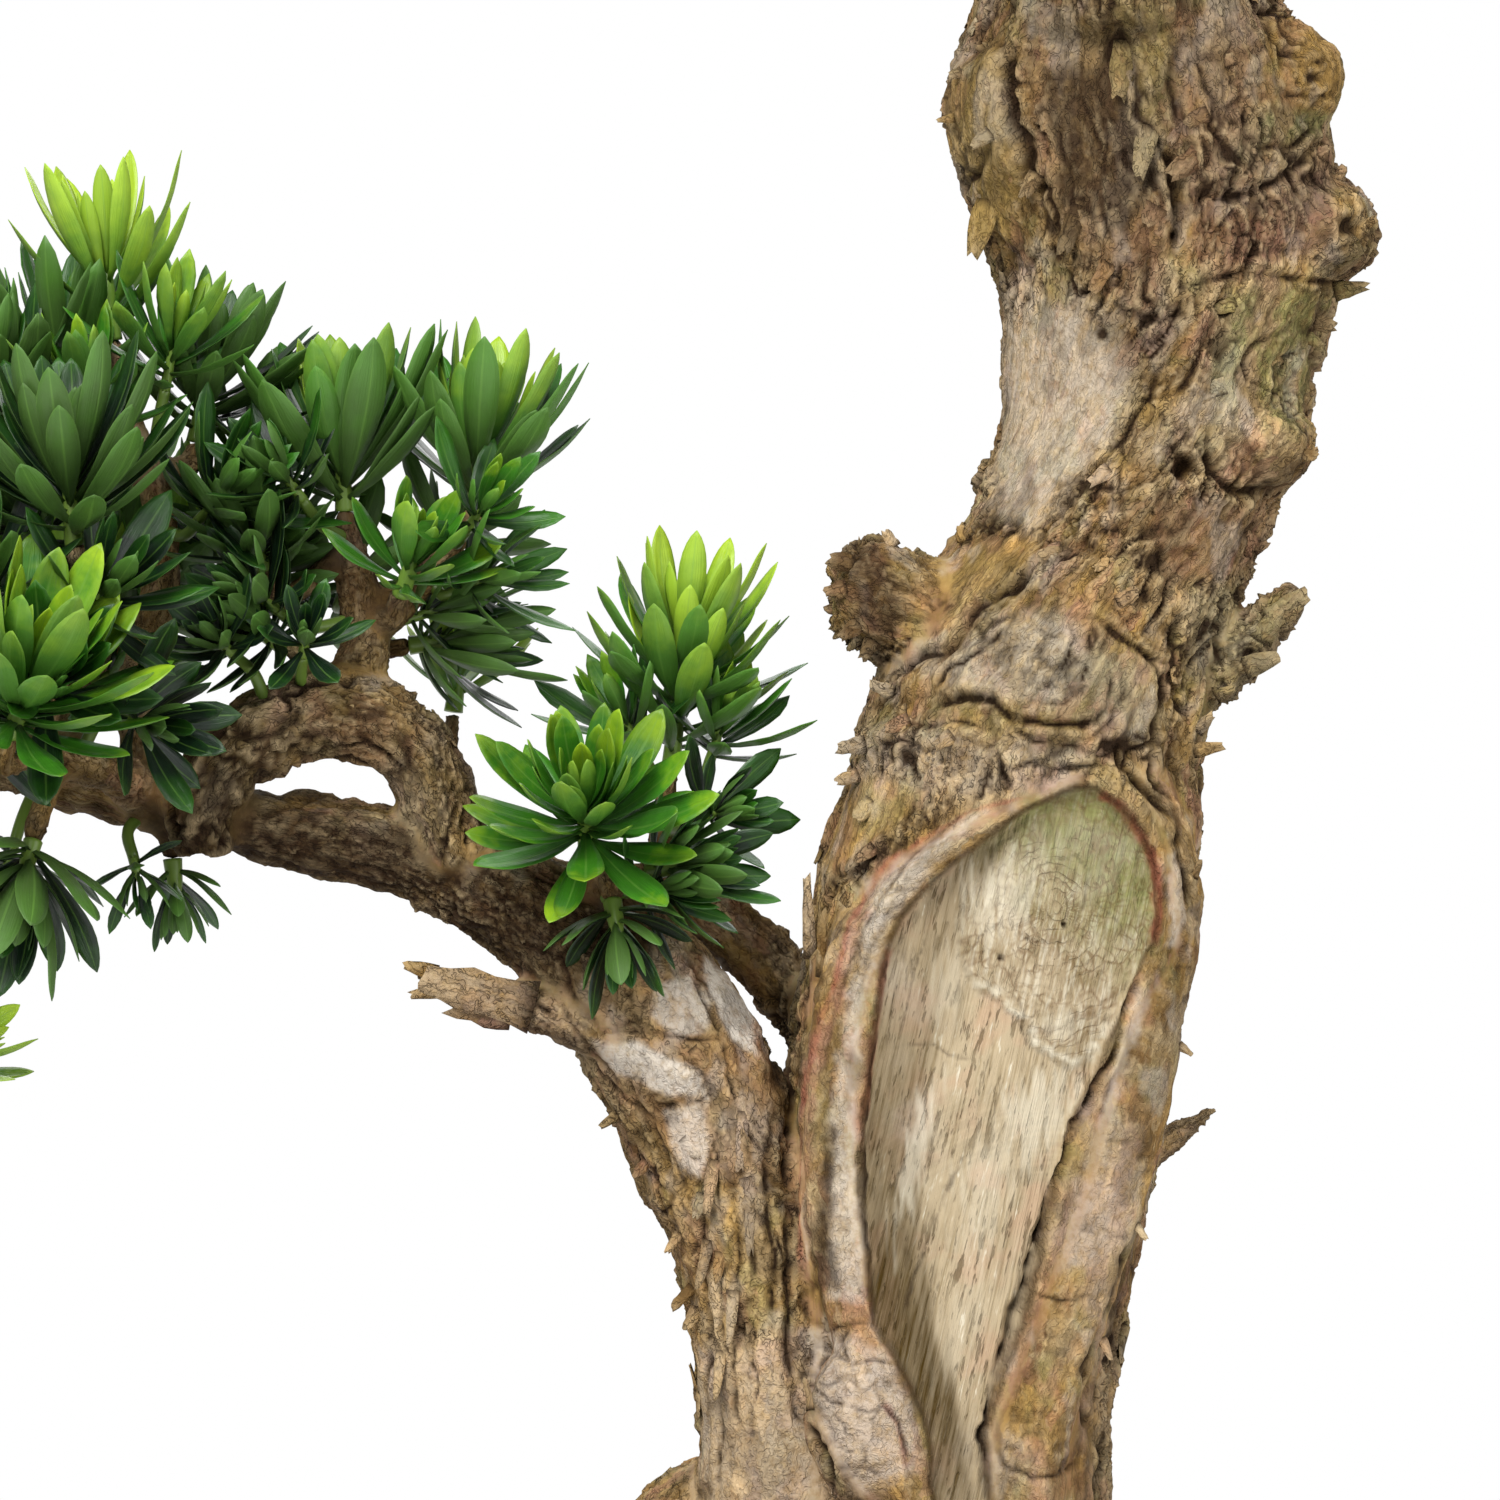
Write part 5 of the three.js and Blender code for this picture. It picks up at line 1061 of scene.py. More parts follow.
def group(name, takes, gives):
    """An empty node group with its named inputs and outputs, and its two end nodes."""
    tree = bpy.data.node_groups.new(name, "ShaderNodeTree")
    for label, kind, default in takes:
        socket = tree.interface.new_socket(label, in_out="INPUT", socket_type=kind)
        if default is not None:
            socket.default_value = default
    for label, kind in gives:
        tree.interface.new_socket(label, in_out="OUTPUT", socket_type=kind)
    return tree, tree.nodes.new("NodeGroupInput"), tree.nodes.new("NodeGroupOutput")


def use(tree, grouped, inputs):
    return put(tree, "ShaderNodeGroup", inputs, node_tree=grouped)


def fibre_group():
    """Fine fibres along the grain, with darker pores: for bark and for bare wood."""
    name = "Fibres along the grain"
    if name in bpy.data.node_groups:
        return bpy.data.node_groups[name]
    tree, start, end = group(
        name,
        [("Grain", "NodeSocketVector", None), ("Width", "NodeSocketFloat", 1.0), ("Length", "NodeSocketFloat", 8.0)],
        [("Streak", "NodeSocketFloat"), ("Pore", "NodeSocketFloat")],
    )
    split = put(tree, "ShaderNodeSeparateXYZ", {0: start.outputs["Grain"]})
    along = sums(tree, "DIVIDE", split.outputs[2], start.outputs["Length"])
    drawn = joined(tree, split.outputs[0], split.outputs[1], along)
    shrink = sums(tree, "DIVIDE", 1.0, start.outputs["Width"])
    streak = speckle(tree, drawn, times(tree, shrink, 0.5), 3.0, 0.72)
    feed(tree, end, {"Streak": streak, "Pore": span(tree, streak, 0.35, 0.43, 1.0, 0.0)})
    return tree


def mottle_group():
    """Soft patches of three colours, as on weather-worn bark, soil and fired clay."""
    name = "Mottled colour"
    if name in bpy.data.node_groups:
        return bpy.data.node_groups[name]
    tree, start, end = group(
        name,
        [("Place", "NodeSocketVector", None), ("Scale", "NodeSocketFloat", 1.0), ("Main", "NodeSocketColor", None),
         ("Light", "NodeSocketColor", None), ("Dark", "NodeSocketColor", None)],
        [("Color", "NodeSocketColor"), ("Patch", "NodeSocketFloat")],
    )
    broad = speckle(tree, start.outputs["Place"], start.outputs["Scale"], 5.0, 0.62, 0.5)
    small = speckle(tree, start.outputs["Place"], times(tree, start.outputs["Scale"], 3.7), 4.0, 0.6, 0.3)
    light = span(tree, broad, 0.48, 0.68)
    dark = span(tree, small, 0.5, 0.3)
    colour = blend(tree, light, start.outputs["Main"], start.outputs["Light"])
    colour = blend(tree, times(tree, dark, 0.75), colour, start.outputs["Dark"])
    feed(tree, end, {"Color": colour, "Patch": broad})
    return tree


def new_material(name):
    material = bpy.data.materials.new(name)
    material.use_nodes = True
    tree = material.node_tree
    tree.nodes.clear()
    out = tree.nodes.new("ShaderNodeOutputMaterial")
    shader = tree.nodes.new("ShaderNodeBsdfPrincipled")
    tree.links.new(shader.outputs[0], out.inputs[0])
    return material, tree, shader


# What a user may change


def colour_of(label, meaning, default):
    return bpy.props.FloatVectorProperty(
        name=label, description=meaning, subtype="COLOR", size=3, min=0, max=1, default=default)


class BarkLook(bpy.types.PropertyGroup):
    """Sizes and colours of the wood."""
    pitch: bpy.props.FloatProperty(
        name="Mesh pitch", description="Size of the wood's faces away from the front", default=0.00135, min=0.0006,
        max=0.004, subtype="DISTANCE", unit="LENGTH", precision=5)
    relief: bpy.props.FloatProperty(
        name="Relief", description="How strongly plates, fibres and flakes stand out", default=1.0, min=0, max=2)
    tan: colour_of("Tan", "Main colour of the bark", srgb(146, 117, 70))
    pale: colour_of("Pale bark", "Lighter bark on the plates", srgb(186, 164, 126))
    brown: colour_of("Brown", "Darker bark between the plates", srgb(96, 68, 36))
    # Painted shade in cracks, holes and creases, one colour for all.
    crack_shade: colour_of("Cracks", "Painted shade deep in cracks and creases", srgb(40, 26, 14))
    gold: colour_of("Golden bark", "Young smooth bark", srgb(182, 144, 80))
    moss: colour_of("Green film", "Algae on damp bark", srgb(130, 130, 78))
    blush: colour_of("Reddish bark", "Freshly opened bark", srgb(166, 118, 98))
    red: colour_of("Red line", "Living bark along the callus", srgb(150, 74, 58))
    bleach: colour_of("Bleached wood", "Old bare patches", srgb(212, 202, 188))
    # One darkest colour for painted shade and for dark weathering of the bark.
    soot: colour_of("Painted shade and dark weathering", "Painted shade and weather-darkened bark", srgb(47, 32, 17))


class WoundLook(bpy.types.PropertyGroup):
    """Colours of the bare wood in the pruning wound."""
    cream: colour_of("Cream wood", "Main colour of the bare wood", srgb(174, 157, 128))
    straw: colour_of("Straw", "Late wood and streaks", srgb(122, 104, 70))
    flesh: colour_of("Pinkish wood", "Patches of the bare wood", srgb(180, 150, 122))
    lip: colour_of("Chipped lip", "The broken edge of the end grain", srgb(218, 210, 188))
    film: colour_of("Green film", "Algae at the wound's top", srgb(112, 116, 62))
    stain: colour_of("Stain", "Ochre stain beside the callus", srgb(64, 47, 8))


class LeafLook(bpy.types.PropertyGroup):
    """Colours of the leaves by their age."""
    young: colour_of("Young leaf", "Leaves at a shoot's tip", srgb(172, 204, 42))
    grown: colour_of("Grown leaf", "Leaves in full growth", srgb(54, 114, 22))
    old: colour_of("Old leaf", "Dark leaves low on a shoot", srgb(11, 32, 16))
    midrib: colour_of("Midrib", "The line along a leaf's middle", srgb(112, 156, 66))
    stem: colour_of("Green stem", "The shoot's own stem", srgb(120, 150, 60))


class PotLook(bpy.types.PropertyGroup):
    """Colours of the pot and the soil."""
    clay: colour_of("Clay", "Main colour of the unglazed stoneware", srgb(104, 74, 58))
    ash: colour_of("Light clay", "Where the fire left it lighter", srgb(142, 108, 86))
    iron: colour_of("Iron specks", "Dark specks in the clay", srgb(52, 38, 32))
    crumb: colour_of("Soil", "Main colour of the soil grains", srgb(96, 72, 50))
    dry: colour_of("Dry grains", "Light grains", srgb(166, 134, 98))
    wet: colour_of("Damp grains", "Dark grains", srgb(44, 34, 26))
    moss: colour_of("Moss", "Moss on the soil near the trunk", srgb(84, 104, 36))
    grains: bpy.props.IntProperty(
        name="Grains", description="Loose grains on the soil", default=1200, min=0, max=3000)


class StageLook(bpy.types.PropertyGroup):
    """The floor and the light."""
    floor: colour_of("Floor", "Pale floor", (0.86, 0.86, 0.86))
    radius: bpy.props.FloatProperty(
        name="Floor radius", description="How far the floor reaches", default=1.3, min=0.5, max=5,
        subtype="DISTANCE", unit="LENGTH")
    key: bpy.props.FloatProperty(
        name="Key light", description="Power of the large soft light", default=44, min=0, max=500, subtype="POWER",
        unit="POWER")
    around: bpy.props.FloatProperty(
        name="Light around", description="Strength of the white room's light", default=0.34, min=0, max=3)


# Wood


def skeletons(shoots):
    """Every route of the wood: branches, roots, the wound's rolls and the twigs."""
    routes = {name: Route(rows) for name, rows in ROUTES.items()}
    for i, angle in enumerate(ROOT_ANGLES):
        routes[f"root{i}"] = Route(root_route(angle, i))
    routes["rimLeft"] = Route(rim_route(-1, RIM_LEFT))
    routes["rimRight"] = Route(rim_route(1, RIM_RIGHT))
    for shoot in shoots:
        routes["twig_" + shoot.name] = Route(twig_route(shoot, routes), 1.0)
    return routes


# Beyond these planes the skin's faces may be longer: axis, place, way.
COARSER = [(2, 450, 1), (2, 134, -1), (1, 14, 1)]


def squeezed(points, share):
    """Points with what lies beyond the planes drawn in to a share of its depth, or back out by 1 / share."""
    out = points.copy()
    for axis, place, way in COARSER:
        past = (out[:, axis] - place) * way
        out[:, axis] = np.where(past > 0, place + way * past * share, out[:, axis])
    return out


def wood_skin(routes, pitch):
    """The bodies of the wood under one skin of quads."""
    bodies = [trunk_body()] + [ball(*burl) for burl in BURLS]
    for name, route in routes.items():
        bodies.append(route.tube(12 if name.startswith("twig_") else 28))
    points, faces, start = [], [], 0
    for body_points, body_faces in bodies:
        points.append(body_points)
        faces += [tuple(int(k) + start for k in face) for face in body_faces]
        start += len(body_points)
    points, corners, counts = remesh(squeezed(np.vstack(points), 0.6), faces, pitch)
    return squeezed(points, 1 / 0.6), corners, counts


def local_frame(points, routes):
    """For each point of the wood: the grain's coordinates, the local radius, the owning route and the grain's way."""
    distance, along, angle, radius = trunk_local(points)
    owner = np.zeros(len(points), int)
    flow = np.tile([0.0, 0.0, 1.0], (len(points), 1))
    for k, (name, route) in enumerate(routes.items(), 1):
        reach = route.radius.max() + 5
        low, high = route.points.min(0) - reach, route.points.max(0) + reach
        some = np.nonzero(((points > low) & (points < high)).all(1))[0]
        if not len(some):
            continue
        d, s, a, r, ahead = route.local(points[some])
        d = d + (0.6 if name.startswith("twig_") else 0)
        closer = d < distance[some]
        some = some[closer]
        distance[some], along[some], angle[some], radius[some] = d[closer], s[closer], a[closer], r[closer]
        owner[some], flow[some] = k, ahead[closer]
    twist = ease(along, 290, 430) + 0.25 * ease(along, 150, 290)
    angle = np.where(owner == 0, angle - twist, angle)
    leaning = (owner == 0) & (points[:, 2] > 285) & (points[:, 2] < 440) & (points[:, 1] < 0)
    flow[leaning, 0] = 0.5
    size = np.array([36.0] + [float(np.clip(route.radius.mean(), 2.5, 20)) for route in routes.values()])[owner]
    shifted = along + owner * 37.0
    grain = np.stack([size * np.cos(angle), size * np.sin(angle), shifted], 1)
    return grain, radius, owner, flow


def raise_to(values, some, least):
    """Brings the values at some places up to at least those given."""
    values[some] = np.maximum(values[some], least)


class Relief:
    """Heights in millimetres and masks over the wood's points, gathered mark by mark."""

    def __init__(self, points, normals, grain, radius, owner, names):
        self.points, self.normals, self.grain = points, normals, grain
        self.radius, self.owner, self.names = radius, owner, names
        # Heights, how much painted shade each point takes in cracks, holes and creases, and how far in it is pushed.
        self.height, self.crease, self.inward = np.zeros((3, len(points)))
        self.masks = {
            key: np.zeros(len(points))
            for key in ("smooth", "gold", "moss", "blush", "bleach", "soot", "bare", "red", "lip", "ends")
        }
        self.uv = to_pixels(points)
        facing = ease(-normals[:, 1], 0.02, 0.3)
        seen = (points[:, 2] > 138) & (points[:, 2] < 446) & (points[:, 0] > -186)
        self.front = facing * seen

    def areas(self):
        for tone, soft, outline in AREAS:
            some = near_box(self.uv, outline, soft * 2)
            wobble = layers(self.points[some] / 6, 5, 2) * soft * 0.9
            within = ease(inside(self.uv[some], outline) + wobble, -soft, soft)
            for key, amount in tone.items():
                # The darkest tone, partly painted shade, also reaches sides turned away from the front.
                share = within * (self.front[some] if key != "soot" else ease(-self.normals[some, 1], -0.7, 0.1))
                raise_to(self.masks[key], some, share * amount)

    def wound(self):
        some = near_box(self.uv, WOUND_OUTLINE, 30)
        uv = self.uv[some]
        ragged = 3 * noise(self.points[some] / 1.6, 33) + 4 * noise(self.points[some] / 5, 34)
        depth = inside(uv, WOUND_OUTLINE) + 0.25 * ragged
        share = ease(depth, -2, 4) * self.front[some]
        self.masks["bare"][some] = share
        lower = ease(uv[:, 1], 1260, 1500)
        self.inward[some] += ease(depth, -5, 9) * self.front[some] * (WOUND_DEPTH * 0.8 - 1.5 * lower)
        # Painted shade along the gap at the wound's outline.
        raise_to(self.crease, some, 0.55 * np.exp(-((depth + 1) / 3.5) ** 2) * self.front[some])
        ends = inside(uv, END_GRAIN) + ragged * 1.6
        proud = ease(ends, -2, 3) * share
        self.inward[some] -= 1.1 * proud
        chipped = ease(uv[:, 1] - 0.35 * (uv[:, 0] - 1060), 985, 1030)
        chipped = chipped * ease(noise(self.points[some] / [2.6, 2.6, 2], 39), -0.45, 0.2)
        streaky = noise(self.points[some] / [1.1, 3, 8], 40)
        light = np.zeros(len(some))
        for u, v, wide, high, amount in WOUND_LIGHTS:
            away = np.hypot((uv[:, 0] - u + 0.2 * (uv[:, 1] - v)) / wide, (uv[:, 1] - v) / high)
            light = np.maximum(light, amount * ease(1 - away + 0.7 * streaky, -0.1, 0.7))
        self.masks["lip"][some] = np.maximum(np.exp(-((ends - 5) / 6) ** 2) * chipped, light) * share
        self.masks["ends"][some] = ease(ends, -2, 6)
        fine, broad = noise(self.points[some] / [1.4, 1.4, 9], 36), noise(self.points[some] / [7, 7, 30], 37)
        self.height[some] += share * (0.22 * fine + 0.35 * broad)
        self.height[some] -= share * 0.5 * ease(noise(self.points[some] / [0.9, 2, 7], 38), 0.45, 0.75)

    def lines(self):
        bent = self.uv + sway(self.points / 5, 12)[:, :2] * 3.5 + sway(self.points / 1.6, 13)[:, :2] * 1.6
        uneven = 0.45 + 0.55 * ease(noise(self.points / 4.5, 14), -0.4, 0.25)
        for width, depth, line in CRACKS:
            some = near_box(self.uv, line, width * 4)
            distance, _, share = to_line(bent[some], line)
            ends = ease(share, 0, 0.12) * ease(1 - share, 0, 0.12) * 0.6 + 0.4
            here = ends * uneven[some] * self.front[some]
            line_share = np.exp(-(distance / (width * 0.62)) ** 2) * here
            self.height[some] -= depth * line_share
            raised = np.exp(-((distance - width * 1.5) / width) ** 2) * here
            self.height[some] += 0.22 * depth * raised
            # Painted shade down the cracks.
            raise_to(self.crease, some, line_share * min(1, 0.3 + depth * 0.55))
        for width, height, line in ROLLS:
            some = near_box(self.uv, line, width * 2.5)
            distance, _, share = to_line(bent[some], line)
            ends = ease(share, 0, 0.1) * ease(1 - share, 0, 0.1)
            self.height[some] += height * np.exp(-(distance / width) ** 2) * ends * self.front[some]
        for u, v, radius, depth in HOLES:
            some = near_box(self.uv, [(u, v), (u, v)], radius * 3)
            distance = np.hypot(*(self.uv[some] - [u, v]).T)
            distance = distance * (1 + 0.35 * noise(self.points[some] / 2.2, 19))
            share = np.exp(-(distance / radius) ** 4) * self.front[some]
            self.height[some] -= depth * share
            # Painted shade in the hollows.
            raise_to(self.crease, some, share)
        for u, v, radius, height in KNOTS:
            some = near_box(self.uv, [(u, v), (u, v)], radius * 2)
            distance = np.hypot(*(self.uv[some] - [u, v]).T)
            distance = distance * (1 + 0.2 * noise(self.points[some] / 4, 21))
            share = ease(radius * 1.3 - distance, 0, radius * 0.6) * self.front[some]
            ripple = 0.5 + 0.5 * np.cos(distance / radius * 2 * np.pi * 2.6)
            self.height[some] += share * (height * 0.5 - 0.9 * (1 - ripple) ** 3)
            # Painted shade in the troughs between a knot's rings.
            raise_to(self.crease, some, share * (1 - ripple) ** 4 * 0.8)
        for tone, amount, width, line in TONE_LINES:
            some = near_box(self.uv, line, width * 4)
            distance, _, share = to_line(self.uv[some], line)
            wobble = (1 + 0.6 * noise(self.points[some] / 2.5, 31)).clip(0.2, 2)
            broken = amount * (0.55 + 0.45 * ease(noise(self.points[some] / [3, 3, 6], 32), -0.5, 0.1))
            ends = ease(share, 0, 0.06) * ease(1 - share, 0, 0.06)
            band = np.exp(-(distance / (width * wobble)) ** 4) * broken * ends * self.front[some]
            raise_to(self.masks[tone], some, band)

    def hollows(self):
        for depth, soft, outline in HOLLOWS:
            some = near_box(self.uv, outline, soft * 2)
            within = inside(self.uv[some], outline) + noise(self.points[some] / 4, 17) * soft * 0.6
            self.height[some] -= depth * ease(within, -soft, soft) * self.front[some]

    def swirls(self):
        for u, v, radius, flat, spacing, height in SWIRLS:
            some = near_box(self.uv, [(u, v), (u, v)], radius * 1.6)
            away = (self.uv[some] - [u, v]) / [flat, 1]
            reach = np.hypot(*away.T) * (1 + 0.22 * noise(self.points[some] / 6, 25))
            share = ease(radius - reach, 0, radius * 0.4) * self.front[some]
            round_ = away / np.maximum(np.hypot(*away.T), 1)[:, None] * 1.7
            ring = layers(np.column_stack([reach / spacing, round_]), 27, 2)
            self.height[some] += share * height * ring
            # Painted shade in the troughs of the swirls.
            raise_to(self.crease, some, share * 0.6 * ease(-ring, 0.25, 0.6))
            raise_to(self.masks["smooth"], some, share * 0.55)

    def plates(self, q, size, seed, width, lift, deep, present, amount):
        """Shingled plates of a size (around, along) in millimetres, cracked from each other here and there."""
        shape = np.array([size[0], size[0], size[1]])
        edge, own, offset = cells(q / shape, seed)
        gap = ease(width - edge * size[0] / 2, 0, width * 0.8) * present
        tilt = (offset * (own[:, [1, 2, 0]] * 2 - 1)).sum(1)
        self.height += amount * (lift * ((own[:, 1] - 0.5) + 1.3 * tilt) - deep * gap)
        # Painted shade in the gaps between plates.
        self.crease = np.maximum(self.crease, gap * amount.clip(0, 1))
        return own

    def bark(self, amount):
        """Plates, flakes, fibres and ridges by rule, calmer where the wood is smooth, bare or thin."""
        place, rim = self.points, self.rim
        size = np.clip(self.radius / 20, 0.2, 1)
        calm = (1 - 0.85 * self.masks["smooth"]) * (1 - 0.97 * self.masks["bare"])
        calm = calm * (1 - 0.72 * rim)
        self.masks["smooth"] = np.maximum(self.masks["smooth"], 0.8 * rim)
        lively = np.array([1.0] + [{"leftStub": 1.7, "rightStub": 1.7, "loop": 1.5}.get(n, 1.0) for n in self.names])
        strength = calm * amount * size ** 0.65 * lively[self.owner]
        rough = 0.65 + 0.7 * ease(layers(place / 26, 51, 2), -0.3, 0.35)
        q = self.grain / np.sqrt(size)[:, None]
        long_plates = [1.0] + [{"limb": 1.8, "kneeRoot": 1.6}.get(n, 1.0) for n in self.names]
        q = q / np.array(long_plates)[self.owner][:, None] ** [0, 0, 1]
        q = q + sway(place / 24, 41) * [5, 5, 10] + sway(place / 8, 43) * [1.5, 1.5, 3.0]
        q = q + sway(place / 2.6, 45) * 0.45 + sway(place / 1.1, 46) * 0.2

        self.height += amount * calm * size * 1.6 * layers(place / 19, 77, 2)
        thin = ease(self.radius, 3, 5.5) * ease(self.radius, 14, 9)
        self.height += amount * calm * thin * 1.7 * layers(place / 7, 79, 2)
        field = layers(q / [15, 15, 34], 61, 3) * 5.5 + self.grain[:, 2] / 70
        step = field - np.floor(field)
        flaky = ease(layers(place / 19, 63, 2), -0.25, 0.3)
        shelf = np.minimum(step / 0.88, (1 - step) / 0.12)
        self.height += strength * flaky * (shelf - 0.5) * 1.25
        lip = np.exp(-(np.minimum(step, 1 - step) / 0.05) ** 2)
        # Painted shade under the lip of each flaky shelf.
        self.crease = np.maximum(self.crease, lip * flaky * strength.clip(0, 1) * 0.85)
        ridge = 1 - np.abs(layers(q / [6, 6, 60], 3, 3)) * 2.4
        self.height += strength * rough * (ridge - 0.35) * 0.5
        torn = ease(layers(place / 11, 65, 2), -0.1, 0.3)
        large = self.plates(q, (10, 24), 7, 0.6, 1.0, 1.2, torn * 0.8 + 0.2, strength * rough)
        torn = ease(layers(place / 7, 67, 2), 0.0, 0.35)
        small = self.plates(q, (4.3, 10), 17, 0.36, 0.34, 0.45, torn, strength * rough)
        self.plate = large[:, 0] * 0.55 + small[:, 0] * 0.45
        self.plates(q, (2.0, 4.2), 27, 0.3, 0.26, 0.2, torn * 0.6, (0.3 + 0.7 * rough) * strength)
        fibre = layers((self.grain + sway(place / 9, 48) * 2) / [1.3, 1.3, 11], 23, 2)
        self.height += (0.2 + 0.8 * calm) * amount * size * fibre * 0.4
        wrinkle = ease(noise(q / [12, 12, 2.4], 29), 0.1, 0.5) * ease(layers(place / 20, 69, 2), 0.0, 0.3)
        self.height -= strength * wrinkle * 0.6
        # Painted shade in the wrinkles.
        self.crease = np.maximum(self.crease, wrinkle * strength.clip(0, 1) * 0.4)
        self.height += noise(place / [6, 6, 5], 71) * 0.5 * rim
        across = ease(noise(place / [7, 9, 1.7] + sway(place / 6, 49) * 0.3, 73), 0.2, 0.5)
        across = across * ease(noise(place / 9, 75), -0.2, 0.2) * 0.55 * rim
        self.height -= across
        # Painted shade in the cross cracks of the callus rolls.
        self.crease = np.maximum(self.crease, across * 0.7)

    def tints(self):
        """Colour patches by rule, where the photograph doesn't reach, and painted shade on the wood's undersides."""
        away = 1 - self.front * 0.6
        for key, seed, amount in (("moss", 81, 0.55), ("blush", 83, 0.5), ("gold", 85, 0.5), ("bleach", 87, 0.4)):
            patch = ease(layers(self.points / 26, seed, 3), 0.12, 0.42) * amount * away
            self.masks[key] = np.maximum(self.masks[key], patch)
        for key, seed, amount in (("moss", 131, 0.4), ("blush", 133, 0.42), ("soot", 135, 0.42), ("bleach", 137, 0.3),
                                  ("gold", 139, 0.35)):
            patch = ease(layers(self.points / [8, 8, 13], seed, 3), 0.1, 0.34) * amount * (1 - self.masks["bare"])
            self.masks[key] = np.maximum(self.masks[key], patch * ease(self.radius, 5, 9))
        # Painted shade: undersides above the foot take the darkest tone.
        under = ease(-self.normals[:, 2], 0.05, 0.75) * (self.points[:, 2] > 190) * 0.6
        self.masks["soot"] = np.maximum(self.masks["soot"], under)
        low = 0.35 * ease(150 - self.points[:, 2], 0, 70) * ease(layers(self.points / 12, 91, 2), -0.2, 0.4)
        self.masks["moss"] = np.maximum(self.masks["moss"], low)


def in_plates(tree, start):
    """The grain's coordinates counted in a group's own widths and lengths."""
    across = sums(tree, "DIVIDE", 1.0, start.outputs["Width"])
    along = sums(tree, "DIVIDE", 1.0, start.outputs["Length"])
    return stretch(tree, start.outputs["Grain"], joined(tree, across, across, along))


def crackle_group():
    """Small plates along the grain: three numbers for each plate, and the crooked fine cracks between."""
    name = "Small plates"
    if name in bpy.data.node_groups:
        return bpy.data.node_groups[name]
    tree, start, end = group(
        name,
        [("Grain", "NodeSocketVector", None), ("Width", "NodeSocketFloat", 3.0), ("Length", "NodeSocketFloat", 8.0)],
        [("Color", "NodeSocketColor"), ("Crack", "NodeSocketFloat")],
    )
    counted = in_plates(tree, start)
    own = put(tree, "ShaderNodeTexVoronoi", {"Vector": counted, "Scale": 1.0}).outputs[1]
    feed(tree, end, {"Color": own, "Crack": span(tree, edges_of_cells(tree, counted), 0.0, 0.07, 1.0, 0.0)})
    return tree


def wrinkle_group():
    """Crooked thin lines where a noise crosses its middle: fine cracks and the hollows beside them."""
    name = "Fine cracks"
    if name in bpy.data.node_groups:
        return bpy.data.node_groups[name]
    tree, start, end = group(
        name,
        [("Grain", "NodeSocketVector", None), ("Width", "NodeSocketFloat", 3.0), ("Length", "NodeSocketFloat", 6.0),
         ("Line", "NodeSocketFloat", 0.02)],
        [("Crack", "NodeSocketFloat"), ("Side", "NodeSocketFloat")],
    )
    value = speckle(tree, in_plates(tree, start), 1.0, 2.0, 0.62)
    away = sums(tree, "ABSOLUTE", sums(tree, "SUBTRACT", value, 0.5))
    feed(tree, end, {"Crack": span(tree, away, 0.0, start.outputs["Line"], 1.0, 0.0), "Side": value})
    return tree


def shaded(tree, colour, value):
    """A colour made darker or lighter by a value round 1."""
    tint = put(tree, "ShaderNodeCombineColor", {0: value, 1: value, 2: value}).outputs[0]
    return blend(tree, 1.0, colour, tint, "MULTIPLY")


def calmed(tree, share, value, rest):
    """A value drawn towards its rest by a share."""
    return put(tree, "ShaderNodeMix", {0: share, 2: value, 3: rest}, data_type="FLOAT").outputs[0]


# The middle of the end grain's rings: right and up in the source's axes.
RINGS_AT = (30.2, 258.6)


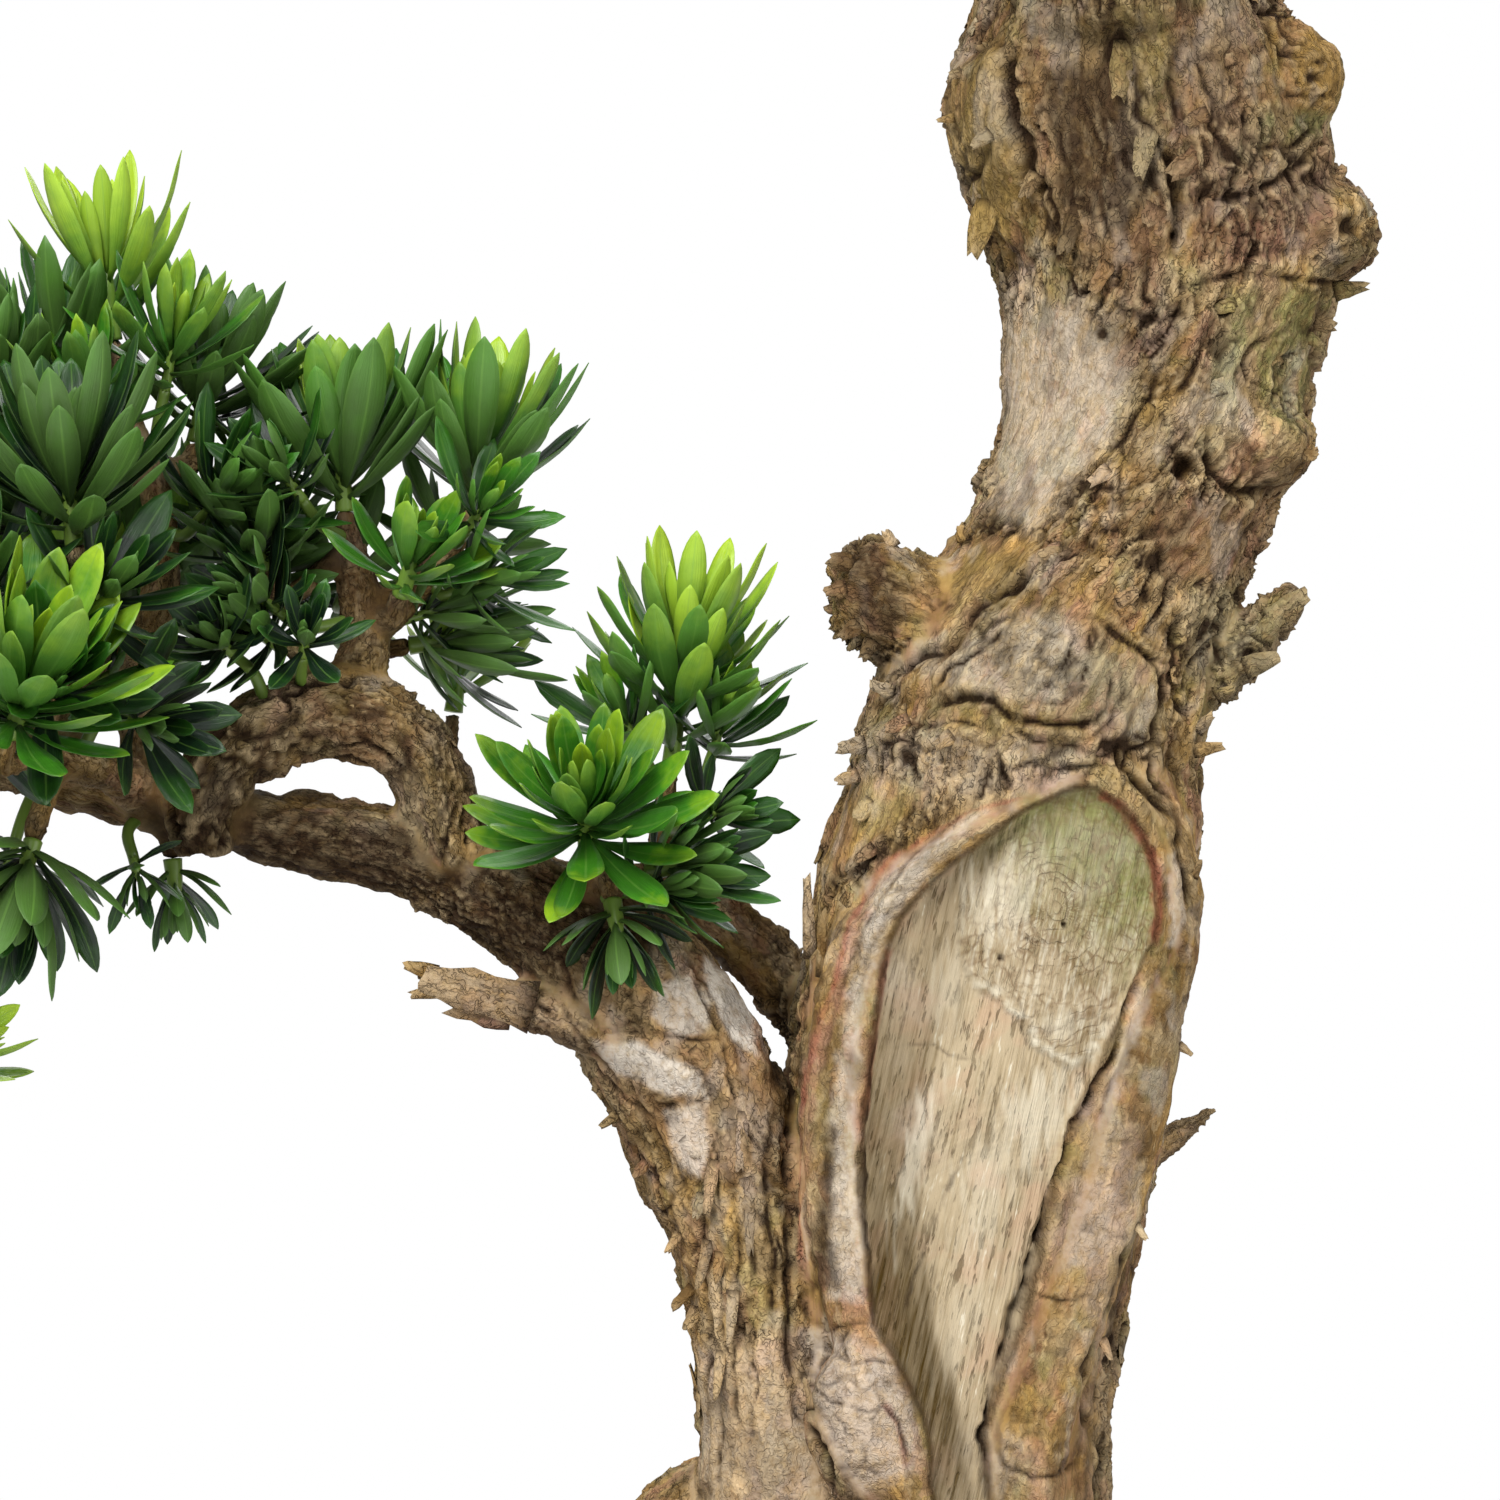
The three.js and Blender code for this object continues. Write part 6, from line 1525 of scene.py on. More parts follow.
def bark_material(look, wound):
    material, tree, shader = new_material("Weathered bark")
    place = place_of(tree)
    push = put(tree, "ShaderNodeTexNoise", {"Vector": place, "Scale": 330.0, "Detail": 2.0, "Roughness": 0.65})
    push = put(tree, "ShaderNodeVectorMath", {0: push.outputs[1], 1: (3.4, 3.4, 3.4), 2: (-1.7, -1.7, -1.7)},
               operation="MULTIPLY_ADD")
    grain = put(tree, "ShaderNodeVectorMath", {0: carried(tree, "grain", "Vector"), 1: push.outputs[0]},
                operation="ADD").outputs[0]
    fibres = use(tree, fibre_group(), {"Grain": grain, "Width": 0.6, "Length": 10.0})
    strands = use(tree, fibre_group(), {"Grain": grain, "Width": 2.2, "Length": 7.0})
    small = use(tree, crackle_group(), {"Grain": grain, "Width": 3.2, "Length": 7.5})
    cracks = use(tree, wrinkle_group(), {"Grain": grain, "Width": 2.4, "Length": 5.0, "Line": 0.022})
    seam = carried(tree, "seam")
    strand = calmed(tree, seam, strands.outputs["Streak"], 0.5)
    fibre = calmed(tree, seam, fibres.outputs["Streak"], 0.5)
    side = calmed(tree, seam, cracks.outputs["Side"], 0.5)
    of_small = put(tree, "ShaderNodeSeparateColor", {0: small.outputs["Color"]})
    base = use(tree, mottle_group(), {"Place": place, "Scale": 60.0, "Main": look.tan, "Light": look.pale,
                                      "Dark": look.brown})
    colour = base.outputs["Color"]
    plate = carried(tree, "plate")
    for value, low, high, full, target in (
            (plate, 0.5, 1.0, 0.6, look.brown), (plate, 0.42, 0.0, 0.5, look.pale),
            (of_small.outputs[0], 0.6, 1.0, 0.55, look.brown), (of_small.outputs[1], 0.7, 1.0, 0.45, look.gold),
            (of_small.outputs[2], 0.75, 1.0, 0.45, look.blush), (side, 0.54, 0.66, 0.4, look.pale)):
        colour = blend(tree, span(tree, value, low, high, 0, full), colour, target)
    uneven = span(tree, speckle(tree, place, 420.0, 3.0, 0.7), 0.34, 0.56, 0.45, 1.0)
    for key, full in (("gold", look.gold), ("moss", look.moss), ("blush", look.blush)):
        colour = blend(tree, times(tree, carried(tree, key), uneven), colour, full)
    streak = span(tree, fibre, 0.34, 0.66)
    colour = shaded(tree, colour, span(tree, strand, 0.34, 0.66, 0.62, 1.26))
    colour = shaded(tree, colour, span(tree, fibre, 0.36, 0.62, 0.8, 1.16))
    colour = blend(tree, times(tree, fibres.outputs["Pore"], 0.35), colour, look.brown)

    split = put(tree, "ShaderNodeSeparateXYZ", {0: place})
    x = times(tree, sums(tree, "SUBTRACT", split.outputs[0], (RINGS_AT[0] + SHIFT[0]) * MM), 1000)
    z = times(tree, sums(tree, "SUBTRACT", split.outputs[2], RINGS_AT[1] * MM), 1000)
    wobble = speckle(tree, place, 130.0, 3.0, 0.6)
    x_squared = times(tree, x, x)
    square = sums(tree, "ADD", x_squared, times(tree, times(tree, z, z), 0.62))
    far = sums(tree, "POWER", square, 0.5)
    ring = sums(tree, "MULTIPLY_ADD", wobble, 6.0, far)
    broken = span(tree, speckle(tree, place, 240.0, 2.0, 0.6), 0.4, 0.6, 0.25, 1.0)
    rings = span(tree, sums(tree, "SINE", times(tree, ring, 3.9)), 0.45, 1.0)
    rings = times(tree, times(tree, rings, broken), span(tree, far, 14.0, 6.0, 0.4, 0.9))
    turn = sums(tree, "ARCTAN2", z, x)
    polar = joined(tree, times(tree, turn, 7.0), times(tree, ring, 0.46), 0.0)
    checks = times(tree, span(tree, edges_of_cells(tree, polar), 0.03, 0.17, 1.0, 0.0), broken)
    end_grain = times(tree, carried(tree, "ends"), span(tree, far, 26.0, 19.0, 0.35, 1.0))
    slant = sums(tree, "MULTIPLY_ADD", z, -0.22, x)
    long_way = joined(tree, slant, 0.0, z)
    line = use(tree, fibre_group(), {"Grain": long_way, "Width": 0.5, "Length": 26.0}).outputs["Streak"]
    dashes = use(tree, fibre_group(), {"Grain": long_way, "Width": 0.75, "Length": 6.5})
    broad = speckle(tree, long_way, 0.08, 3.0, 0.6)
    wood = blend(tree, span(tree, line, 0.48, 0.34, 0.0, 0.6), wound.cream, wound.straw)
    wood = blend(tree, span(tree, broad, 0.5, 0.64, 0.0, 0.65), wood, wound.flesh)
    dash = dashes.outputs["Streak"]
    dark = times(tree, span(tree, dash, 0.44, 0.38), span(tree, broad, 0.38, 0.55, 0.3, 1.0))
    wood = blend(tree, times(tree, dark, 0.62), wood, wound.stain)
    pale = times(tree, span(tree, dash, 0.6, 0.66), span(tree, wobble, 0.42, 0.6, 0.1, 1.0))
    wood = blend(tree, times(tree, pale, 0.75), wood, wound.lip)
    saw = joined(tree, times(tree, x, 0.03), 0.0, sums(tree, "MULTIPLY_ADD", x_squared, 0.012, z))
    saw = span(tree, speckle(tree, saw, 0.9, 1.0, 0.6), 0.35, 0.65)
    sawn = times(tree, span(tree, z, -30.0, -40.0), span(tree, z, -60.0, -50.0))
    wood = shaded(tree, wood, sums(tree, "MULTIPLY_ADD", times(tree, saw, sawn), -0.14, 1.03))
    sawn_end = blend(tree, span(tree, wobble, 0.42, 0.62, 0.0, 0.65), wound.cream, wound.straw)
    sawn_end = blend(tree, span(tree, dash, 0.5, 0.62, 0.0, 0.45), sawn_end, wound.lip)
    wood = blend(tree, end_grain, wood, sawn_end)
    film = sums(tree, "ADD", sums(tree, "MULTIPLY_ADD", wobble, 20.0, z), times(tree, x, 0.85))
    film = times(tree, span(tree, film, 1.0, 26.0), span(tree, uneven, 0.45, 1.0, 0.6, 1.0))
    green = shaded(tree, wound.film, span(tree, line, 0.36, 0.62, 0.8, 1.3))
    wood = blend(tree, times(tree, film, 0.8), wood, green)
    marks = sums(tree, "MAXIMUM", times(tree, rings, 0.6), times(tree, checks, 0.56))
    wood = blend(tree, times(tree, marks, end_grain), wood, look.brown)
    stained = times(tree, carried(tree, "stain"), span(tree, line, 0.36, 0.6, 1.0, 0.72))
    wood = blend(tree, stained, wood, wound.stain)
    wood = blend(tree, times(tree, carried(tree, "lip"), 0.72), wood, wound.lip)
    bare = carried(tree, "bare")
    colour = blend(tree, bare, colour, wood)
    colour = blend(tree, times(tree, carried(tree, "bleach"), uneven), colour, look.bleach)
    # Painted shade and dark weathering, in the darkest bark colour.
    shade_and_weathering_share = times(tree, carried(tree, "soot"), span(tree, uneven, 0.45, 1.0, 0.8, 1.0))
    colour = blend(tree, shade_and_weathering_share, colour, look.soot)
    colour = blend(tree, times(tree, carried(tree, "red"), 0.8), colour, look.red)
    # Painted highlight on the raised edges of plates and flakes.
    colour = blend(tree, times(tree, carried(tree, "edge"), 0.5), colour, look.pale)
    barky = sums(tree, "SUBTRACT", 1.0, sums(tree, "MAXIMUM", bare, seam))
    here = span(tree, base.outputs["Patch"], 0.42, 0.56, 0.25, 1.0)
    fine = sums(tree, "MAXIMUM", cracks.outputs["Crack"], times(tree, small.outputs["Crack"], 0.6))
    rougher = span(tree, carried(tree, "smooth"), 0.2, 0.9, 1.0, 0.22)
    fine = times(tree, times(tree, fine, here), times(tree, barky, rougher))
    # Painted shade in the fine cracks, then in the cracks, holes and creases.
    colour = blend(tree, times(tree, fine, 0.68), colour, look.crack_shade)
    colour = blend(tree, span(tree, carried(tree, "crease"), 0.05, 0.75, 0.0, 0.95), colour, look.crack_shade)
    hollow = times(tree, cracks.outputs["Crack"], times(tree, barky, rougher))
    height = sums(tree, "MULTIPLY_ADD", strand, 1.1, times(tree, streak, 0.45))
    height = sums(tree, "MULTIPLY_ADD", side, 1.3, height)
    height = sums(tree, "MULTIPLY_ADD", hollow, -0.5, height)
    wood_height = sums(tree, "MULTIPLY_ADD", line, 0.9, times(tree, dark, -0.35))
    wood_height = sums(tree, "MULTIPLY_ADD", times(tree, rings, end_grain), -0.4, wood_height)
    feed(tree, shader, {
        "Base Color": colour, "Roughness": span(tree, streak, 0.0, 1.0, 0.72, 0.94), "Specular IOR Level": 0.1,
        "Normal": bumped(tree, 1.0, 0.0008, calmed(tree, bare, height, wood_height)),
    })
    return material


# What the photograph's frame takes in of the wood: lowest pixels, highest pixel, and how far back in millimetres.
VIEW_LOW, VIEW_HIGH, VIEW_BACK = [330, -20], 1520, 25
# Heights between which the relief fades out under the soil.
BURIAL = (74, 92)


def in_view(points, corners):
    """Which of the skin's quads look forward inside the photograph's frame."""
    quads = corners.reshape(-1, 4)
    a, b, c, d = (points[quads[:, k]] for k in range(4))
    across = np.cross(c - a, d - b)
    middle = (a + b + c + d) / 4
    uv = to_pixels(middle)
    facing = across[:, 1] < 0.12 * np.linalg.norm(across, axis=1)
    if not facing.any():
        raise RuntimeError("no face of the wood looks forward")
    return ((uv > VIEW_LOW) & (uv < VIEW_HIGH)).all(1) & facing & (middle[:, 1] < VIEW_BACK)


def stain_share(points, uv):
    """How dark the bare wood is stained: beside the left callus, at the foot and at the upper left."""
    stain = np.zeros(len(points))
    some = near_box(uv, WOUND_OUTLINE, 10)
    u, v = uv[some].T
    beside = np.interp(v, [960, 1000, 1100, 1200, 1330, 1500], [880, 884, 876, 874, 890, 940])
    ragged = 9 * layers(points[some] / [2.5, 2.5, 14], 95, 3)
    share = np.interp(v, [900, 960, 1100, 1200, 1290, 1420, 1500], [0, 0.5, 0.66, 0.78, 1.0, 1.0, 0.7])
    wider = np.interp(v, [900, 1000, 1120, 1200], [30, 24, 4, 0])
    stain[some] = ease(beside + 46 + wider - u + 2 * ragged, -16, 18) * share
    raise_to(stain, some, 0.35 * ease(v + ragged * 3, 1380, 1480))
    upper = to_line(uv[some], [(985, 860), (950, 905), (925, 960)])[0]
    raise_to(stain, some, 0.55 * ease(30 - np.abs(upper) + ragged, 0, 20))
    return stain


class BONSAI_OT_wood(bpy.types.Operator):
    """Builds the trunk with its wound, the limb, branches, twigs and roots"""
    bl_idname = "bonsai.wood"
    bl_label = "Wood"

    def execute(self, context):
        look = context.scene.bonsai_bark
        shoots = read_shoots()
        routes = skeletons(shoots)
        pitch = look.pitch / MM
        points, corners, counts = wood_skin(routes, pitch)
        around = Around(len(points), corners, counts)
        radius = local_frame(points, routes)[1]
        points = around.smooth(points, 6, np.clip(radius / 12, 0.15, 0.6))
        points = drawn_in(points)
        points, corners, counts = refine(points, corners, counts, in_view(points, corners))
        around = Around(len(points), corners, counts)
        points = around.smooth(points, 2, 0.5)
        mesh = mesh_from("skin", points, corners, counts)
        normals = around.smooth(vertex_normals(mesh), 3, 0.6)
        normals /= np.linalg.norm(normals, axis=1)[:, None]
        bpy.data.meshes.remove(mesh)
        grain, radius, owner, flow = local_frame(points, routes)
        seam = np.zeros(len(points))
        meet = owner[around.a] != owner[around.b]
        seam[around.a[meet]] = seam[around.b[meet]] = 1
        seam = (around.smooth(seam, 4, 0.8) * 3).clip(0, 1)
        relief = Relief(points, normals, grain, around.smooth(radius, 12, 0.8), owner, list(routes))
        rims = [k for k, name in enumerate(routes, 1) if name.startswith("rim")]
        relief.rim = around.smooth(np.isin(owner, rims).astype(float), 12, 0.8)
        relief.areas()
        relief.wound()
        relief.lines()
        relief.hollows()
        relief.swirls()
        height, crease = relief.height.copy(), relief.crease.copy()
        relief.bark(look.relief)
        relief.height = height + around.smooth(relief.height - height, 6, seam * 0.85)
        relief.crease = crease + (relief.crease - crease) * (1 - seam)
        relief.tints()
        calm = (relief.masks["smooth"] * (1 - relief.masks["bare"])).clip(0, 1) * 0.6
        relief.height = around.smooth(relief.height, 2, calm)
        above_soil = ease(points[:, 2], *BURIAL)
        moved = points + normals * (relief.height * above_soil)[:, None]
        moved[:, 1] += relief.inward
        soft = around.smooth(relief.height, 6, 0.7)
        # Painted highlight where the relief stands above its surroundings.
        edge = ((relief.height - soft) / 0.75).clip(-1, 1)
        # Painted shade in the cracks and in every low place of the relief.
        crease = np.maximum(relief.crease * 0.9, (-edge * 0.6).clip(0, 1) * (1 - 0.6 * relief.masks["bare"]))
        fields = dict(
            relief.masks, crease=crease.clip(0, 1), edge=edge.clip(0, 1), plate=relief.plate,
            stain=stain_share(points, relief.uv), grain=grain, seam=seam)
        material = bark_material(look, context.scene.bonsai_wound)
        split_wood(moved, corners, counts, fields, material)
        flakes(moved, normals, flow, relief, fields, material)
        return {"FINISHED"}


def drawn_in(points):
    """Brings the right callus's outer side in to where the photograph shows it."""
    z = points[:, 2]
    side = ease(points[:, 0], 48, 64) * (points[:, 2] < 290)
    inward = np.interp(z, [205, 222, 232, 240, 250, 258, 266, 276], [0, 1.5, 3.5, 5.4, 5.2, 3.6, 1.6, 0])
    out = points.copy()
    out[:, 0] -= inward * side
    return out


def flake_body(base, along, out, length, width, curl, seed):
    """A torn flake of bark: its points (rows, two sides) and faces, rooted a little under the surface."""
    side = unit(np.cross(along, out))
    t = np.linspace(0, 1, 6)
    middle = base + along * (t * length)[:, None] + out * (-0.5 + curl * length * t ** 1.7)[:, None]
    wide = width / 2 * (1 - 0.2 * t - 0.3 * t ** 3) * (0.85 + 0.3 * np.array([chance(seed + k) for k in range(6)]))
    across = np.array([-1, -0.4, 0.3, 1])
    reach = np.array([chance(seed + 10 + k) for k in range(4)]) * 0.22 * length
    rows = middle[:, None] + side * (across[None] * wide[:, None])[..., None]
    rows = rows + along * (t[:, None] ** 3 * (reach[None] - 0.1 * length))[..., None]
    bow = 0.12 * width * (1 - across ** 2)
    thick = (0.55 - 0.4 * t)[:, None] * np.array([0.35, 1, 1, 0.35])[None]
    top = rows + out * (bow[None] + thick / 2)[..., None]
    low = rows + out * (bow[None] - thick / 2)[..., None]
    rings = np.concatenate([top, low[:, ::-1]], 1)
    return loft(rings)


def flakes(points, normals, flow, relief, fields, material):
    """Peeling flakes over the bark, thickest where the photograph shows a torn outline, and its larger shards."""
    random = np.random.default_rng(11)
    trunk_like = np.isin(relief.owner, [0] + [k for k, n in enumerate(relief.names, 1) if n in (
        "limb", "leftStub", "rightStub", "kneeRoot", "loop", "limbShard", "rimRight")])
    calm = np.maximum(relief.masks["smooth"], relief.masks["bare"])
    likely = trunk_like * (1 - calm).clip(0, 1) ** 2 * (points[:, 2] > 96)
    likely = likely * ease(layers(relief.points / 24, 101, 2), -0.25, 0.3)
    outline = np.exp(-(normals[:, 1] / 0.25) ** 2) * (relief.uv[:, 1] < 1500) * (relief.uv[:, 1] > 0)
    picked = []
    for weight, count in ((likely, 160), (likely * outline, 30)):
        picked += list(random.choice(len(points), count, replace=False, p=weight / weight.sum()))
    sites = []
    for i in picked:
        out = normals[i]
        turn = math.radians(random.uniform(-55, 55) + (180 if random.random() < 0.6 else 0))
        lean = flow[i] - out * (flow[i] @ out)
        lean /= np.linalg.norm(lean) + 1e-9
        lean = lean * math.cos(turn) + np.cross(out, lean) * math.sin(turn)
        size = np.clip(relief.radius[i] / 16, 0.45, 1)
        sites.append((i, lean, out, random.uniform(2.5, 6.0) * size, random.uniform(2.2, 5.0) * size,
                      random.uniform(0.04, 0.22)))
    for u, v, way, length, width, curl in SHARDS:
        near = (relief.uv[:, 0] - u) ** 2 + (relief.uv[:, 1] - v) ** 2 + (points[:, 1] + 30) ** 2 * 2
        i = int(near.argmin())
        lean = unit(np.array([math.cos(math.radians(way)), -0.12, math.sin(math.radians(way))]))
        out = normals[i] * 0.35 + [0.0, -1.0, 0.0]
        out = unit(out - lean * (out @ lean))
        sites.append((i, lean, out, length / PIXELS, width / PIXELS, curl))
    greens = Greenery()
    for k, (i, lean, out, length, width, curl) in enumerate(sites):
        body, faces = flake_body(points[i], lean, out, length, width, curl, k * 1.37)
        reach = (body - points[i]) @ lean
        aside = (body - points[i]) @ np.cross(lean, out)
        values = {key: float(array[i]) for key, array in fields.items() if array.ndim == 1}
        # Painted shade at each flake's root, and a painted highlight towards its tip.
        values.update(crease=0.75 * np.exp(-((reach + 0.3) / 0.8) ** 2), edge=0.7 * ease(reach / length, 0.5, 1.1),
                      plate=chance(k * 0.77), bare=0.0, red=0.0, lip=0.0)
        greens.add(body, faces, **values, grainX=fields["grain"][i, 0] + aside, grainY=fields["grain"][i, 1],
                   grainZ=fields["grain"][i, 2] + reach)
    parts = [np.concatenate(greens.fields.pop(key)) for key in ("grainX", "grainY", "grainZ")]
    greens.fields["grain"] = [np.stack(parts, 1)]
    piece = greens.build("bark_flakes", material)
    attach(piece, "root")
    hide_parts("trunk_and_branches")


def split_wood(points, corners, counts, fields, material):
    """Makes the wood's pieces, each a part of the one skin, with the whole skin's normals."""
    whole = mesh_from("wood", to_frame(points), corners, counts)
    shade_smooth(whole)
    normals = vertex_normals(whole)
    bpy.data.meshes.remove(whole)
    starts = np.concatenate([[0], np.cumsum(counts)[:-1]])
    middle = points[corners[starts]]
    x, z = middle[:, 0], middle[:, 2]
    limb = (x < -24) & (z > 150) & (z < 480)
    parts = {
        "limb_and_left_branches": limb,
        "foot_and_roots": ~limb & (z <= 178),
        "trunk_with_wound": ~limb & (z > 178) & (z <= 300),
        "trunk_above_wound": ~limb & (z > 300) & (z <= 400),
        "crown_wood": ~limb & (z > 400),
    }
    for name, chosen in parts.items():
        in_part = np.repeat(chosen, counts)
        used, local = np.unique(corners[in_part], return_inverse=True)
        mesh = mesh_from(name, to_frame(points[used]), local.reshape(-1), counts[chosen])
        shade_smooth(mesh)
        mesh.normals_split_custom_set_from_vertices([tuple(n) for n in normals[used]])
        for key, values in fields.items():
            set_attribute(mesh, key, values[used])
        mesh.materials.append(material)
        piece = object_of(mesh, name)
        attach(piece, "root")
        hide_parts("trunk_and_branches")


# Shoots


def read_shoots():
    return [Shoot(name) for name in sorted(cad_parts) if name.startswith("shoot_")]


# How a placed shoot looks: age of its outer and inner leaves from 0 to 1, leaves added between the CAD ones, how
# wide its leaves are, and the widest that the added ones open, in degrees.
AGES = {
    "top_left": (0.25, 0.0, 3, 0.66, 40), "left_dark": (1.0, 0.95, 26, 0.85, 55), "left_mid": (1.0, 0.9, 20, 0.75, 52),
    "riser_top": (1.0, 0.28, 20, 0.8, 40), "riser_right": (0.9, 0.22, 20, 0.8, 44),
    "riser_front": (0.5, 0.45, 7, 1.05, 55), "strut_top": (0.6, 0.0, 26, 0.82, 48),
    "front_rosette": (0.5, 0.42, 24, 0.9, 80), "front_low": (1.0, 0.9, 8, 0.95, 60),
    "front_side": (0.95, 0.85, 12, 0.85, 60), "behind_limb": (0.25, 0.1, 8, 0.8, 50),
    "riser_left": (0.95, 0.85, 14, 0.8, 55), "riser_dark": (1.0, 0.95, 12, 0.9, 70),
    "riser_low": (1.0, 0.9, 12, 0.6, 60),
    "left_bright": (0.52, 0.36, 20, 0.9, 70), "left_low": (1.0, 0.95, 14, 0.95, 60),
    "left_hanging": (1.0, 0.85, 8, 0.9, 60), "left_edge": (1.0, 0.8, 14, 0.85, 55), "drop_end": (0.4, 0.1, 8, 0.8, 60),
}
# The same for the shoots that the photograph doesn't show.
OTHER_AGES = (0.85, 0.15, 9, 0.8, 60)
# Small sprays between the placed shoots: branch, seat, lean, leaf size, leaves, widest opening, ages of the outer
# and inner leaves, width.
SPRAYS = [
    ("riser", (-124, -16, 318), (-0.7, -0.5, 0.5), 21, 13, 75, 1.0, 0.9, 0.75),
    ("riser", (-119, -14, 340), (-0.5, -0.5, 0.7), 22, 12, 65, 1.0, 0.8, 0.7),
    ("riser", (-126, 10, 330), (-0.5, 0.4, 0.8), 22, 12, 70, 1.0, 0.9, 0.7),
    ("loop", (-132, -22, 309), (-0.5, -0.6, 0.5), 17, 12, 75, 1.0, 1.0, 0.85),
    ("loop", (-118, -22, 309), (0.1, -0.7, 0.6), 16, 11, 75, 1.0, 1.0, 0.85),
    ("riser", (-99, -2, 316), (0.9, -0.2, 0.25), 24, 12, 60, 1.0, 0.9, 0.5),
    ("riserFork", (-88, -6, 322), (0.8, -0.4, 0.3), 24, 11, 60, 0.9, 0.7, 0.5),
    ("riserFork", (-86, -12, 334), (0.4, -0.7, 0.5), 21, 10, 65, 0.8, 0.5, 0.7),
    ("leftUp", (-139, -12, 336), (0.6, -0.5, 0.6), 26, 14, 65, 1.0, 0.7, 0.62),
    ("leftUp", (-141, 6, 330), (0.7, 0.3, 0.6), 26, 13, 65, 1.0, 0.8, 0.62),
    ("leftUp", (-160, -14, 352), (-0.1, -0.4, 0.9), 30, 14, 60, 0.75, 0.4, 0.62),
    ("leftUp", (-146, -12, 362), (0.2, -0.3, 0.9), 28, 13, 60, 0.7, 0.3, 0.6),
    ("leftFront", (-158, -44, 316), (0.4, -0.6, 0.6), 26, 14, 70, 1.0, 0.9, 0.72),
    ("leftFront", (-178, -42, 318), (-0.3, -0.5, 0.7), 28, 14, 70, 1.0, 0.9, 0.72),
    ("leftFront", (-152, -38, 296), (0.6, -0.6, -0.1), 24, 12, 70, 1.0, 1.0, 0.85),
    ("limb", (-152, -14, 268), (0.2, -0.5, -0.8), 14, 8, 70, 1.0, 0.9, 0.7),
    ("limb", (-176, -16, 270), (-0.2, -0.5, -0.8), 22, 10, 65, 1.0, 1.0, 0.85),
    ("strut", (-38, 4, 288), (0.3, -0.3, 0.9), 24, 12, 65, 0.8, 0.4, 0.68),
    ("strut", (-52, 2, 290), (-0.4, -0.4, 0.8), 24, 12, 65, 0.85, 0.5, 0.68),
    ("strut", (-40, -2, 276), (0.7, -0.6, 0.3), 19, 10, 70, 0.9, 0.8, 0.9),
    ("limb", (-52, -22, 262), (0.8, -0.5, 0.1), 20, 10, 65, 0.9, 0.9, 0.6),
    ("leftUp", (-136, 12, 348), (0.6, 0.4, 0.7), 28, 13, 65, 1.0, 0.9, 0.65),
    ("leftUp", (-132, 2, 322), (0.8, -0.1, 0.4), 26, 13, 70, 1.0, 0.9, 0.7),
    ("leftUp", (-166, 8, 344), (-0.5, 0.4, 0.8), 30, 14, 65, 1.0, 0.9, 0.65),
    ("leftUp", (-168, -20, 330), (-0.4, -0.6, 0.6), 28, 13, 70, 1.0, 0.9, 0.75),
    ("leftFront", (-166, -52, 300), (0.1, -0.8, 0.3), 26, 12, 70, 0.9, 0.7, 0.8),
    ("riser", (-112, 10, 322), (0.1, 0.8, 0.5), 24, 13, 75, 1.0, 0.9, 0.75),
    ("riserFork", (-92, 14, 330), (0.3, 0.7, 0.6), 24, 13, 70, 1.0, 0.9, 0.7),
    ("leftBack", (-160, 30, 318), (0.4, 0.2, 0.9), 30, 15, 70, 1.0, 0.9, 0.7),
    ("leftBack", (-176, 34, 322), (-0.3, 0.2, 0.9), 30, 15, 70, 1.0, 0.9, 0.7),
    ("leftUp", (-176, -8, 352), (-0.3, -0.2, 0.95), 34, 15, 50, 1.0, 0.75, 0.65),
    ("leftUp", (-168, 4, 358), (0.05, 0.1, 1.0), 36, 15, 45, 0.9, 0.6, 0.62),
    ("leftFront", (-182, -42, 298), (-0.3, -0.7, -0.5), 28, 13, 70, 1.0, 0.95, 0.9),
]


# A leaf's outline: share of its length and of its half width.
LEAF_WIDE = [(0, 0.2), (0.06, 0.2), (0.15, 0.34), (0.28, 0.6), (0.42, 0.84), (0.56, 0.97), (0.68, 1.0), (0.78, 0.93),
             (0.86, 0.78), (0.92, 0.58), (0.96, 0.39), (0.985, 0.22), (1, 0.04)]


class Greenery:
    """Gathers points, faces and attributes of many leaves and stems."""

    def __init__(self):
        self.points, self.faces, self.fields, self.count = [], [], {}, 0

    def add(self, points, faces, **fields):
        self.points.append(points)
        self.faces += [tuple(int(k) + self.count for k in face) for face in faces]
        for key, values in fields.items():
            self.fields.setdefault(key, []).append(np.broadcast_to(values, len(points)).astype(float))
        self.count += len(points)

    def build(self, name, material):
        counts = np.array([len(face) for face in self.faces])
        corners = np.array([k for face in self.faces for k in face])
        mesh = mesh_from(name, to_frame(np.vstack(self.points)), corners, counts)
        shade_smooth(mesh)
        for key, values in self.fields.items():
            set_attribute(mesh, key, np.concatenate(values))
        mesh.materials.append(material)
        return object_of(mesh, name)


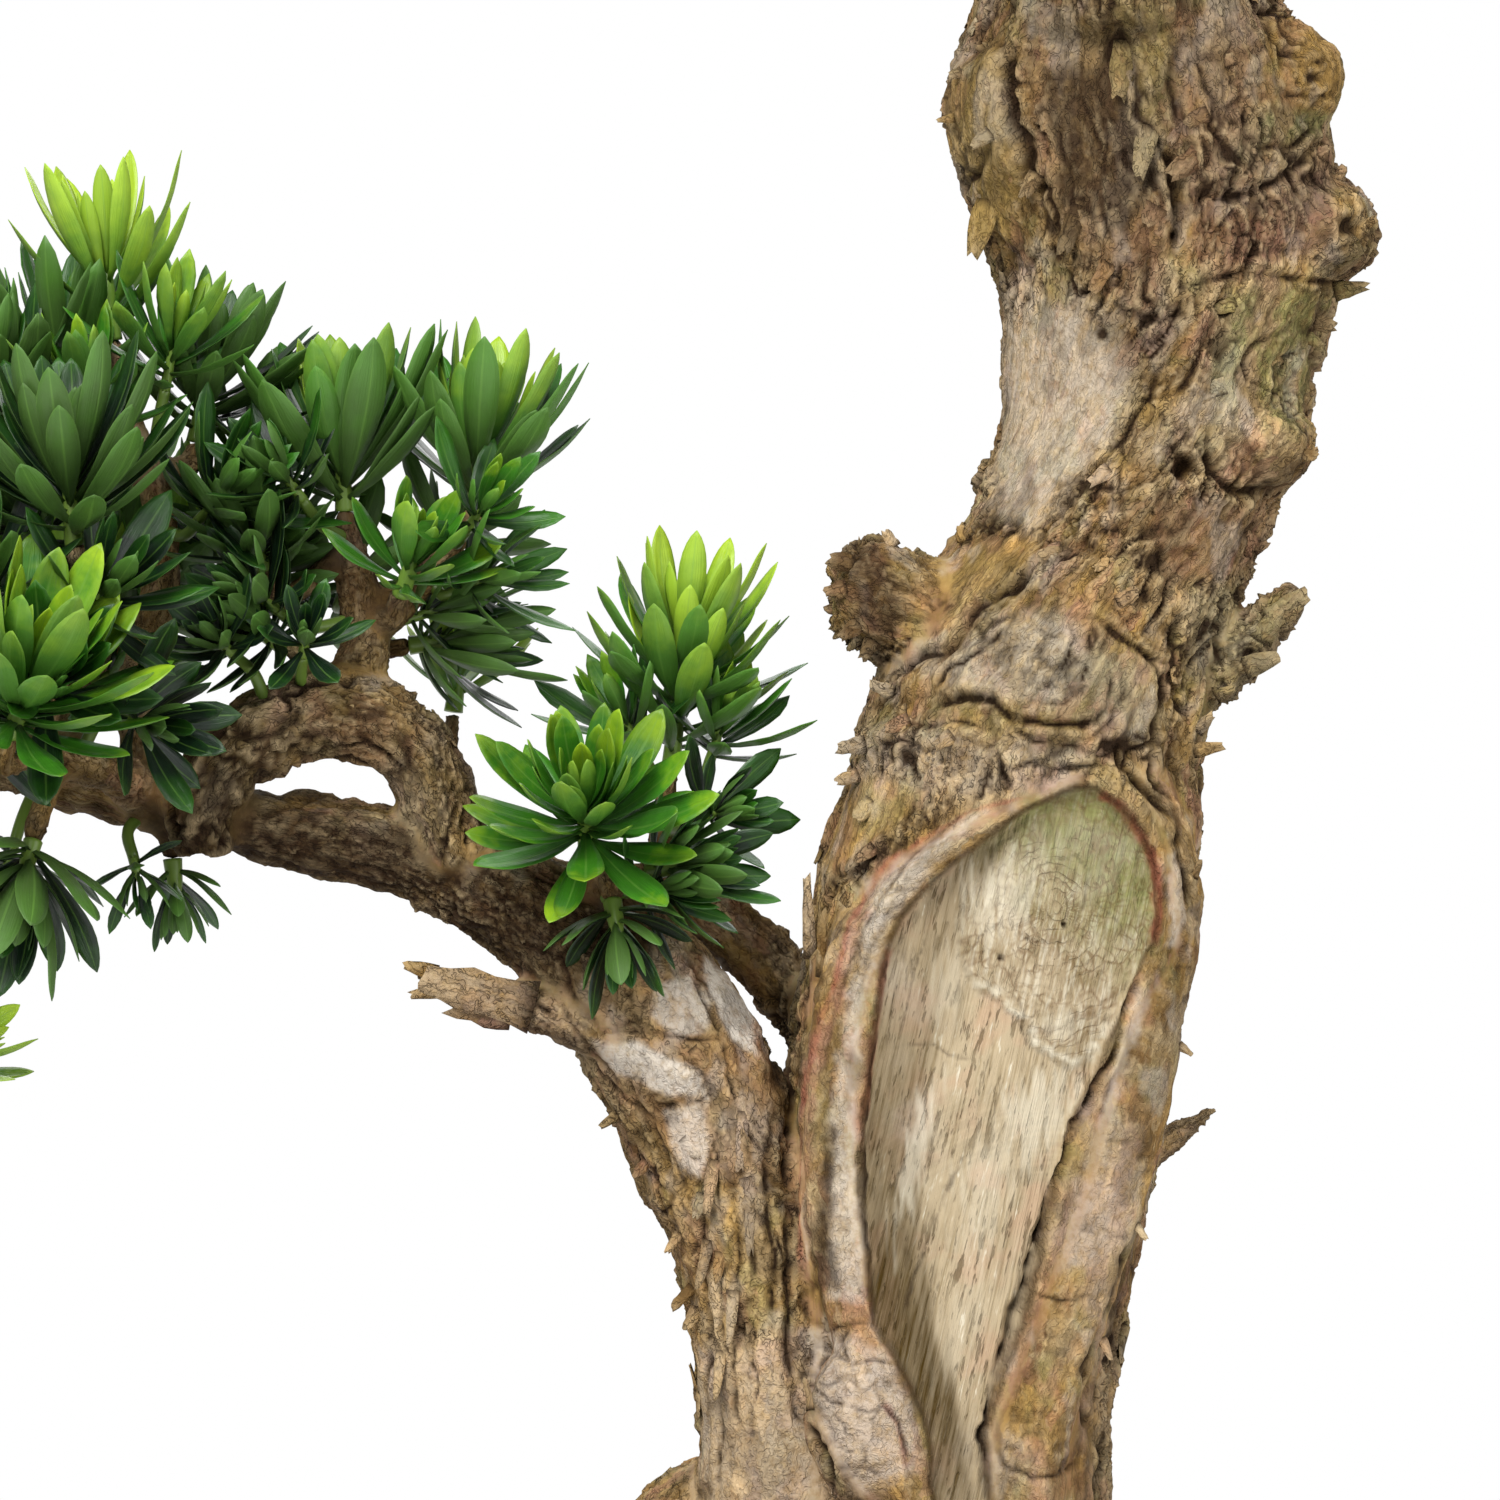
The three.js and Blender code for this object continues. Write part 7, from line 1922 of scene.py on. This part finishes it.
def leaf(greens, root, first, second, tip, half, face, age, own, rows=11, columns=4):
    """A leaf along its CAD midrib: pointed oval, channelled along the middle, thick in its body."""
    line = np.array([root, first, second, tip])
    t = 1 - np.linspace(1, 0, rows) ** 1.35
    length = np.concatenate([[0], np.cumsum(np.linalg.norm(np.diff(line, axis=0), axis=1))])
    knots = length / length[-1]
    mid = np.stack([np.interp(t, knots, line[:, k]) for k in range(3)], 1)
    for _ in range(2):
        mid[1:-1] = mid[1:-1] * 0.5 + (mid[:-2] + mid[2:]) * 0.25
    ahead = np.gradient(mid, axis=0)
    ahead /= np.linalg.norm(ahead, axis=1)[:, None]
    side = np.cross(ahead, face)
    side /= np.linalg.norm(side, axis=1)[:, None]
    up = np.cross(side, ahead)
    wide = np.interp(t, *zip(*LEAF_WIDE)) * half * (0.94 + 0.16 * chance(own * 3.1))
    twist = (chance(own * 7.7) - 0.5) * 0.5 * t
    cos, sin = np.cos(twist)[:, None], np.sin(twist)[:, None]
    side, up = side * cos + up * sin, up * cos - side * sin
    across = np.linspace(-1, 1, columns + 1)
    fold = 0.16 + 0.16 * chance(own * 5.3)
    wave = 0.05 * np.sin(t * 9 + own)
    lift = fold * np.abs(across)[None] ** 1.3 * (1 - 0.5 * t[:, None]) + wave[:, None] * across[None]
    groove = -0.09 * np.exp(-(across / 0.16) ** 2)
    body = np.sqrt(np.maximum(0, 1 - across ** 2))
    thick = (0.16 + 0.42 * np.interp(t, [0, 0.12, 0.8, 1], [1.0, 0.8, 0.55, 0.1]))[:, None] * (0.12 + 0.88 * body)[None]
    flat = mid[:, None] + side[:, None] * (across[None] * wide[:, None])[..., None]
    raised = (lift + groove[None] * np.interp(t, [0, 0.1, 0.9, 1], [0.3, 1, 0.8, 0])[:, None]) * wide[:, None]
    top = flat + up[:, None] * (raised + thick * 0.5)[..., None]
    keel = 0.3 * np.exp(-(across / 0.2) ** 2)[None] * np.interp(t, [0, 0.1, 0.8, 1], [0.8, 1, 0.4, 0])[:, None]
    under = flat + up[:, None] * (raised - thick * 0.5 - keel)[..., None]
    n = columns + 1
    grid = np.arange(rows * n).reshape(rows, n)
    low = grid + rows * n
    faces = []
    for r in range(rows - 1):
        for k in range(columns):
            faces.append((grid[r, k], grid[r, k + 1], grid[r + 1, k + 1], grid[r + 1, k]))
            faces.append((low[r, k], low[r + 1, k], low[r + 1, k + 1], low[r, k + 1]))
        faces.append((grid[r, 0], grid[r + 1, 0], low[r + 1, 0], low[r, 0]))
        faces.append((grid[r, -1], low[r, -1], low[r + 1, -1], grid[r + 1, -1]))
    faces.append(tuple(grid[-1]) + tuple(low[-1][::-1]))
    faces.append(tuple(grid[0][::-1]) + tuple(low[0]))
    greens.add(
        np.vstack([top.reshape(-1, 3), under.reshape(-1, 3)]), faces, along=np.tile(np.repeat(t, n), 2),
        across=np.tile(across, 2 * rows), under=np.repeat([0.0, 1.0], rows * n), age=age, own=chance(own * 1.7),
        stalk=0.0)


def across_section(ring):
    """The middle of a three-point section's widest side, half that side's width, and the way from the keel to it."""
    sides = ((0, 1), (1, 2), (2, 0))
    i, j = max(sides, key=lambda side: np.linalg.norm(ring[side[0]] - ring[side[1]]))
    middle = (ring[i] + ring[j]) / 2
    return middle, np.linalg.norm((ring[i] - ring[j]) / 2), middle - ring[3 - i - j]


def leaf_sections(sections):
    """Centre points, half width and facing of a CAD leaf, from its three-point sections."""
    root, first, second, tip = sections
    lower = across_section(first)[0]
    upper, half, away = across_section(second)
    ahead = tip[0] - lower
    face = unit(away - ahead * (away @ ahead) / (ahead @ ahead))
    return root.mean(0), lower, upper, tip[0], half, face


def arched_leaf(greens, start, axis, out, opening, length, half, age, own, rows, columns):
    """A leaf that leaves the stem at an opening from its axis and bends back up towards it."""
    points = [start]
    for share, bend in ((0.3, 14), (0.38, 0), (0.32, -12)):
        turn = math.radians(opening + bend)
        points.append(points[-1] + (axis * math.cos(turn) + out * math.sin(turn)) * length * share)
    turn = math.radians(opening)
    face = axis * math.sin(turn) - out * math.cos(turn)
    leaf(greens, *points, half, face, age, own, rows, columns)


def dress_shoot(greens, shoot, number):
    """The CAD leaves grown smooth, leaves between them, the young ones round the bud, then the stem."""
    outer, inner, extra, slim, widest = shoot.look or AGES.get(shoot.name, OTHER_AGES)
    outer = outer + 0.1 * (chance(number * 2.3) - 0.5)
    rows, columns = shoot.detail
    axis = shoot.axis
    across = unit(np.cross([0.0, 1.0, 0.0], axis))
    back = np.cross(axis, across)
    longest = shoot.size
    roots = [(sections[0].mean(0) - shoot.seat) @ axis for sections in shoot.leaves] or [0]
    lowest, highest = min(roots), max(roots)
    for k, sections in enumerate(shoot.leaves):
        start, lower, upper, tip, half, face = leaf_sections(sections)
        rise = (roots[k] - lowest) / max(0.1, highest - lowest)
        own = number * 40 + k
        age = np.clip(outer + (inner - outer) * rise ** 1.2 * 0.8 + 0.16 * (chance(own) - 0.5), 0, 1)
        leaf(greens, start, lower, upper, tip, half * slim, face, age, own, rows, columns)
    for k in range(extra):
        own = number * 60 + 900 + k
        share = (k + 0.5) / extra
        turn = LEAF_TURN * k + number * 1.3
        out = across * math.cos(turn) + back * math.sin(turn)
        opening = widest * (1 - share) ** 0.8 + 12 + 12 * (chance(own) - 0.5)
        length = longest * (0.72 + 0.3 * math.sin(math.pi * min(1, share * 1.3))) * (0.82 + 0.24 * chance(own + 0.5))
        start = shoot.seat + axis * shoot.length * (0.12 + 0.72 * share) + out * 0.9
        age = np.clip(outer + (inner - outer) * share + 0.2 * (chance(own + 0.2) - 0.5), 0, 1)
        arched_leaf(greens, start, axis, out, opening, length, length * 0.145 * slim, age, own, rows, columns)
    young = shoot.young
    for k in range(young):
        own = number * 40 + 25 + k
        share = (k + 0.5) / young
        turn = LEAF_TURN * k + number
        out = across * math.cos(turn) + back * math.sin(turn)
        opening = 26 * (1 - share) + 3 + 6 * (chance(own) - 0.5)
        length = longest * (0.8 - 0.34 * share) * (0.85 + 0.25 * chance(own + 0.5))
        start = shoot.bud - axis * (2.6 - 1.6 * share) + out * 0.4
        age = np.clip(inner + 0.22 * (0.5 - share) + 0.12 * (chance(own + 0.2) - 0.5), 0, 1)
        arched_leaf(greens, start, axis, out, opening, length, length * 0.14 * slim, age, own, rows, columns)
    turn = full_turn(10)[:, None]
    around = across * np.cos(turn) + back * np.sin(turn)
    tall = shoot.length
    stem = ((-0.6, 1.95), (0, 1.9), (tall * 0.5, 1.6), (tall - 2.2, 1.25), (tall, 0.4))
    points, faces = loft(np.array([
        shoot.seat + axis * height + around * radius * shoot.girth for height, radius in stem]))
    greens.add(points, faces, along=0.1, across=0.5, under=0.0, age=outer, own=0.5, stalk=0.75)


class Spray:
    """A small spray of leaves on a thin stem of its own."""

    def __init__(self, number, on, seat, lean, size, leaves, opening, outer, inner, slim):
        self.name, self.on, self.leaves = f"spray_{number}", on, []
        self.seat = np.array(seat, float)
        self.axis = unit(np.array(lean, float))
        self.length, self.size, self.girth = size * 0.35, size, 0.6
        self.bud = self.seat + self.axis * self.length
        self.look = (outer, inner, leaves, slim + 0.15, opening)
        self.detail, self.young = OTHER_DETAIL


def side_spray(shoot, number, side):
    """A small spray that leans out from beside a shoot, to fill its pad."""
    turn = 2.4 * number + math.pi * side + 0.9 * chance(number * 3 + side)
    across = unit(np.cross([0.0, 1.0, 0.0], shoot.axis))
    out = across * math.cos(turn) + np.cross(shoot.axis, across) * math.sin(turn)
    seat = shoot.seat - shoot.axis * (0.8 + 2.2 * chance(number * 5 + side))
    size = shoot.size * (0.78 + 0.14 * chance(number * 7 + side))
    spray = Spray(f"beside_{number}_{side}", shoot.on, seat, shoot.axis * 0.4 + out, size, 9, 62, 0.95, 0.55, 0.62)
    spray.detail, spray.young = SIDE_DETAIL
    return spray


def leaf_material(look):
    material, tree, shader = new_material("Waxy leaf")
    place = place_of(tree)
    age = carried(tree, "age")
    along = carried(tree, "along")
    across = carried(tree, "across")
    own = carried(tree, "own")
    under = carried(tree, "under")
    patches = speckle(tree, place, 160.0, 3.0, 0.6)
    worn = sums(tree, "MULTIPLY_ADD", sums(tree, "SUBTRACT", patches, 0.5), 0.5, age)
    worn = sums(tree, "MULTIPLY_ADD", sums(tree, "SUBTRACT", along, 0.55), -0.42, worn)
    colour = tones(tree, worn, [(0.0, look.young), (0.42, look.grown), (0.95, look.old)])
    colour = shaded(tree, colour, span(tree, own, 0, 1, 0.82, 1.16))
    aside = sums(tree, "ABSOLUTE", across)
    rib = span(tree, aside, 0.1, 0.03)
    colour = blend(tree, times(tree, rib, 0.3), colour, look.midrib)
    rim = span(tree, aside, 0.9, 1.0)
    colour = blend(tree, times(tree, rim, 0.22), colour, look.midrib)
    colour = blend(tree, times(tree, under, 0.35), colour, look.midrib)
    colour = blend(tree, carried(tree, "stalk"), colour, look.stem)
    veins = joined(tree, times(tree, across, 9.0), times(tree, along, 2.5), times(tree, own, 40.0))
    rough = span(tree, sums(tree, "ADD", patches, times(tree, under, 0.4)), 0.3, 1.0, 0.3, 0.55)
    feed(tree, shader, {
        "Base Color": colour, "Roughness": rough, "Specular IOR Level": 0.4, "Coat Weight": 0.1,
        "Coat Roughness": 0.25, "Normal": bumped(tree, 0.35, 0.0005, speckle(tree, veins, 1.3, 2.0, 0.5)),
    })
    return material


# The shoots in each piece, by name or by the start of their names.
PIECES_OF_SHOOTS = {
    "leaves_on_riser": ("riser_top", "riser_right", "riser_front", "riser_left", "riser_dark", "riser_low"),
    "leaves_on_limb": ("strut_top", "front_rosette", "front_low", "front_side", "behind_limb", "left_hanging"),
    "leaves_at_left": ("top_left", "left_dark", "left_mid", "left_bright", "left_low", "left_edge", "drop_end"),
    "leaves_at_limb_end": ("left_",),
    "leaves_on_right_branch": ("right_",),
    "leaves_on_upper_left_branch": ("upper_left_",),
    "leaves_at_back_and_front": ("back_", "front_"),
    "leaves_at_apex": ("apex_",),
}


# The piece that the sprays on each branch are part of.
SPRAY_PIECES = {
    "riser": "leaves_on_riser", "riserFork": "leaves_on_riser", "loop": "leaves_on_riser", "leftUp": "leaves_at_left",
    "leftFront": "leaves_at_left", "leftBack": "leaves_at_left", "limb": "leaves_on_limb", "strut": "leaves_on_limb",
}


class BONSAI_OT_leaves(bpy.types.Operator):
    """Grows every shoot's leaves, bud and stem along the CAD shoot"""
    bl_idname = "bonsai.leaves"
    bl_label = "Leafy shoots"

    def execute(self, context):
        material = leaf_material(context.scene.bonsai_leaf)
        branches = {name: Route(rows) for name, rows in ROUTES.items()}
        left = {shoot.name: (number, shoot) for number, shoot in enumerate(read_shoots())}
        for piece_name, keys in PIECES_OF_SHOOTS.items():
            names = [n for n in left if n in keys or any(k.endswith("_") and n.startswith(k) for k in keys)]
            greens = Greenery()
            for name in names:
                number, shoot = left.pop(name)
                dress_shoot(greens, shoot, number)
                for side in range(0 if name in AGES else 2):
                    dress_shoot(greens, side_spray(shoot, number, side), 200 + 2 * number + side)
            for number, row in enumerate(SPRAYS):
                if SPRAY_PIECES[row[0]] == piece_name:
                    spray = Spray(number, *row)
                    dress_shoot(greens, spray, 70 + number)
                    stem = Route(twig_route(spray, branches), 1.5)
                    stem.radius = stem.radius * 0.5
                    points, faces = stem.tube(8)
                    greens.add(points, faces, along=0.1, across=0.5, under=0.0, age=1.0, own=0.3, stalk=0.6)
            piece = greens.build(piece_name, material)
            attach(piece, "root")
            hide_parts(*("shoot_" + name for name in names))
        if left:
            raise RuntimeError(f"shoots without a piece: {sorted(left)}")
        return {"FINISHED"}


# Pot and soil


POT_LENGTH, POT_WIDTH, POT_HEIGHT, FOOT_HEIGHT, LIP_REACH, POT_TAPER = 168, 118, 88, 10, 6, 0.86
FEET, FOOT_SIZE = [(88, 50), (88, -50), (-88, 50), (-88, -50)], (20, 12)
DRAINS, DRAIN_RADIUS = (-66, 66), 9
# The pot's wall from the middle of its underside over the lip to its floor: height, and how far in.
POT_WALL = [
    (10, 60), (10, 9), (10.3, 6.2), (11, 4), (12.2, 2), (14, 0.6), (17, 0), (24, 0), (32, 0), (42, 0), (52, 0), (62, 0),
    (70, 0), (72.8, -0.1), (73.8, -0.8), (74.6, -2.6), (75.4, -4.6), (76.6, -5.7), (78.5, -6), (82, -6), (85.4, -5.8),
    (87, -5), (87.8, -3.4), (88, -1.2), (88, 5), (87.7, 7.2), (86.8, 8.5), (85, 9), (76, 9.1), (60, 9.2), (40, 9.4),
    (28, 10), (23, 11.4), (20.8, 14), (20, 18), (20, 60),
]
SOIL_EDGE, SOIL_RISE = 80, 7


def oval(half_length, half_width, sides, squareness=2.5):
    turn = full_turn(sides)
    corner = np.abs(np.cos(turn)) ** squareness + np.abs(np.sin(turn)) ** squareness
    bulge = corner ** (-1 / squareness)
    return np.stack([half_length * bulge * np.cos(turn), half_width * bulge * np.sin(turn)], 1)


def pot_ring(z, inset, sides=144):
    share = POT_TAPER + (1 - POT_TAPER) * max(0, (z - FOOT_HEIGHT) / (POT_HEIGHT - FOOT_HEIGHT)) ** 0.7
    ring = oval((POT_LENGTH - LIP_REACH) * share - inset, (POT_WIDTH - LIP_REACH) * share - inset, sides)
    return np.column_stack([ring, np.full(sides, z)])


def soil_height(p, share):
    """The mound of the soil, lumpy, and highest round the tree."""
    rise = np.interp(1 - share, [0, 0.25, 0.6, 1], [0, SOIL_RISE * 0.6, SOIL_RISE, SOIL_RISE])
    return SOIL_EDGE - 0.8 + rise + 0.9 * layers(p / 14, 111, 3) + 0.5 * noise(p / 3, 113)


def moss_share(p):
    near = ease(72 - np.hypot(p[:, 0] - 4, p[:, 1] * 1.15), 0, 34)
    return near * ease(layers(p / 17, 115, 3), -0.12, 0.1)


def clay_material(look):
    material, tree, shader = new_material("Unglazed stoneware")
    place = place_of(tree)
    base = use(tree, mottle_group(), {"Place": place, "Scale": 22.0, "Main": look.clay, "Light": look.ash,
                                      "Dark": look.clay})
    specks = span(tree, speckle(tree, place, 900.0, 2.0, 0.5), 0.66, 0.72)
    colour = blend(tree, times(tree, specks, 0.7), base.outputs["Color"], look.iron)
    feed(tree, shader, {
        "Base Color": colour, "Roughness": span(tree, base.outputs["Patch"], 0.3, 0.7, 0.5, 0.72),
        "Normal": bumped(tree, 0.3, 0.0006, speckle(tree, place, 700.0, 4.0, 0.6)),
    })
    return material


def soil_material(look):
    material, tree, shader = new_material("Bonsai soil")
    place = place_of(tree)
    base = use(tree, mottle_group(), {"Place": place, "Scale": 260.0, "Main": look.crumb, "Light": look.dry,
                                      "Dark": look.wet})
    own = carried(tree, "own")
    colour = blend(tree, span(tree, own, 0.55, 1.0, 0.0, 0.8), base.outputs["Color"], look.dry)
    colour = blend(tree, span(tree, own, 0.4, 0.0, 0.0, 0.7), colour, look.wet)
    tuft = span(tree, speckle(tree, place, 900.0, 3.0, 0.7), 0.35, 0.65, 0.6, 1.3)
    colour = blend(tree, carried(tree, "moss"), colour, shaded(tree, look.moss, tuft))
    patch = base.outputs["Patch"]
    feed(tree, shader, {
        "Base Color": colour, "Roughness": span(tree, patch, 0.3, 0.7, 0.85, 1.0),
        "Normal": bumped(tree, 0.8, 0.002, patch),
    })
    return material


def bored(body, name):
    """The body with the two drain holes cut through its floor."""
    cutters = []
    turn = full_turn(48)
    for x in DRAINS:
        points, faces = loft(np.array([
            np.stack([x + np.cos(turn) * DRAIN_RADIUS, np.sin(turn) * DRAIN_RADIUS, np.full(48, z)], 1)
            for z in (2, 28)]))
        mesh = bpy.data.meshes.new("drain")
        mesh.from_pydata([tuple(p) for p in to_frame(points)], [], faces)
        cutters.append(object_of(mesh, "drain"))
        cut = body.modifiers.new("drain", "BOOLEAN")
        cut.object, cut.operation, cut.solver = cutters[-1], "DIFFERENCE", "EXACT"
    graph = bpy.context.evaluated_depsgraph_get()
    made = bpy.data.meshes.new_from_object(body.evaluated_get(graph))
    made.name = name
    for extra in (body, *cutters):
        old = extra.data
        bpy.data.objects.remove(extra)
        bpy.data.meshes.remove(old)
    return made


class BONSAI_OT_pot(bpy.types.Operator):
    """Builds the oval pot with its lip, feet and drain holes"""
    bl_idname = "bonsai.pot"
    bl_label = "Pot"

    def execute(self, context):
        bowl, faces = loft(np.array([pot_ring(z, inset) for z, inset in POT_WALL]))
        bowl[:, :2] *= (1 - 0.0022 * (1 + layers(bowl / 30, 121, 2)))[:, None]
        mesh = bpy.data.meshes.new("bowl")
        mesh.from_pydata([tuple(p) for p in to_frame(bowl)], [], faces)
        mesh = bored(object_of(mesh, "bowl"), "stoneware_pot")
        points, corners, counts = read_mesh(mesh)
        bpy.data.meshes.remove(mesh)
        points, corners, counts = [from_frame(points)], [corners], [counts]
        start = len(points[0])
        for x, y in FEET:
            rings = [np.column_stack([oval(FOOT_SIZE[0] - inset, FOOT_SIZE[1] - inset, 40, 5) + [x, y], np.full(40, z)])
                     for z, inset in ((0, 2.2), (0.2, 1.2), (0.8, 0.4), (1.8, 0), (6, 0), (13, 0))]
            foot, foot_faces = loft(np.array(rings))
            points.append(foot)
            corners.append(np.array([k + start for face in foot_faces for k in face]))
            counts.append(np.array([len(face) for face in foot_faces]))
            start += len(foot)
        mesh = mesh_from("stoneware_pot", to_frame(np.vstack(points)), np.concatenate(corners), np.concatenate(counts))
        shade_smooth(mesh)
        mesh.set_sharp_from_angle(angle=math.radians(42))
        mesh.materials.append(clay_material(context.scene.bonsai_pot))
        piece = object_of(mesh, "stoneware_pot")
        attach(piece, "root")
        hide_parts("pot")
        return {"FINISHED"}


class BONSAI_OT_soil(bpy.types.Operator):
    """Fills the pot with soil, loose grains and a little moss"""
    bl_idname = "bonsai.soil"
    bl_label = "Soil"

    def execute(self, context):
        look = context.scene.bonsai_pot
        greens = Greenery()
        wall = ((20.6, 24), (21, 15), (24, 11.6), (30, 10.2), (50, 9.5), (70, 9.3))
        rings = [pot_ring(z, inset, 180) for z, inset in wall]
        for share in np.concatenate([[1.0, 0.99], np.linspace(0.97, 0.02, 44)]):
            ring = pot_ring(SOIL_EDGE, 9.4, 180) * [share, share, 1]
            ring[:, 2] = soil_height(ring, share)
            green = moss_share(ring)
            ring[:, 2] += green * (1.1 + 0.7 * noise(ring / 2.2, 117))
            rings.append(ring)
        points, faces = loft(np.array(rings))
        on_top = points[:, 2] > SOIL_EDGE - 4
        greens.add(points, faces, own=0.5 + 0.35 * noise(points / 3.4, 119), moss=moss_share(points) * on_top)
        random = np.random.default_rng(5)
        turn = full_turn(5)
        edge = pot_ring(SOIL_EDGE, 12.5, 720)
        for _ in range(look.grains):
            share = math.sqrt(random.uniform(0.02, 1))
            spot = edge[random.integers(720)] * [share, share, 1]
            spot[2] = soil_height(spot[None], share)[0]
            radius = random.uniform(0.9, 2.1)
            green = float(moss_share(spot[None])[0])
            tilt = np.linalg.qr(random.normal(size=(3, 3)))[0]
            stone = np.array([
                np.stack([np.cos(turn + s) * c, np.sin(turn + s) * c, np.full(5, h)], 1)
                for h, c, s in ((-0.75, 0.5, 0), (-0.1, 1.0, 0.5), (0.75, 0.5, 0.2))])
            grain, grain_faces = loft(stone * random.uniform(0.8, 1.15, (3, 5, 1)) * [1, 0.8, 0.8])
            if np.linalg.det(tilt) < 0:
                tilt = -tilt
            grain = grain @ tilt.T * radius + spot + [0, 0, radius * (0.25 - 0.5 * green)]
            greens.add(grain, grain_faces, own=random.random(), moss=0.6 * green)
        piece = greens.build("soil_and_grains", soil_material(look))
        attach(piece, "root")
        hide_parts("soil")
        return {"FINISHED"}


class BONSAI_OT_stage(bpy.types.Operator):
    """Sets the pale floor, the soft light and the photograph's camera"""
    bl_idname = "bonsai.stage"
    bl_label = "Stage"

    def execute(self, context):
        look = context.scene.bonsai_stage
        scene = context.scene
        turn = full_turn(96)
        ring = np.stack([np.cos(turn) * look.radius, np.sin(turn) * look.radius, np.full(96, -0.0004)], 1)
        floor = object_of(mesh_from("floor", ring, np.arange(96), np.array([96])), "floor")
        material, tree, shader = new_material("Pale floor")
        darker = tuple(c * 0.97 for c in look.floor)
        soft = blend(tree, speckle(tree, place_of(tree), 3.0, 2.0, 0.5), look.floor, darker)
        feed(tree, shader, {"Base Color": soft, "Roughness": 0.9})
        floor.data.materials.append(material)
        lights = [
            ("key light", (-0.55, -1.35, 1.45), (0.0, 0, 0.3), 1.1, look.key),
            ("fill light", (1.3, -0.9, 0.7), (0, 0, 0.3), 1.3, look.key * 0.28),
            ("back light", (0.2, 1.3, 1.3), (0, 0, 0.35), 1.2, look.key * 0.3),
        ]
        for name, place, aim, size, power in lights:
            data = bpy.data.lights.new(name, "AREA")
            data.energy, data.size = power, size
            lamp = bpy.data.objects.new(name, data)
            lamp.location = place
            lamp.rotation_euler = (Vector(aim) - Vector(place)).to_track_quat("-Z", "Y").to_euler()
            scene.collection.objects.link(lamp)
        world = bpy.data.worlds.new("white room")
        world.use_nodes = True
        scene.world = world
        nodes = world.node_tree
        nodes.nodes.clear()
        out = put(nodes, "ShaderNodeOutputWorld")
        light = put(nodes, "ShaderNodeBackground", {0: (1, 1, 1), 1: look.around})
        seen = put(nodes, "ShaderNodeBackground", {0: (1, 1, 1), 1: 1.0})
        camera_ray = put(nodes, "ShaderNodeLightPath").outputs["Is Camera Ray"]
        both = put(nodes, "ShaderNodeMixShader", {0: camera_ray, 1: light.outputs[0], 2: seen.outputs[0]})
        nodes.links.new(both.outputs[0], out.inputs[0])
        data = bpy.data.cameras.new("camera")
        data.lens, data.sensor_width = LENS, SENSOR
        data.clip_start, data.clip_end = 0.05, 50
        camera = bpy.data.objects.new("camera", data)
        camera.location = to_frame(EYE)
        camera.rotation_euler = (math.radians(90), 0, 0)
        scene.collection.objects.link(camera)
        scene.camera = camera
        scene.view_settings.view_transform = "Standard"
        return {"FINISHED"}


class BONSAI_PT_panel(bpy.types.Panel):
    """Lists the bonsai's pieces"""
    bl_idname = "BONSAI_PT_panel"
    bl_label = "Buddhist pine bonsai"
    bl_space_type = "VIEW_3D"
    bl_region_type = "UI"
    bl_category = "Bonsai"

    def draw(self, context):
        for operator in OPERATORS:
            self.layout.operator(operator.bl_idname)
        for key in LOOKS:
            look = getattr(context.scene, key)
            box = self.layout.box()
            for prop in look.bl_rna.properties:
                if prop.identifier not in ("rna_type", "name"):
                    box.prop(look, prop.identifier)


LOOKS = {
    "bonsai_bark": BarkLook, "bonsai_wound": WoundLook, "bonsai_leaf": LeafLook, "bonsai_pot": PotLook,
    "bonsai_stage": StageLook,
}
OPERATORS = (BONSAI_OT_wood, BONSAI_OT_leaves, BONSAI_OT_pot, BONSAI_OT_soil, BONSAI_OT_stage)


def register():
    for kind in (*LOOKS.values(), *OPERATORS, BONSAI_PT_panel):
        bpy.utils.register_class(kind)
    for key, kind in LOOKS.items():
        setattr(bpy.types.Scene, key, bpy.props.PointerProperty(type=kind))


def unregister():
    for key in LOOKS:
        delattr(bpy.types.Scene, key)
    for kind in reversed((*LOOKS.values(), *OPERATORS, BONSAI_PT_panel)):
        bpy.utils.unregister_class(kind)


def main():
    register()
    bpy.ops.bonsai.wood()
    bpy.ops.bonsai.leaves()
    bpy.ops.bonsai.pot()
    bpy.ops.bonsai.soil()
    bpy.ops.bonsai.stage()
    bpy.context.view_layer.update()


if __name__ == "__main__":
    main()
